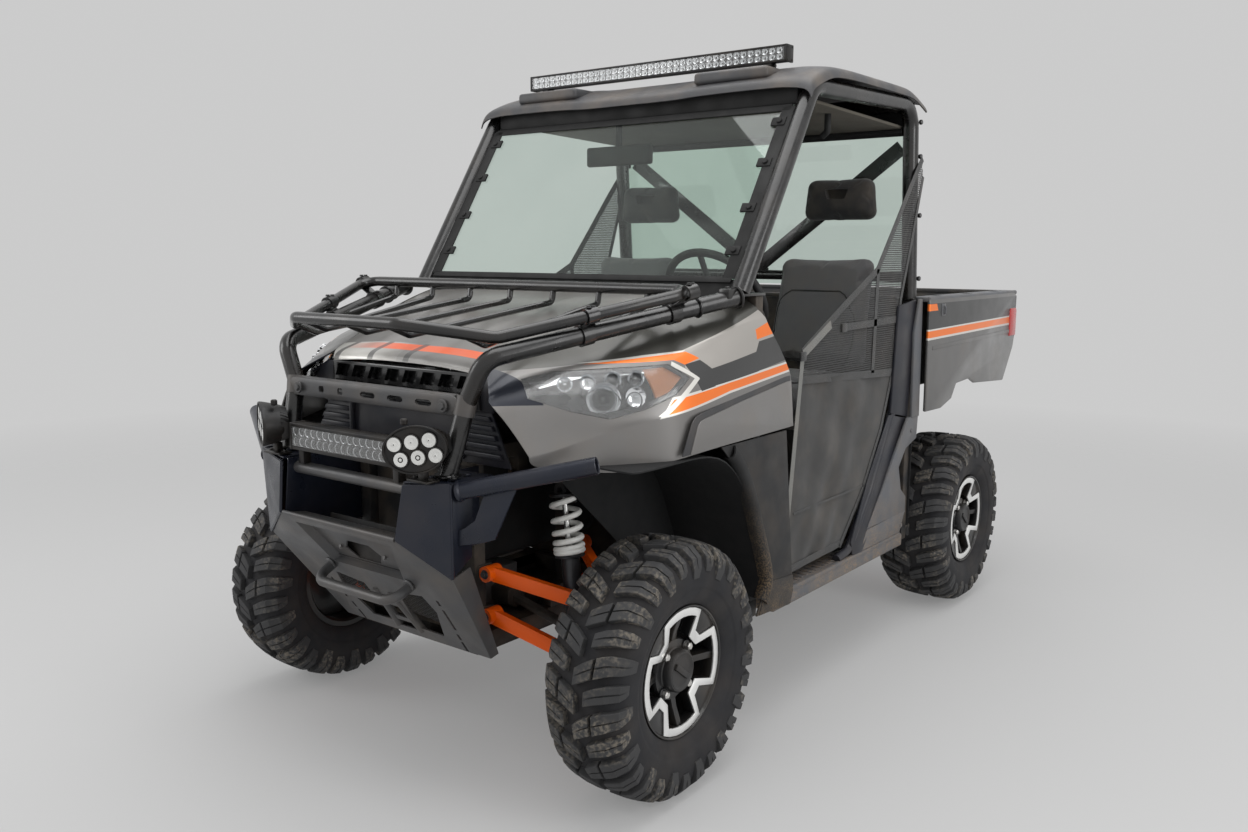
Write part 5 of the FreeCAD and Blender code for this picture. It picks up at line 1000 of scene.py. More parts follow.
SIDE_FILM_AND_SHADE = [
    # The first two areas are painted shade and dark reflection on the fenders' top; the rest is printed film
    (TOP_SHADE, [(-300, 1116), (-300, 1360), (128, 1360), (128, 1168)]),
    (TOP_SHADE, [(127, 1168), (127, 1400), (520, 1400), (520, 1251)]),
    (NAVY, [(-400, 1046), (-400, 1200), (-246, 1200), (-238, 1090), (-228, 1046)]),
    (FILM_LIGHT, [(120, 1168), (460, 1262), (520, 1130), (150, 1060), (96, 1125)]),
    (SILVER, [(-22, 1004), (245, 1048), (245, 1082), (26, 1056)]),
    (SILVER, [(244, 1048), (620, 1084), (620, 1116), (244, 1082)]),
    (FILM_DARK, [(180, 1118), (392, 1150), (392, 1094), (180, 1073)]),
    (FILM_DARK, [(388, 1149), (409, 1177), (600, 1200), (600, 1122), (388, 1094)]),
    (FILM_DARK, [(100, 1134), (153, 1143), (184, 1119), (184, 1072), (126, 1064)]),
    (FILM_ORANGE, [(-18, 1010), (28, 1050), (245, 1076), (245, 1054)]),
    (FILM_ORANGE, [(244, 1054), (244, 1076), (620, 1110), (620, 1090)]),
    (SILVER, [(60, 1132), (70, 1143), (131, 1098), (119, 1094)]),
    (SILVER, [(119, 1102), (131, 1096), (-10, 1006), (-24, 1012)]),
    (SILVER, [(-116, 1141), (24, 1159), (131, 1169), (84, 1150), (3, 1146)]),
    (FILM_ORANGE, [(-111, 1139), (24, 1155), (127, 1165), (78, 1146), (3, 1143)]),
    (FILM_ORANGE, [(126, 1165), (154, 1147), (100, 1133), (78, 1146)]),
    (FILM_ORANGE, [(400, 1182), (402, 1210), (470, 1228), (500, 1196)]),
]


def clockwise(corners):
    area = sum(y0 * z1 - y1 * z0 for (y0, z0), (y1, z1) in zip(corners, corners[1:] + corners[:1]))
    return corners if area < 0 else corners[::-1]


fender_paint = metallic("body_grey", [(colour, clockwise(corners)) for colour, corners in SIDE_FILM_AND_SHADE])
plain_paint = metallic("body_grey_plain")
dark_bevel = painted("dark_bevel", tint(52, 52, 54), 0.5, grain=900, depth=0.08, dust=0.15)
print("body paint mixed, printed areas:", len(SIDE_FILM_AND_SHADE))

# %% Fender skins
# Seam, top, brow, lamp top, lamp bottom, crease and lower edge at each station
FENDER_ROWS = [
    [(396, -322, 1074), (399, -326, 1066), (402, -330, 1056), (420, -328, 1040), (458, -318, 1002),
     (514, -306, 928), (516, -304, 904)],
    [(352, -284, 1106), (382, -283, 1101), (404, -279, 1092), (428, -270, 1080), (474, -272, 1042),
     (542, -264, 937), (544, -262, 895)],
    [(314, -240, 1136), (372, -238, 1126), (412, -234, 1115), (432, -231, 1106), (502, -236, 1056),
     (572, -217, 952), (572, -215, 886)],
    [(363, -150, 1158), (425, -150, 1147), (476, -152, 1135), (500, -150, 1125), (590, -178, 1028),
     (606, -165, 969), (608, -163, 877)],
    [(409, -65, 1178), (490, -65, 1163), (556, -66, 1144), (582, -65, 1130), (644, -120, 1012),
     (654, -95, 989), (656, -94, 873)],
    [(440, 0, 1198), (540, 0, 1176), (614, 0, 1151), (645, 0, 1134), (682, -50, 1030), (702, -24, 1009),
     (704, -22, 888)],
    [(472, 61, 1214), (570, 61, 1188), (650, 61, 1157), (676, 62, 1138), (716, 46, 1072), (730, 40, 1016),
     (736, 34, 900)],
    [(505, 130, 1231), (600, 130, 1204), (672, 130, 1170), (696, 130, 1150), (723, 130, 1095),
     (740, 130, 1032), (743, 130, 906)],
    [(560, 250, 1262), (644, 250, 1232), (700, 250, 1202), (720, 250, 1176), (738, 250, 1110),
     (745, 250, 1050), (745, 250, 909)],
    [(612, 400, 1290), (676, 400, 1267), (714, 400, 1238), (728, 400, 1208), (741, 400, 1132),
     (745, 400, 1066), (745, 400, 911)],
    [(633, 462, 1298), (684, 462, 1276), (720, 464, 1240), (732, 474, 1204), (742, 528, 1138),
     (745, 574, 1070), (745, 594, 912)],
]


def tightened(row, indices, gap=5.0):
    """Put a point a little before and after each named one, so that its crease stays sharp."""
    out = []
    for i, spot in enumerate(row):
        here = Vector(spot)
        if i in indices:
            out.append(here + (Vector(row[i - 1]) - here).normalized() * gap)
            out.append(here)
            out.append(here + (Vector(row[i + 1]) - here).normalized() * gap)
        else:
            out.append(here)
    return out


fender_grid = [tightened(row, (2, 5)) for row in FENDER_ROWS]
LAMP_OUTLINE = [(-238, 1106), (-170, 1124), (-60, 1131), (58, 1137), (98, 1101), (40, 1062), (-50, 1030),
                (-130, 1010), (-196, 1030), (-256, 1062)]


LAMP_NEAR, LAMP_FAR = 360, 780


def lamp_cutter(grow):
    """A plug with the lamp's outline, grown outwards by so many millimetres."""
    count = len(LAMP_OUTLINE)
    middle = Vector((sum(y for y, z in LAMP_OUTLINE) / count, sum(z for y, z in LAMP_OUTLINE) / count))
    outline = []
    for y, z in LAMP_OUTLINE:
        spot = Vector((y, z))
        spot += (spot - middle).normalized() * grow
        outline.append((LAMP_NEAR, spot.x, spot.y))
    return plate("lamp_cutter", outline, (LAMP_FAR - LAMP_NEAR, 0, 0), 0)


fender = carve(skin("fender_skin", fender_grid, 4, 2), lamp_cutter(0))
fender = both(fender)
dress(fender, fender_paint, nodes=["fenders"], angle=28)

flare_line = [(18, 906), (60, 988), (78, 1003), (105, 1010), (303, 1037), (538, 1066), (572, 1068),
              (594, 914), (378, 911), (129, 908)]
bevel_line = [(51, 907), (83, 979), (97, 990), (122, 995), (303, 1021), (546, 1051), (574, 1052),
              (594, 914), (378, 911), (129, 908)]
flare = plate("flare", upright(743, bevel_line), (6, 0, 0), 2)
lip = plate("flare_lip", upright(741, flare_line), (5, 0, 0), 3)
dress(both(flare), plain_paint)
dress(both(lip), dark_bevel)
print("fender skins done")

# %% Hood
hood_paint = metallic("hood_grey", colour=tint(132, 130, 127))
band_y, band_x = hood_paint.axis("Y"), hood_paint.axis("X")


def between(made, value, low, high):
    """A mask that is 1 between two places in millimetres."""
    rise = made.times(made.math("SUBTRACT", value, low * MM), 1500, clamp=True)
    fall = made.times(made.math("SUBTRACT", high * MM, value), 1500, clamp=True)
    return made.math("MINIMUM", rise, fall)


paint = hood_paint.shader.inputs["Base Color"].links[0].from_socket
lip_zone = between(hood_paint, band_y, -262 + FRONT_AXLE_Y, -176 + FRONT_AXLE_Y)
white = hood_paint.times(lip_zone, between(hood_paint, band_x, -352, -20))
paint = hood_paint.mix(hood_paint.times(white, hood_paint.span(band_x, 0.0, -0.2)), paint, SILVER)
stripe = between(hood_paint, band_y, -226 + FRONT_AXLE_Y, -184 + FRONT_AXLE_Y)
stripe = hood_paint.times(stripe, between(hood_paint, band_x, -290, 320))
paint = hood_paint.mix(hood_paint.times(stripe, hood_paint.span(band_x, -0.30, -0.08)), paint,
                       tint(240, 104, 52))
for x in (-282, -132, 18):
    bar = hood_paint.times(lip_zone, between(hood_paint, band_x, x - 12, x + 12))
    paint = hood_paint.mix(hood_paint.times(bar, 0.75), paint, FILM_DARK)
hood_paint.colour(paint)

HOOD_ROWS = [(-262, 1112, 1126, 292), (-260, 1122, 1136, 296), (-250, 1133, 1147, 304),
             (-236, 1140, 1153, 318), (-190, 1151, 1166, 342), (-100, 1171, 1189, 388),
             (40, 1208, 1231, 462), (200, 1249, 1269, 537), (330, 1277, 1292, 588), (400, 1290, 1304, 612)]
rows = []
for y, edge_z, middle_z, half in HOOD_ROWS:
    line = []
    for share in (1, 0.985, 0.82, 0.62, 0.58, 0.42, 0.24, 0.2):
        rise = 1 - share ** 2.4
        fade = min(1.0, max(0.0, (y + 200) / 120))
        ridge = 5 * fade if share < 0.6 else 0
        scoop = -5 * fade if share <= 0.2 else 0
        line.append((half * share, y, edge_z + (middle_z - edge_z) * rise + ridge + scoop - 2))
    rows.append([(-x, y, z) for x, y, z in line] + line[::-1])
hood = skin("hood_skin", rows, 4, 2)
dress(hood, hood_paint, nodes=["hood"], angle=28)
print("hood done")

# %% [markdown]
# ## Headlamps
# A headlamp is a sealed box: a black surround, chrome bowls pressed in one piece, an amber
# marker at the rear corner, a bright shelf and a clear cover flush with the fender.  Cover,
# shelf, marker and backing are cut from the fender's own stations, so they follow its form.

# %% Headlamp pieces
amber = painted("amber", tint(214, 130, 60), 0.18, cloud=0.4, grain=90, depth=0.8, coat_weight=0.6)
lamp_black = painted("lamp_black", tint(24, 24, 25), 0.25, grain=500, depth=0.04, coat_weight=0.4)


def set_back(grid, depth):
    """The same stations, moved inwards and to the rear."""
    return [[(x - depth * 0.7, y + depth * 0.5, z - depth * 0.25) for x, y, z in row] for row in grid]


cover = shared(skin("cover", fender_grid, 3, 2), lamp_cutter(-1.2))
dress(both(cover), lens_clear, nodes=["headlamps"], angle=28)
rim_piece = shared(skin("rim", set_back(fender_grid, 5), 12, 2), lamp_cutter(-1.5))
rim_piece = carve(rim_piece, lamp_cutter(-13))
backing = shared(skin("backing", set_back(fender_grid, 44), 3, 2), lamp_cutter(20))
dress(both(joined("lamp_surround", [rim_piece, backing])), lamp_black, angle=30)
bowls = []
for x, y, z, radius, deep in ((596, -118, 1056, 44, 34), (508, -166, 1092, 20, 22),
                              (552, -128, 1098, 21, 24), (598, -84, 1103, 22, 26), (640, -42, 1106, 21, 26),
                              (655, -62, 1062, 26, 26)):
    facing = Vector((0.66, -0.74, 0.12)).normalized()
    bowls += [
        turned("bowl", [(0, radius), (-deep * 0.4, radius * 0.9), (-deep * 0.8, radius * 0.6),
                        (-deep, radius * 0.2), (-deep, 0)], (x, y, z), facing, 28),
        turned("bulb", [(-deep, 7), (-deep + 9, 6), (-deep + 13, 3), (-deep + 14, 0)], (x, y, z),
               facing, 12)]
bowls.append(shared(skin("shelf", set_back(fender_grid, 16), 2, 2),
                    plate("strip", [(400, -226, 1098), (400, -120, 1122), (400, 10, 1128), (400, 20, 1114),
                                    (400, -112, 1108), (400, -210, 1082)], (380, 0, 0), 0)))
dress(both(joined("lamp_bowls", bowls)), chrome, angle=40)
marker = shared(skin("marker", set_back(fender_grid, 14), 4, 2),
                plate("corner", [(600, 2, 1124), (600, 50, 1128), (600, 84, 1101), (600, 34, 1068),
                                 (600, -4, 1054), (600, 0, 1080)], (180, 0, 0), 0))
dress(both(marker), amber, angle=30)
print("headlamps done")

# %% [markdown]
# ## Grille
# The mask between the lamps is one moulding: two rows of slanted cells above, louvres below.
# Each cell is an opening through the moulding with a dark plate behind, so that the light
# falls off inside it as it does on the real one.

# %% Grille and fascia
navy_black = painted("navy_black", tint(29, 31, 39), 0.4, grain=800, depth=0.05, dust=0.08)


def row_of_cells(zs, count, x0, x1, slant, gap):
    """Slanted openings side by side, as (x, z) corner lists."""
    step = (x1 - x0) / count
    cells = []
    for k in range(count):
        a, b = x0 + k * step + gap / 2, x0 + (k + 1) * step - gap / 2
        cells.append([(a + slant, zs[0]), (b + slant, zs[0]), (b - slant, zs[1]), (a - slant, zs[1])])
    return cells


mask = plate("mask", [(-302, -262, 1016), (302, -262, 1016), (296, -262, 1112), (-296, -262, 1112)],
             (0, 14, 0), 3)
cells = row_of_cells((1026, 1058), 8, -288, 288, 8, 20)
cells += row_of_cells((1068, 1103), 8, -288, 288, -8, 18)
for cell in cells:
    mask = carve(mask, plate("cell", frontal(-290, cell), (0, 60, 0), 0))
mask_parts = [mask, plate("behind", [(-304, -240, 1010), (304, -240, 1010), (296, -240, 1112),
                                     (-296, -240, 1112)], (0, 3, 0), 0)]
fascia_parts = [plate("fascia", [(-398, -250, 872), (398, -250, 872), (330, -250, 1018),
                                 (-330, -250, 1018)], (0, 8, 0), 3)]
for side in (1, -1):
    for k in range(5):
        z = 894 + 24 * k
        reach = 388 - 0.42 * (z - 872)
        fascia_parts.append(plate("louvre", [(side * 236, -250, z), (side * reach, -250, z),
                                             (side * (reach - 8), -250, z + 13),
                                             (side * 230, -250, z + 13)], (0, -11, 0), 2.5))
    fascia_parts.append(block("post", (side * 218, side * 232), (-262, -248), (880, 1010), 3))
    # The corner filler between the mask and the fender
    fascia_parts.append(plate("filler", [(side * 300, -256, 1016), (side * 336, -250, 1010),
                                         (side * 392, -268, 1074), (side * 330, -256, 1108),
                                         (side * 294, -256, 1110)], (0, 6, 0), 2))
dress(joined("grille_mask", mask_parts), lamp_black, nodes=["grille"])
dress(joined("fascia_piece", fascia_parts), navy_black)
print("grille done")

# %% [markdown]
# ## Front bumper
# Laser-cut steel plate, folded, welded and powder coated: a face that leans back under the
# nose, two wings, a recessed pocket for the winch rope with a cradle behind it, a hoop, and
# mesh behind the openings.  The folds are bevels that catch the light.

# %% Bumper plates
powder = painted("powder_black", tint(76, 76, 77), 0.42, metal=0.25, grain=1300, depth=0.1, cloud=0.18,
                 dust=0.22)
wing_navy = painted("powder_navy", tint(32, 36, 47), 0.3, metal=0.3, grain=1300, depth=0.08, cloud=0.2,
                    dust=0.06)


def face_y(z, out=0.0):
    return -236 + (z - 336) * (-263 / 376) - out


def on_face(spots, out=0.0):
    return [(x, face_y(z, out), z) for x, z in spots]


def mirrored(spots):
    return [(-x, *rest) for x, *rest in spots][::-1]


def from_front(outline):
    """A plug that goes through the bumper from the front."""
    return plate("plug", frontal(-560, outline), (0, 500, 0), 0)


def diamond_mesh(name, centre, along, up, half, cell, wire):
    """Expanded mesh: a lattice of lozenges on the plane through centre."""
    count = int(2 * half / cell)
    rows = []
    for i in range(count + 1):
        row = []
        for j in range(count + 1):
            a, b = i - count / 2, j - count / 2
            spot = Vector(centre) + Vector(along) * (a + b) * cell * 0.62 + Vector(up) * (a - b) * cell * 0.36
            row.append(tuple(spot))
        rows.append(row)
    lattice = sheet_of(name, rows)
    wires = lattice.modifiers.new("wires", "WIREFRAME")
    wires.thickness = wire * MM
    wires.use_even_offset = False
    apply_modifiers(lattice)
    return lattice


recess = [(-196, 688), (196, 688), (148, 568), (-148, 568)]
inner = [(-176, 676), (176, 676), (134, 580), (-134, 580)]
hexagon = [(-74, 622), (-44, 650), (46, 650), (74, 622), (46, 592), (-44, 592)]
lower_hole = [(70, 508), (180, 522), (196, 470), (150, 374), (52, 378)]
body = plate("face", on_face([(-241, 710), (241, 710), (375, 623), (303, 338), (-303, 338), (-375, 623)]),
             (0, 7, 0), 2.2)
cuts = [recess, lower_hole, mirrored(lower_hole),
        [(-38, 444), (38, 444), (26, 404), (-26, 404)], [(-44, 388), (44, 388), (58, 364), (-58, 364)]]
for side in (1, -1):
    for z, half, x in ((512, 9, 236), (454, 35, 232), (392, 10, 222), (352, 22, 217)):
        lean = 0.08 * half
        cuts.append([(side * (x + lean) - 5, z + half), (side * (x + lean) + 5, z + half),
                     (side * (x - lean) + 5, z - half), (side * (x - lean) - 5, z - half)])
for outline in cuts:
    body = carve(body, from_front(outline))
pieces = [body]
back = plate("pocket_back", on_face(inner, -26), (0, 5, 0), 0)
pieces.append(carve(back, from_front(hexagon)))
for k in range(4):
    a, b = recess[k], recess[(k + 1) % 4]
    c, d = inner[(k + 1) % 4], inner[k]
    pieces.append(plate("pocket_side", [(a[0], face_y(a[1]), a[1]), (b[0], face_y(b[1]), b[1]),
                                        (c[0], face_y(c[1], -26), c[1]), (d[0], face_y(d[1], -26), d[1])],
                        (0, 4, 0), 0))
pieces += [bolts("fairlead_bolt", [(x, face_y(622, -24), 622) for x in (-92, 92)], (0, -1, 0.4), 6, 5)]
pieces += [
    rod("lip", [(-232, -494, 712), (232, -494, 712)], 6.5, sides=12),
    plate("lip_shelf", [(-236, -488, 712), (236, -488, 712), (236, -420, 700), (-236, -420, 700)],
          (0, 0, -4), 1),
    rod("crossbar", [(-246, -435, 830), (246, -435, 830)], 17, sides=18),
    rod("hoop", [(164, face_y(556, -8), 556), (160, -452, 524), (-160, -452, 524),
                 (-164, face_y(556, -8), 556)], 14, bend=44, sides=16)]
for side in (1, -1):
    pieces += [
        disc("weld", (side * 164, face_y(558, 2), 558), (0, -1, -0.4), 18, 8, 3, 18),
        rod("strut", [(side * 30, face_y(500, -6), 500), (side * 50, face_y(366, -6), 366)], 12, sides=12),
        plate("edge_flange", [(side * 376, -437, 623), (side * 303, -236, 338),
                              (side * 303, -206, 344), (side * 372, -372, 640)],
              (side * -5, 0, 0), 1.5)]
dress(block("winch_cradle", (-170, 170), (-386, -380), (584, 700), 2), matt_black)
dress(joined("bumper_face", pieces), powder, nodes=["front_bumper"], angle=32)

wing_parts = []
for side in (1, -1):
    a, b = (side * 251, -479, 850), (side * 384, -446, 866)
    c, d = (side * 376, -437, 625), (side * 239, -497, 714)
    wing_parts.append(skin("wing", [[d, c], [a, b]], 5, 0, inward=side))
    for line, radius in (([d, c], 4.5), ([c, b], 4.5), ([d, a], 3.5), ([a, b], 3.5)):
        wing_parts.append(rod("fold", line, radius, sides=10))
    wing_parts += [
        plate("flank", [(side * 381, -444, 866), (side * 374, -437, 627), (side * 374, -372, 668),
                        (side * 381, -372, 866)], (side * 5, 0, 0), 2),
        plate("shelf", [(side * 251, -474, 861), (side * 384, -444, 866), (side * 384, -298, 866),
                        (side * 251, -298, 861)], (0, 0, -6), 2),
        plate("bracket", [(side * 238, -483, 712), (side * 238, -467, 858), (side * 238, -210, 858),
                          (side * 238, -210, 642), (side * 238, -440, 642)], (side * 5, 0, 0), 2)]
    root, tip = Vector((side * 384, -424, 844)), Vector((side * 690, -262, 922))
    run = tip - root
    wing_parts += [turned("side_tube",
                          [(0, 0), (0, 22), (run.length, 22), (run.length + 2, 20.5), (run.length, 18.5),
                           (run.length - 70, 18.5), (run.length - 70, 0)], tuple(root), run, 24),
                   turned("weld_ring", [(2, 22), (4, 27), (9, 27), (13, 22)], tuple(root), run, 24),
                   plate("gusset",
                         sided(side,
                               ((442, -392, 838), (515, -354, 858), (465, -380, 727), (440, -393, 718),
                                (382, -423, 707), (382, -423, 745), (399, -414, 754), (421, -403, 773))),
                         (0, 6, 0), 1.5)]
    for x, y in ((300, -420), (345, -410), (300, -360), (345, -350)):
        wing_parts.append(disc("bolt", (side * x, y, 865), (0, 0, 1), 8, 7, 1, 6))
dress(joined("bumper_wings", wing_parts), wing_navy, angle=32)

mesh_parts = []
for side in (1, -1):
    lattice = diamond_mesh("lattice", (side * 122, face_y(470, -9), 470), (1, 0, 0), (0, -0.57, 0.82), 130,
                           19, 3.4)
    outline = [(66, 512), (186, 526), (200, 466), (176, 424), (60, 436)]
    mesh_parts.append(shared(lattice, from_front(outline if side > 0 else mirrored(outline))))
dress(joined("bumper_mesh", mesh_parts), matt_black, angle=40)
print("bumper done")

# %% [markdown]
# ## Brush guard, slotted plate and rack
# Bent steel tube.  The guard climbs from the bumper over the fender to a clamp at the front
# pillar.  The slotted plate bolts between its uprights.  The rack hangs on clamps, its rods
# drop from the rear bar and climb to the front one.

# %% Guard and slotted plate
guard_parts, plate_parts = [], []
for side in (1, -1):
    line = [(325, -400, 866), (348, -352, 1050), (405, -345, 1163), (694, 362, 1302)]
    guard_parts.append(rod("guard", sided(side, line), 24, bend=60, sides=20))
    foot = (side * 325, -400, 870)
    guard_parts.append(disc("foot", foot, (0, 0, 1), 34, 7, 2, 20))
    ears = [(side * (325 + dx), -400 + dy, 872) for dx, dy in ((-38, 12), (38, -14))]
    guard_parts.append(bolts("foot_bolt", ears, (0, 0, 1), 7, 7))
    end = Vector((side * 694, 362, 1302))
    run = Vector((side * 289, 707, 139))
    for along, radius, length in ((-12, 33, 8), (-150, 30, 9)):
        spot = end + run.normalized() * along
        guard_parts.append(disc("collar", tuple(spot), run, radius, length, 3, 24))
    guard_parts.append(block("clamp", (side * 664, side * 700), (300, 372), (1296, 1325), 5))
    guard_parts += [bolts("clamp_bolt", [(side * 682, y, 1325) for y in (318, 352)], (0, 0, 1), 7, 6)]
    # Ends of the slotted plate: washer, bolt head and a tab around the tube
    plate_parts += [
        disc("washer", (side * 296, -383, 1043), (0, -1, 0), 17, 5, 1.5, 20),
        disc("head", (side * 296, -386, 1043), (0, -1, 0), 10, 7, 1.5, 6),
        turned("tab", [(-25, 27), (25, 27), (25, 24), (-25, 24), (-25, 27)],
               (side * 346, -354, 1044), (side * 0.12, 0.2, 1), 22)]
bar_face = plate("slot_face",
                 frontal(-378,
                         ((-330, 1020), (-344, 1032), (-348, 1045), (-344, 1058), (-330, 1069), (330, 1069),
                          (344, 1058), (348, 1045), (344, 1032), (330, 1020))), (0, 6, 0), 2.5)
SLOT_SHAPE = [(-1, -0.4), (-1, 0.4), (-0.72, 1), (0.72, 1), (1, 0.4), (1, -0.4), (0.72, -1), (-0.72, -1)]
for x in (-200, -118, -2, 108, 217):
    half, tall = (11, 9) if x < -100 else (30, 8)
    outline = [(x + half * a, 1044 + tall * b) for a, b in SLOT_SHAPE]
    bar_face = carve(bar_face, plate("slot", frontal(-400, outline), (0, 60, 0), 0))
plate_parts += [bar_face,
                plate("flange",
                      [(-324, -376, 1023), (324, -376, 1023), (324, -338, 1019), (-324, -338, 1019)],
                      (0, 0, -4), 1.5),
                plate("flange",
                      [(-324, -376, 1066), (324, -376, 1066), (324, -352, 1068), (-324, -352, 1068)],
                      (0, 0, 4), 1.5)]
dress(joined("guard_tubes", guard_parts), tube_black, nodes=["brush_guard"], angle=35)
dress(joined("slotted_plate", plate_parts), powder, angle=35)

# %% Rack
edge = [(0, 176, 1323), (680, 176, 1323), (408, -305, 1213), (206, -445, 1246), (0, -445, 1246)]
rack_parts = []
for side in (1, -1):
    rack_parts.append(rod("edge", sided(side, edge), 16, bend=45, sides=18))
for k in range(7):
    x = (k - 3) * 172
    share = max(0.0, (abs(x) - 206) / 202)
    y, z = -445 + 140 * share, 1246 - 33 * share
    if share > 1:
        share = (abs(x) - 408) / 272
        y, z = -305 + 481 * share, 1213 + 110 * share
    rack_parts.append(rod("rod", [(x, 176, 1316), (x, 169, 1277), (x, y + 68, z - 34), (x, y + 4, z - 8)],
                          8.5, bend=16, sides=10))
for side in (1, -1):
    # Clamps to the guard: a strap round each tube, joined by a plate with two bolts
    for t in (0.04, 0.55):
        high = Vector((680 - 272 * t, 176 - 481 * t, 1323 - 110 * t))
        share = (high.y + 345) / 707
        low = Vector((405 + 289 * share, high.y, 1163 + 139 * share))
        for spot, radius in ((high, 21), (low, 29)):
            rack_parts.append(turned("strap", [(-17, radius - 5), (-17, radius), (17, radius),
                                               (17, radius - 5)], (side * spot.x, spot.y, spot.z),
                                     (side * 0.3, 0.95, 0.19), 20))
        rack_parts.append(plate("web", [(side * high.x, high.y - 22, high.z - 10),
                                        (side * high.x, high.y + 22, high.z - 10),
                                        (side * low.x, low.y + 22, low.z + 14),
                                        (side * low.x, low.y - 22, low.z + 14)], (side * 7, 0, 0), 2))
        rack_parts += [bolts("strap_bolt", [(side * high.x, high.y + dy, high.z + 20) for dy in (-8, 9)],
                             (0, 0, 1), 6, 6)]
dress(joined("rack", rack_parts), tube_black, nodes=["hood_rack"], angle=35)
print("guard and rack done")

# %% [markdown]
# ## Lamps on the bumper
# Two kinds of work lamp: a straight bar with a double row of reflectors, and oval spots with
# six round lenses, a ribbed aluminium back and a bracket.

# %% Bar lamp and spot lamps
shell = [block("shell", (-212, 212), (-470, -430), (890, 960), 4),
         block("lip", (-212, 212), (-477, -468), (951, 961), 2),
         block("lip", (-212, 212), (-477, -468), (889, 900), 2),
         fins("fins", (-200, 200), (-432, -420), (893, 958), 34)]
for side in (1, -1):
    shell += [
        block("end", (side * 203, side * 214), (-478, -426), (888, 962), 3),
        block("foot", (side * 184, side * 206), (-456, -430), (846, 892), 3)]
    shell += [bolts("end_bolt", [(side * 213, y, z) for y in (-466, -438) for z in (898, 952)],
                    (side, 0, 0), 5, 4)]
dress(joined("bar_lamp_shell", shell), lamp_shell, nodes=["bar_lamp"])
spots = [(-190 + 380 * k / 15, -471, z) for k in range(16) for z in (911, 940)]
dress(joined("bar_lamp_cups", cups(spots, (0, -1, 0), 12.5, 12, 14)), chrome)
dress(block("bar_lamp_lens", (-202, 202), (-476.5, -474.5), (899, 952), 0), lens_clear,
      angle=0)

led_white = painted("led_white", tint(212, 212, 209), 0.2, cloud=0.5, grain=420, depth=0.9)
SPOT_TURN, SPOT_TILT = math.radians(28), math.radians(9)
lamp_shells, lamp_lenses = [], []
for side in (1, -1):
    centre = Vector((side * 300, -469 + 2, 950))
    out = Vector((side * math.sin(SPOT_TURN), -math.cos(SPOT_TURN), 0))
    over = Vector((side * math.cos(SPOT_TURN), math.sin(SPOT_TURN), 0))

    def spot_at(a, b, forward):
        """A place on the lamp: a across, b up, forward out of its face."""
        c, s = math.cos(SPOT_TILT), math.sin(SPOT_TILT)
        return centre + over * (a * c - b * s) + Vector((0, 0, 1)) * (b * c + a * s) + out * forward

    rings = []
    for forward, size in ((-34, 0.3), (-34, 0.72), (-20, 0.8), (10, 0.93), (26, 0.985), (33, 1.0),
                          (36, 0.985), (36, 0.93), (31, 0.9), (30, 0.4)):
        turns = [2 * math.pi * k / 40 for k in range(40)]
        rings.append([tuple(spot_at(84 * size * math.cos(turn), 60 * size * math.sin(turn), forward))
                      for turn in turns])
    lamp_shells.append(hull("lamp_shell", rings))
    for k in range(15):
        a = (k - 7) * 9.5
        half = 0.82 * 60 * math.sqrt(max(0.05, 1 - (a / 76) ** 2))
        corners = ((half, -14), (-half, -14), (-half * 0.8, -35), (half * 0.8, -35))
        lamp_shells.append(plate("rib", [tuple(spot_at(a, b, forward)) for b, forward in corners],
                                 tuple(over * 3.2), 0))
    for row, b in enumerate((19, -20)):
        for k in range(3):
            a = (k - 1) * 45 + (5 if row else -5)
            spot = spot_at(a, b, 31)
            lamp_shells.append(turned("bezel", [(0, 22.5), (3, 21.5), (3, 19.5), (0, 18.5)], tuple(spot),
                                      out, 22))
            lamp_lenses.append(turned("lens", [(0, 18.5), (2.6, 17.5), (3.2, 12), (2.2, 9), (2.2, 5),
                                               (3.4, 3), (3.5, 0)], tuple(spot), out, 22))
    knob = spot_at(-30, 52, 0)
    lamp_shells += [
        disc("knob", tuple(knob + Vector((0, 0, 8))), (0, 0, 1), 9, 16, 3, 14),
        block("stem", (side * 290, side * 310), (-466, -446), (864, 896), 3),
        block("saddle", (side * 262, side * 338), (-478, -436), (864, 870), 2)]
    lamp_shells += [bolts("saddle_bolt", [(side * x, -456, 869) for x in (272, 328)], (0, 0, 1), 7, 6)]
dress(joined("spot_lamp_shells", lamp_shells), lamp_shell, nodes=["spot_lamps"],
      angle=40)
dress(joined("spot_lamp_lenses", lamp_lenses), led_white, angle=40)
print("lamps done")
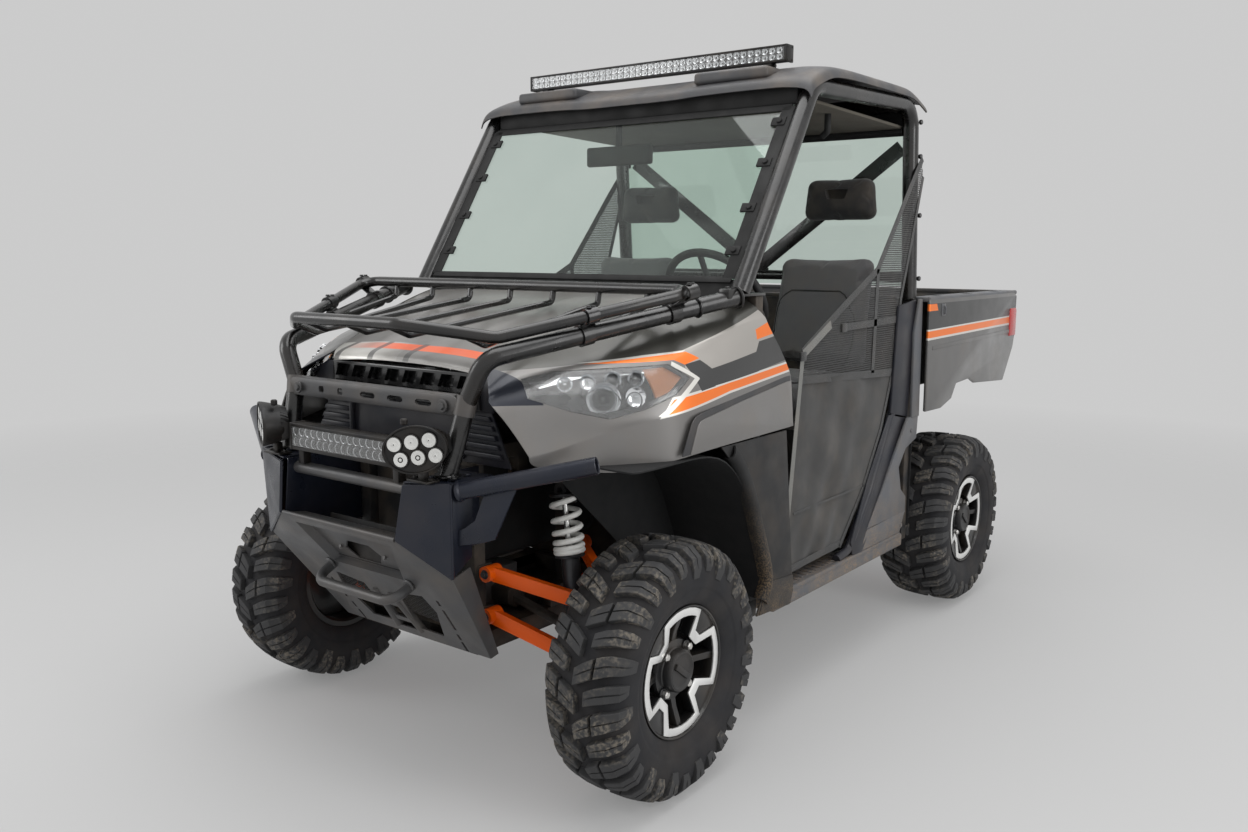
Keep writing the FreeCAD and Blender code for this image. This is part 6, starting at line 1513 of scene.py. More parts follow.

# %% [markdown]
# ## Wheel arches, sills and quarter panels
# Structural plastic left in its mould grain: dark, matt and scratched.  The arch panel has a
# rolled lip round the wheel.  Mud sprays up from the tyres, so the dirt thickens downwards.
# Splash panels close the rear arches.  Wheel houses and splash panels are the same black plastic
# made darker and bluer, as painted shade, and a dark block between the front arches stands in
# for the shade and dark clutter inside the nose.

# %% Arch panels and liners
arch_black = painted("arch_black", tint(30, 30, 31), 0.6, cloud=0.14, grain=900, depth=0.3, dust=0.12,
                     low_dust=(0.5, 0.9))
# Black plastic, made darker and bluer than the arch panels as painted shade in the wheel wells
liner_black = painted("liner_black", tint(13, 14, 16), 0.75, cloud=0.3, grain=500, depth=0.5)
lip_black = painted("lip_black", tint(22, 22, 23), 0.7, cloud=0.3, grain=300, depth=0.6,
                    low_dust=(0.8, 0.6))
arch_parts, liner_parts, lip_parts = [], [], []
edge_line = [(205, 905), (266, 868), (328, 795), (368, 720), (401, 636), (444, 540), (472, 469), (456, 436),
             (439, 414)]
lip_line = [(250, 878)] + edge_line[1:]
for side in (1, -1):
    panel = [(205, 905), (562, 905), (628, 398), (611, 357), (412, 372), (439, 416), (472, 469), (401, 636),
             (328, 795)]
    arch_parts += [plate("arch_panel", upright(side * 738, panel), (side * 6, 0, 0), 2),
                   plate("arch_foot",
                         upright(side * 742,
                                 ((478, 462), (622, 450), (626, 398), (610, 360), (424, 372), (444, 412))),
                         (side * 5, 0, 0), 4)]
    rows = []
    for k, (y, z) in enumerate(lip_line):
        before, after = lip_line[max(0, k - 1)], lip_line[min(len(lip_line) - 1, k + 1)]
        run = Vector((after[0] - before[0], after[1] - before[1])).normalized()
        out = Vector((-run.y, run.x))
        if out.x > 0:
            out = -out
        row = []
        for reach, x in ((-30, 742), (-22, 750), (-4, 755), (6, 752), (10, 738), (6, 722)):
            row.append((side * x, y + out.x * reach, z + out.y * reach))
        rows.append(row)
    lip_parts.append(skin("arch_lip", rows, 5, 1, inward=side))
    shell = [(-176, 893), (15, 893), (205, 893), (328, 788), (401, 630), (470, 469), (439, 418)]
    rows = [[(side * x, y, z) for x in (742, 720, 640, 540, 432)] for y, z in shell]
    liner_parts.append(skin("wheel_house", rows, 4, 2, inward=0))
    inner = [(-176, 890), (205, 890), (328, 786), (401, 628), (470, 468), (439, 420), (330, 440)]
    liner_parts.append(plate("inner_wall", upright(side * 434, inner), (side * 4, 0, 0), 0))
    for k in range(5):
        liner_parts.append(disc("clip", (side * (470 + 55 * k), 262 + 2 * k, 846), (0, -0.6, -0.8), 10, 5,
                                2, 10))
dress(joined("arch_panels", arch_parts), arch_black, nodes=["arch_liners"])
dress(joined("arch_lips", lip_parts), lip_black, angle=40)
dress(joined("arch_shells", liner_parts), liner_black, angle=40)
splash = []
for side in (1, -1):
    outline = [(side * x, 1645, z) for x, z in ((245, 384), (688, 384), (688, 850), (245, 850))]
    splash.append(plate("splash", outline, (0, 4, 0), 1))
    for k in range(4):
        splash.append(block("stiffener", (side * (300 + 100 * k), side * (312 + 100 * k)), (1642, 1647),
                            (420, 820), 2))
# A dark block between the front arches: it stands in for the shade and dark clutter inside the nose and keeps
# light from passing through
splash.append(block("duct", (-150, 150), (-180, 395), (545, 880), 20, 3))
dress(joined("splash_panels", splash), liner_black)

# %% Sills and quarter panels
quarter_grey = painted("quarter_grey", tint(84, 86, 90), 0.52, cloud=0.12, grain=800, depth=0.12, dust=0.25,
                       low_dust=(0.6, 0.95))
sill_parts, dark_parts, light_parts = [], [], []
for side in (1, -1):
    sill_parts += [
        block("sill", (side * 642, side * 716), (562, 1528), (336, 384), 8, 3),
        block("tread", (side * 640, side * 700), (600, 1150), (384, 390), 2),
        block("sill_rim", (side * 702, side * 720), (560, 1500), (378, 394), 4)]
    for k in range(16):
        sill_parts.append(block("grip", (side * 648, side * 694), (620 + 32 * k, 628 + 32 * k), (389, 393),
                                1))
    # The dark band along the door opening, lower and upper part
    dark_parts += [plate("band_low",
                         sided(side,
                               ((690, 1404, 846), (694, 1545, 819), (706, 1330, 560), (712, 1168, 392),
                                (708, 1101, 394), (704, 1095, 438), (690, 1250, 640))), (side * 10, 0, 0),
                         4),
                   plate("band_high",
                         sided(side,
                               ((690, 1600, 1254), (690, 1446, 1236), (690, 1410, 850), (696, 1548, 822),
                                (696, 1574, 1134))), (side * 12, 0, 0), 4),
                   rod("door_bar",
                       [(side * 688, 1444, 850), (side * 698, 1250, 585), (side * 700, 1098, 412),
                        (side * 700, 1010, 398)], 15, bend=60, sides=14)]
    light_parts += [plate("panel_high",
                          sided(side,
                                ((706, 1596, 1256), (706, 1621, 1256), (712, 1621, 818), (712, 1551, 819),
                                 (706, 1558, 1134))), (side * 12, 0, 0), 4),
                    plate("panel_mid",
                          upright(side * 708,
                                  ((1529, 822), (1621, 826), (1612, 735), (1519, 709), (1461, 647),
                                   (1488, 560), (1536, 524), (1536, 466), (1207, 466), (1330, 590))),
                          (side * 12, 0, 0), 3),
                    plate("panel_low",
                          upright(side * 711, ((1536, 470), (1207, 464), (1150, 394), (1492, 394))),
                          (side * 9, 0, 0), 3),
                    rod("step_edge", [(side * 716, 1536, 466), (side * 716, 1205, 460)], 4, sides=8)]
    light_parts += [bolts("panel_bolt", upright(side * 719, ((1590, 860), (1560, 770), (1500, 420))),
                          (side, 0, 0), 8, 4)]
dress(joined("sills", sill_parts), quarter_grey, nodes=["side_sills"])
dress(joined("quarter_bands", dark_parts), navy_black, nodes=["quarter_panels"])
dress(joined("quarter_skins", light_parts), quarter_grey)
print("sides done")

# %% [markdown]
# ## Seats and headrests
# Foam under a woven cover.  Each cushion starts as a smaller plain body, is remeshed evenly and
# blown up by a cloth simulation, so that it crowns and its corners pull in.  How far a point
# may move is capped.  Piping and a dark insert are laid on the finished surface afterwards,
# and two arms hold each headrest to the frame behind it.

# %% Cushions
FULL_TURN = 6.283


def weave(name, colour, pitch=260, rough=0.85, dust=0.2):
    """Woven cover: two crossing waves in the bump, uneven wear in the colour."""
    made = Finish(name, rough, 0.0, sheen_weight=0.25)
    x, y, z = made.axis("X"), made.axis("Y"), made.axis("Z")
    a = made.math("SINE", made.times(made.math("ADD", x, y), pitch * FULL_TURN))
    b = made.math("SINE", made.times(made.math("ADD", z, made.times(y, 0.35)), pitch * FULL_TURN))
    threads = made.times(a, b)
    base = made.mix(made.span(threads, -1, 1), shade(colour, 0.7), colour)
    base = made.mix(made.times(made.span(made.noise(11, 6), 0.45, 0.75), dust), base, DUST)
    made.colour(base)
    made.rough(made.span(made.noise(20, 4), 0.3, 0.7, rough - 0.08, min(1, rough + 0.08)))
    made.bump(threads, 0.2)
    made.bump(made.noise(55, 4), 0.12)
    return made


seat_cloth = weave("seat_cloth", tint(104, 103, 104))
seat_dark = weave("seat_dark", tint(38, 38, 39), pitch=180)


def stuffed(name, master, voxel, cap, floor=None, levels=1):
    """Blow a plain body up like a stuffed cover, with a cap on the movement."""
    pad = copied(master, name)
    bpy.data.objects.remove(master)
    even = pad.modifiers.new("even", "REMESH")
    even.mode = "VOXEL"
    even.voxel_size = voxel * MM
    apply_modifiers(pad)
    start = [vertex.co.copy() for vertex in pad.data.vertices]
    cloth = pad.modifiers.new("cloth", "CLOTH")
    cloth.settings.use_pressure = True
    cloth.settings.uniform_pressure_force = 4
    cloth.settings.effector_weights.gravity = 0
    cloth.settings.quality = 4
    cloth.point_cache.frame_start, cloth.point_cache.frame_end = 1, 20
    for frame_number in range(1, 21):
        bpy.context.scene.frame_set(frame_number)
    apply_modifiers(pad)
    bpy.context.scene.frame_set(1)
    for vertex, home in zip(pad.data.vertices, start):
        step = vertex.co - home
        if step.length > cap * MM:
            vertex.co = home + step.normalized() * cap * MM
    if floor is not None:
        for vertex in pad.data.vertices:
            vertex.co.z = max(vertex.co.z, floor * MM)
    return smoothed(pad, levels) if levels else pad


def laid_on(piece, target, lift):
    """Press a thin piece onto a cushion, with its underside just in the surface."""
    wrap = piece.modifiers.new("lay", "SHRINKWRAP")
    wrap.target = target
    wrap.wrap_method = "NEAREST_SURFACEPOINT"
    wrap.offset = lift * MM
    apply_modifiers(piece)
    return piece


def piping(name, spots, radius, target):
    """A sewn cord along a cushion's edge: a fine tube whose middle line lies on the surface."""
    path = [Vector(place(*spot)) for spot in spots]
    tree = bpy.context.evaluated_depsgraph_get()
    body = target.evaluated_get(tree)
    line = []
    for a, b in zip(path, path[1:]):
        count = max(2, int((b - a).length / 0.02))
        for k in range(count):
            near = body.closest_point_on_mesh(a.lerp(b, k / count))
            line.append(near[1] if near[0] else a.lerp(b, k / count))
    line.append(line[0])
    line = [(v.x / MM, v.y / MM - FRONT_AXLE_Y, v.z / MM) for v in line]
    return rod(name, line, radius, sides=8)


seat = block("s", (34, 576), (864, 1326), (853, 992), 34, 4)
seat = stuffed("seat_bottom_pad", seat, 6.5, 13, floor=851, levels=0)
back = block("b", (236, 636), (-50, 26), (1016, 1408), 30, 4)
for vertex in back.data.vertices:
    height = (vertex.co.z / MM - 1005) / 417
    vertex.co.y += (1325 + 100 * height) * MM
    middle = Vector((436 * MM, vertex.co.y, 1215 * MM))
    if height > 0.75:
        vertex.co.x += (middle.x - vertex.co.x) * (height - 0.75) * 0.5
back = stuffed("seat_back_pad", back, 6.0, 13)
head = block("h", (292, 580), (1456, 1524), (1543, 1692), 30, 4)
for vertex in head.data.vertices:
    share = (vertex.co.z / MM - 1550) / 136
    vertex.co.x += (436 * MM - vertex.co.x) * (0.10 * share if share > 0.5 else 0.02)
head = stuffed("headrest_pad", head, 5.0, 11)
slot = plate("slot", [(388, 1430, 1656), (484, 1430, 1656), (472, 1430, 1620), (400, 1430, 1620)],
             (0, 44, 0), 4)
head = carve(head, slot)

insert_rows = []
for z, x0, x1 in ((1035, 276, 580), (1100, 270, 588), (1180, 274, 584), (1240, 288, 566), (1270, 308, 546),
                  (1284, 330, 524)):
    insert_rows.append([(x0 + (x1 - x0) * k / 12, 1290 + (z - 1005) * 0.24, z) for k in range(13)])
insert = laid_on(smoothed(sheet_of("back_insert", insert_rows), 1), back, 2.5)
insert = walled(insert, 5)
band = [(276, 1290, 1035), (270, 1300, 1100), (274, 1320, 1180), (288, 1335, 1240), (308, 1340, 1270),
        (330, 1342, 1284), (524, 1342, 1284), (546, 1340, 1270), (566, 1335, 1240), (584, 1320, 1180),
        (588, 1300, 1100), (580, 1290, 1035), (276, 1290, 1035)]
insert_black = weave("insert_black", tint(9, 9, 10), dust=0.0)
dress(both(insert), insert_black, angle=40)
trim = [piping("back_piping", band, 3.2, back)]
seat_band = [(60, 880, 1010), (550, 880, 1010), (550, 1300, 1010), (60, 1300, 1010), (60, 880, 1010)]
trim.append(piping("seat_piping", seat_band, 3.2, seat))
trim = joined("seat_trim", trim)
for obj, nodes in ((seat, ["seat_bottoms"]), (back, ["seat_backs"]), (head, ["headrests"])):
    twin = mirrored_copy(obj, obj.name + "_right")
    finish = seat_dark if obj is head else seat_cloth
    for pad in (obj, twin):
        dress(pad, finish, nodes=nodes, angle=60)
dress(both(trim), seat_dark, angle=40)
posts = []
for side in (1, -1):
    posts += [
        block("bracket", (side * 404, side * 468), (1524, 1536), (1560, 1660), 3),
        block("arm", (side * 418, side * 454), (1530, 1622), (1628, 1664), 3)]
    posts += [bolts("head_bolt", [(side * x, 1536, z) for x in (418, 454) for z in (1580, 1640)], (0, 1, 0),
                    6, 4)]
dress(joined("headrest_brackets", posts), matt_black)
print("seats done")

# %% [markdown]
# ## Dashboard and steering wheel
# A moulded dashboard with a sun-proof top, and a steering wheel with a soft rim on three
# spokes.  Both are seen through the windscreen only, so their main forms carry the look.

# %% Dashboard and steering
dash_profile = [(412, 1040), (412, 1286), (524, 1298), (632, 1268), (660, 1238), (665, 1179), (604, 1060),
                (563, 1040)]
dash = [plate("dash", upright(-610, dash_profile), (1220, 0, 0), 12, 3),
        block("pod", (300, 500), (560, 640), (1262, 1312), 14, 3),
        block("glove_lid", (-520, -160), (628, 662), (1120, 1210), 8, 2),
        block("screen", (-90, 90), (640, 668), (1170, 1250), 6, 2)]
for x in (-560, -120, 120, 560):
    dash.append(turned("vent", [(0, 34), (8, 34), (8, 28), (2, 26), (2, 0)], (x, 655, 1230), (0, 0.95, 0.3),
                       24))
dress(joined("dash_moulding", dash), matt_black, nodes=["dashboard"])
WHEEL_TILT = math.radians(35)
axis = Vector((0, math.cos(WHEEL_TILT), math.sin(WHEEL_TILT)))
hub = Vector((400, 700, 1282))
ring = [(13 * math.sin(2 * math.pi * k / 14), 170 + 13 * math.cos(2 * math.pi * k / 14)) for k in range(15)]
wheel = [turned("wheel_rim", ring, tuple(hub), axis, 48),
         turned("wheel_hub", [(-18, 0), (-18, 42), (14, 42), (18, 36), (18, 0)], tuple(hub), axis, 28)]
across = Vector((1, 0, 0))
upward = axis.cross(across).normalized()
for angle in (-20, 200, 90):
    out = across * math.cos(math.radians(angle)) - upward * math.sin(math.radians(angle))
    wheel.append(rod("spoke", [tuple(hub + out * 34), tuple(hub + out * 100 - axis * 4),
                               tuple(hub + out * 166)], 9.5, bend=30, sides=10))
dress(joined("wheel_soft", wheel), matt_black, "steering_wheel", ["steering_wheel"], 50)
print("dashboard and wheel done")

# %% [markdown]
# ## Side nets
# A net closes each door opening: perforated mesh above, a solid cloth pocket below, edged with
# It is stretched between the sill and the rear pillar, so it is nearly flat with
# shallow pulls.  Its sheets span the opening that it fills.


def net_rows(lines, across, ripple):
    """Rows between a front and a rear edge, with shallow pulls out of the plane."""
    rows = []
    for i, ((y0, z0), (y1, z1)) in enumerate(lines):
        row = []
        for k in range(across + 1):
            t = k / across
            pull = math.sin(math.pi * t) * (math.sin(9 * t + 0.7 * i) + 0.5 * math.sin(23 * t)) * ripple
            row.append((689 + pull, y0 + (y1 - y0) * t, z0 + (z1 - z0) * t))
        rows.append(row)
    return rows


def between_lines(lines, count):
    """The same lines with others spaced evenly between them."""
    out = []
    for (a, b), (c, d) in zip(lines, lines[1:]):
        for k in range(count):
            t = k / count
            out.append(((a[0] + (c[0] - a[0]) * t, a[1] + (c[1] - a[1]) * t),
                        (b[0] + (d[0] - b[0]) * t, b[1] + (d[1] - b[1]) * t)))
    return out + [lines[-1]]


pocket_cloth = weave("pocket_cloth", tint(42, 41, 40), pitch=140, dust=0.14)
webbing = weave("webbing", tint(34, 34, 34), pitch=330, rough=0.7, dust=0.08)
webbing_pale = weave("webbing_pale", tint(112, 112, 108), pitch=330, rough=0.7)
net_mesh = weave("net_mesh", tint(20, 20, 21), pitch=200, dust=0.08)
ny, nz = net_mesh.axis("Y"), net_mesh.axis("Z")
HOLE_WAVES = 420
rising, falling = net_mesh.math("ADD", ny, nz), net_mesh.math("SUBTRACT", ny, nz)
holes = net_mesh.times(net_mesh.math("SINE", net_mesh.times(rising, HOLE_WAVES)),
                       net_mesh.math("SINE", net_mesh.times(falling, HOLE_WAVES)))
net_mesh.tree.links.new(net_mesh.span(holes, 0.28, 0.36, 1.0, 0.0), net_mesh.shader.inputs["Alpha"])

pocket_lines = [((640, 420), (1050, 430)), ((668, 600), (1214, 600)), ((700, 800), (1350, 800)),
                ((733, 1035), (1432, 1000))]
mesh_lines = [((733, 1035), (745, 1121)), ((960, 1024), (1000, 1240)), ((1200, 1012), (1271, 1365)),
              ((1430, 1000), (1400, 1512)), ((1480, 1261), (1520, 1652)), ((1560, 1480), (1575, 1715)),
              ((1636, 1700), (1622, 1766))]
pocket_rows = net_rows(between_lines(pocket_lines, 8), 40, 4.2)
mesh_rows = net_rows(between_lines(mesh_lines, 6), 14, 1.2)
straps, pale = [], []


def strap(spots, half, x=691):
    """Flat webbing along (y, z) places."""
    rows = []
    for k, (y, z) in enumerate(spots):
        before, after = spots[max(0, k - 1)], spots[min(len(spots) - 1, k + 1)]
        run = Vector((after[0] - before[0], after[1] - before[1])).normalized()
        rows.append([(x, y - run.y * half, z + run.x * half), (x, y + run.y * half, z - run.x * half)])
    return skin("strap", rows, 1.6, 0, inward=0)


def finer(spots):
    """The same line with a place about every 30 millimetres."""
    out = []
    for a, b in zip(spots, spots[1:]):
        count = max(1, int(math.dist(a, b) / 30))
        out += [(a[0] + (b[0] - a[0]) * k / count, a[1] + (b[1] - a[1]) * k / count) for k in range(count)]
    return out + [spots[-1]]


for side in (1, -1):
    for kind, rows, finish in (("pocket", pocket_rows, pocket_cloth), ("mesh", mesh_rows, net_mesh)):
        placed = [sided(side, row) for row in rows]
        net = sheet_of("net_%s_%s" % (kind, "left" if side > 0 else "right"), placed)
        dress(net, finish, nodes=["side_nets"], angle=60)
        ys = [y for row in rows for x, y, z in row]
        zs = [z for row in rows for x, y, z in row]
        size = (max(ys) - min(ys), max(zs) - min(zs))
for line, half in (([(745, 1119), (1000, 1241), (1271, 1365), (1400, 1512), (1520, 1652), (1622, 1764)],
                    13),
                   ([(1050, 432), (1214, 600), (1350, 800), (1432, 1000), (1480, 1261), (1560, 1480),
                     (1634, 1700)], 9), ([(735, 1033), (1432, 998)], 13), ([(648, 434), (1052, 444)], 12),
                   ([(716, 612), (1222, 616)], 4), ([(1278, 1368), (1262, 1010)], 12),
                   ([(1010, 1180), (1476, 1188)], 12)):
    straps.append(strap(finer(line), half))
for line, half in (([(654, 424), (744, 1100)], 12), ([(748, 1112), (930, 1196)], 14)):
    pale.append(strap(finer(line), half, 692.5))
straps += [
    block("buckle", (689, 697), (1004, 1040), (1166, 1194), 2),
    block("buckle", (689, 697), (728, 764), (1092, 1120), 2)]
dress(both(joined("net_straps", straps)), webbing, angle=40)
dress(both(joined("net_edge", pale)), webbing_pale, angle=40)
print("nets done")

# %% [markdown]
# ## Cargo bed
# A blow-moulded box that tips on two pins behind the cab, with painted side skins, a flat rail
# along the top with pockets for tie-downs, and a tailgate.  The same film runs along the skin.

# %% Bed
bed_black = painted("bed_black", tint(50, 50, 51), 0.62, cloud=0.16, grain=600, depth=0.3, dust=0.35)
BED_FILM = [(FILM_DARK, [(1560, 1238), (2700, 1238), (2700, 1120), (1560, 1120)]),
            (FILM_ORANGE, [(1560, 1236), (1706, 1236), (1722, 1210), (1560, 1210)]),
            (SILVER, [(1560, 1140), (2700, 1156), (2700, 1116), (1560, 1100)]),
            (FILM_ORANGE, [(1560, 1134), (2700, 1150), (2700, 1124), (1560, 1108)])]
bed_paint = metallic("bed_grey", [(colour, clockwise(corners)) for colour, corners in BED_FILM],
                     colour=tint(104, 103, 102))
bed_parts, bed_skins, rail_parts, red_parts = [], [], [], []
bed_parts += [block("floor", (-688, 688), (1668, 2618), (925, 943), 4),
              block("head_wall", (-688, 688), (1664, 1684), (930, 1256), 6),
              block("rail_front", (-690, 690), (1662, 1700), (1246, 1262), 5)]
for k in range(11):
    x = -600 + 120 * k
    bed_parts.append(block("rib", (x - 22, x + 22), (1700, 2600), (941, 949), 3))
for k in range(8):
    x = -560 + 160 * k
    bed_parts.append(block("wall_rib", (x - 26, x + 26), (1682, 1690), (960, 1230), 3))
for side in (1, -1):
    bed_parts.append(block("side_wall", (side * 668, side * 690), (1668, 2600), (930, 1250), 5))
    for k in range(4):
        y = 1790 + 210 * k
        bed_parts.append(block("side_rib", (side * 658, side * 670), (y - 60, y + 60), (960, 1220), 4))
    rail = block("rail", (side * 662, side * 738), (1640, 2644), (1244, 1262), 5)
    for y in (1790, 2120, 2450):
        rail = carve(rail, block("hole", (side * 684, side * 716), (y - 34, y + 34), (1230, 1280), 6))
        rail_parts.append(block("tray", (side * 680, side * 720), (y - 38, y + 38), (1238, 1246), 2))
    rail_parts += [
        rail,
        rod("rail_edge", [(side * 730, 1644, 1254), (side * 730, 2640, 1254)], 9, sides=12)]
    outline = [(1640, 1256), (2600, 1256), (2645, 1240), (2645, 1068), (2626, 1012), (2516, 872),
               (2158, 894), (2095, 918), (1951, 911), (1904, 855), (1797, 829), (1644, 832)]
    bed_skins += [
        plate("bed_skin", upright(side * 726, outline), (side * 13, 0, 0), 5, 3),
        plate("swage", upright(side * 737, ((1680, 1062), (2560, 1078), (2560, 1094), (1680, 1078))),
           (side * 4, 0, 0), 3, 2)]
    hook = sided(side, ((738, 1772, 1226), (748, 1772, 1222), (748, 1772, 1198), (738, 1772, 1194)))
    rail_parts += [
        rod("hook", hook, 4, bend=6, sides=8),
        block("hook_plate", (side * 738, side * 742), (1752, 1792), (1188, 1234), 2)]
    red_parts.append(plate("tail_lamp", upright(side * 702,
                                                ((2560, 1062), (2645, 1062), (2647, 1080), (2647, 1172),
                                                 (2640, 1186), (2566, 1186), (2556, 1174))),
                           (side * 40, 0, 0), 6, 3))
dress(joined("bed_tub", bed_parts), bed_black, "cargo_bed", ["cargo_bed"])
dress(joined("bed_rails", rail_parts), quarter_grey, "cargo_bed")
dress(joined("bed_skins", bed_skins), bed_paint, "cargo_bed", ["bed_sides"])
lamp_red = painted("lamp_red", tint(164, 14, 12), 0.2, cloud=0.3, grain=240, depth=0.5, coat_weight=0.2)
dress(joined("tail_lamp_lenses", red_parts), lamp_red, "cargo_bed", ["tail_lamps"])

gate = [block("gate", (-682, 682), (2608, 2634), (962, 1258), 6, 3),
        block("gate_cap", (-682, 682), (2604, 2638), (1244, 1262), 5)]
for k in range(6):
    x = -520 + 208 * k
    gate += [
        block("gate_rib", (x - 60, x + 60), (2632, 2637), (1000, 1200), 4),
        block("gate_rib_in", (x - 60, x + 60), (2604, 2610), (1000, 1200), 4)]
gate.append(block("handle", (-90, 90), (2634, 2642), (1196, 1232), 4))
for side in (1, -1):
    gate.append(rod("pin", [(side * 676, 2617, 962), (side * 694, 2617, 962)], 9, sides=12))
dress(joined("gate_panel", gate), bed_black, "tailgate", ["tailgate"])
print("bed done")

# %% [markdown]
# ## Suspension
# Four arms, each a boxed steel fork from two bushings to one ball joint, painted orange; a
# damper with an upper eye, a body and a rod; and a white coil spring wound round it.

# %% Arms
arm_orange = painted("arm_orange", tint(252, 96, 8), 0.34, cloud=0.14, grain=600, depth=0.08, dust=0.06,
                     specular_ior_level=0.3)
spring_white = painted("spring_white", tint(226, 226, 222), 0.34, cloud=0.08, grain=500, depth=0.08,
                       dust=0.15)
damper_dark = painted("damper_dark", tint(52, 54, 58), 0.38, metal=0.5, grain=500, depth=0.1, dust=0.2)
bright_steel = painted("bright_steel", tint(190, 190, 188), 0.26, metal=0.9, grain=400, depth=0.1)


def strut_box(name, a, b, width, height, end_width=None):
    """A flat-sided tube between two places, with rounded corners."""
    a, b = Vector(a), Vector(b)
    run = (b - a).normalized()
    over = run.cross(Vector((0, 0, 1))).normalized()
    rise = over.cross(run).normalized()
    rings = []
    for spot, w in ((a, width), (b, end_width or width)):
        ring = []
        for p, q in ((-1, -0.6), (-0.75, -1), (0.75, -1), (1, -0.6), (1, 0.6), (0.75, 1), (-0.75, 1),
                     (-1, 0.6)):
            ring.append(tuple(spot + over * (p * w / 2) + rise * (q * height / 2)))
        rings.append(ring)
    return hull(name, rings)


arm_parts, joint_parts = [], []
for row, base, tip_x in (("front", 0.0, 616.0), ("rear", WHEELBASE, 594.0)):
    for side in (1, -1):
        for inner_z, outer_z in ((560, 443), (440, 250)):
            tip = (side * (tip_x - 8), base, outer_z)
            neck = Vector(tip) + (Vector((side * 262, base, inner_z)) - Vector(tip)).normalized() * 92
            for fore in (-190, 190):
                root = (side * 262, base + fore, inner_z)
                arm_parts += [strut_box("fork", root, tuple(neck + Vector((0, fore * 0.16, 0))), 32, 38,
                                        30), turned("eye",
                                                    [(-25, 12), (-25, 22), (25, 22), (25, 12), (-25, 12)],
                                                    root, (0, 1, 0), 20)]
                joint_parts += [
                    disc("bush", (root[0], root[1] - 28, root[2]), (0, 1, 0), 13, 56, 2, 16),
                    disc("bush_bolt", (root[0], root[1] - 34, root[2]), (0, 1, 0), 9, 68, 1, 6)]
            arm_parts.append(strut_box("nose", tuple(neck), tip, 56, 30, 34))
            web = [tuple(neck + Vector((0, dy, 12))) for dy in (-40, 40)]
            heel = neck + (Vector((side * 262, base, inner_z)) - neck).normalized() * 90
            web += [tuple(heel + Vector((0, dy, 12))) for dy in (74, -74)]
            arm_parts.append(plate("gusset", web, (0, 0, -5), 1.5))
            joint_parts += [
                disc("joint", (tip[0], tip[1], tip[2] - 20), (0, 0, 1), 19, 42, 4, 20),
                disc("joint_nut", (tip[0], tip[1], tip[2] + 18), (0, 0, 1), 10, 12, 1, 6),
                disc("web_bolt", (neck.x, neck.y, neck.z + 10), (0, 0, 1), 11, 10, 1.5, 6)]
dress(joined("arms", arm_parts), arm_orange, nodes=["front_arms", "rear_arms"], angle=32)
dress(joined("arm_joints", joint_parts), damper_dark)

# %% Dampers and springs
shocks, springs, brights = [], [], []
for base, foot_x, foot_y in ((0.0, 457, -52), (WHEELBASE, 445, -52)):
    for side in (1, -1):
        top = Vector((side * 385, base - 30, 780))
        foot = Vector((side * foot_x, base + foot_y, 352))
        run = foot - top
        reach = run.length
        run = run / reach

        def along(share, top=top, run=run):
            return tuple(top + run * share)

        shocks += [turned("eye", [(-16, 9), (-16, 21), (16, 21), (16, 9), (-16, 9)], along(0), (0, 1, 0),
                          20),
                   turned("body",
                          [(reach - 250, 14), (reach - 250, 24), (reach - 240, 26), (reach - 40, 26),
                           (reach - 30, 20), (reach - 18, 16), (reach - 18, 0)], along(0), run, 24),
                   turned("foot_eye", [(-16, 9), (-16, 20), (16, 20), (16, 9), (-16, 9)], along(reach),
                          (0, 1, 0), 20),
                   turned("seat", [(10, 10), (10, 40), (15, 42), (18, 38), (18, 10)], along(0), run, 24),
                   turned("seat", [(176, 12), (176, 38), (180, 42), (185, 40), (185, 12)], along(0), run,
                          24),
                   turned("can", [(-2, 0), (-2, 15), (30, 15), (34, 10)], (top.x, top.y + 34, top.z - 8),
                          run, 18)]
        brights.append(turned("rod", [(16, 0), (16, 8), (reach - 185, 8)], along(0), run, 16))
        over = run.cross(Vector((0, 1, 0))).normalized()
        behind = run.cross(over).normalized()
        coil = []
        turns, steps = 5.7, 18
        for k in range(int(turns * steps) + 1):
            angle = 2 * math.pi * k / steps
            share = k / (turns * steps)
            step = 23 + 148 * (1 - (1 - share) ** 1.9)
            spot = top + run * step + over * (37 * math.cos(angle))
            coil.append(tuple(spot + behind * (37 * math.sin(angle))))
        springs.append(rod("coil", coil, 7.8, sides=10))
dress(joined("dampers", shocks), damper_dark, nodes=["shock_absorbers"])
dress(joined("damper_rods", brights), bright_steel)
dress(joined("springs", springs), spring_white, nodes=["shock_springs"], angle=50)
print("suspension done")

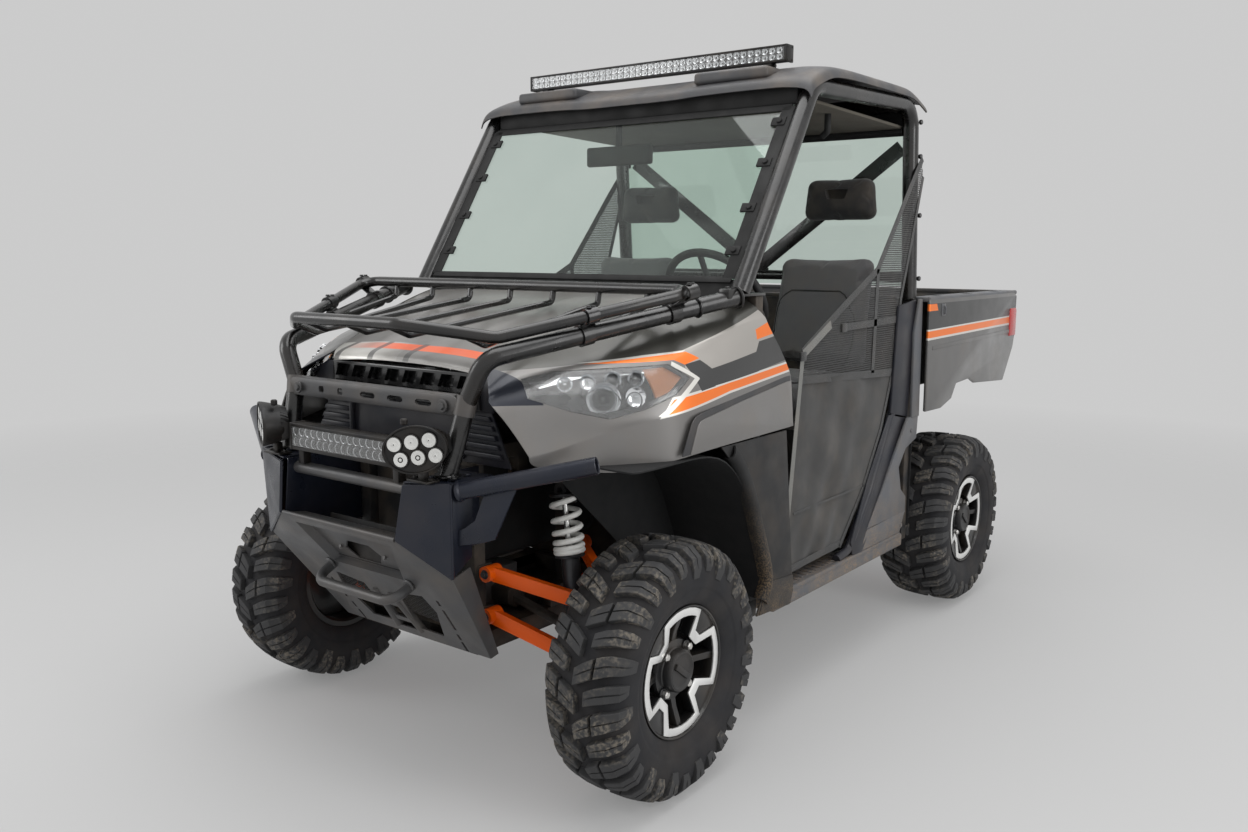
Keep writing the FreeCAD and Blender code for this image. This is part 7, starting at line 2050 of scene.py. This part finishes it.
# %% [markdown]
# ## Frame, floor and drive
# What lies deep under the body keeps the solids' own form.  Each is a merged copy with its
# edges broken by a small bevel and a finish that suits it: powder-coated tube, cast metal,
# rubber-coated floor.

# %% Copies of the solids
def from_solid(node, name, finish, edge=2.0, body="chassis", angle=30):
    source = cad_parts[node]
    obj = copied(source, name)
    clean(obj)
    if edge:
        soften(obj, edge, 2, 40)
    return dress(obj, finish, body, [node], angle)


under_black = painted("under_black", tint(38, 38, 39), 0.6, metal=0.15, cloud=0.25, grain=700, depth=0.25,
                      dust=0.45)
cast_metal = painted("cast_metal", tint(104, 104, 104), 0.5, metal=0.6, cloud=0.25, grain=420, depth=0.5,
                     dust=0.4)
floor_rubber = painted("floor_rubber", tint(40, 40, 41), 0.8, cloud=0.25, grain=240, depth=0.6, dust=0.5)
for node, name, finish, edge, slot in (
        ("lower_frame", "lower_rails", under_black, 3, "frame_black"),
        ("cab_frame", "cab_tubes", under_black, 3, "frame_black"),
        ("front_frame", "front_tubes", under_black, 3, "frame_black"),
        ("rear_frame", "rear_tubes", under_black, 3, "frame_black"),
        ("skid_plate", "skid", under_black, 1, "frame_black"),
        ("cab_floor", "floor_pan", floor_rubber, 2, "dark_plastic"),
        ("seat_base", "seat_box", arch_black, 8, "dark_plastic"),
        ("powertrain", "engine_block", cast_metal, 6, "engine_metal"),
        ("exhaust", "muffler", cast_metal, 2, "steel"),
        ("front_gearcase", "gearcase", cast_metal, 5, "engine_metal"),
        ("radiator", "radiator_core", under_black, 3, "frame_black"),
        ("half_shafts", "shafts", under_black, 1.5, "steel"),
        ("steering_column", "column", under_black, 1.5, "steel"),
        ("rear_knuckles", "rear_hubs", cast_metal, 3, "cast_grey")):
    from_solid(node, name, finish, edge)
from_solid("steering_rack", "rack_bar", bright_steel, 1, "steering_rack")
from_solid("knuckle_left", "knuckle_cast_left", cast_metal, 3, "knuckle_left")
from_solid("knuckle_right", "knuckle_cast_right", cast_metal, 3, "knuckle_right")
print("frame and drive done")
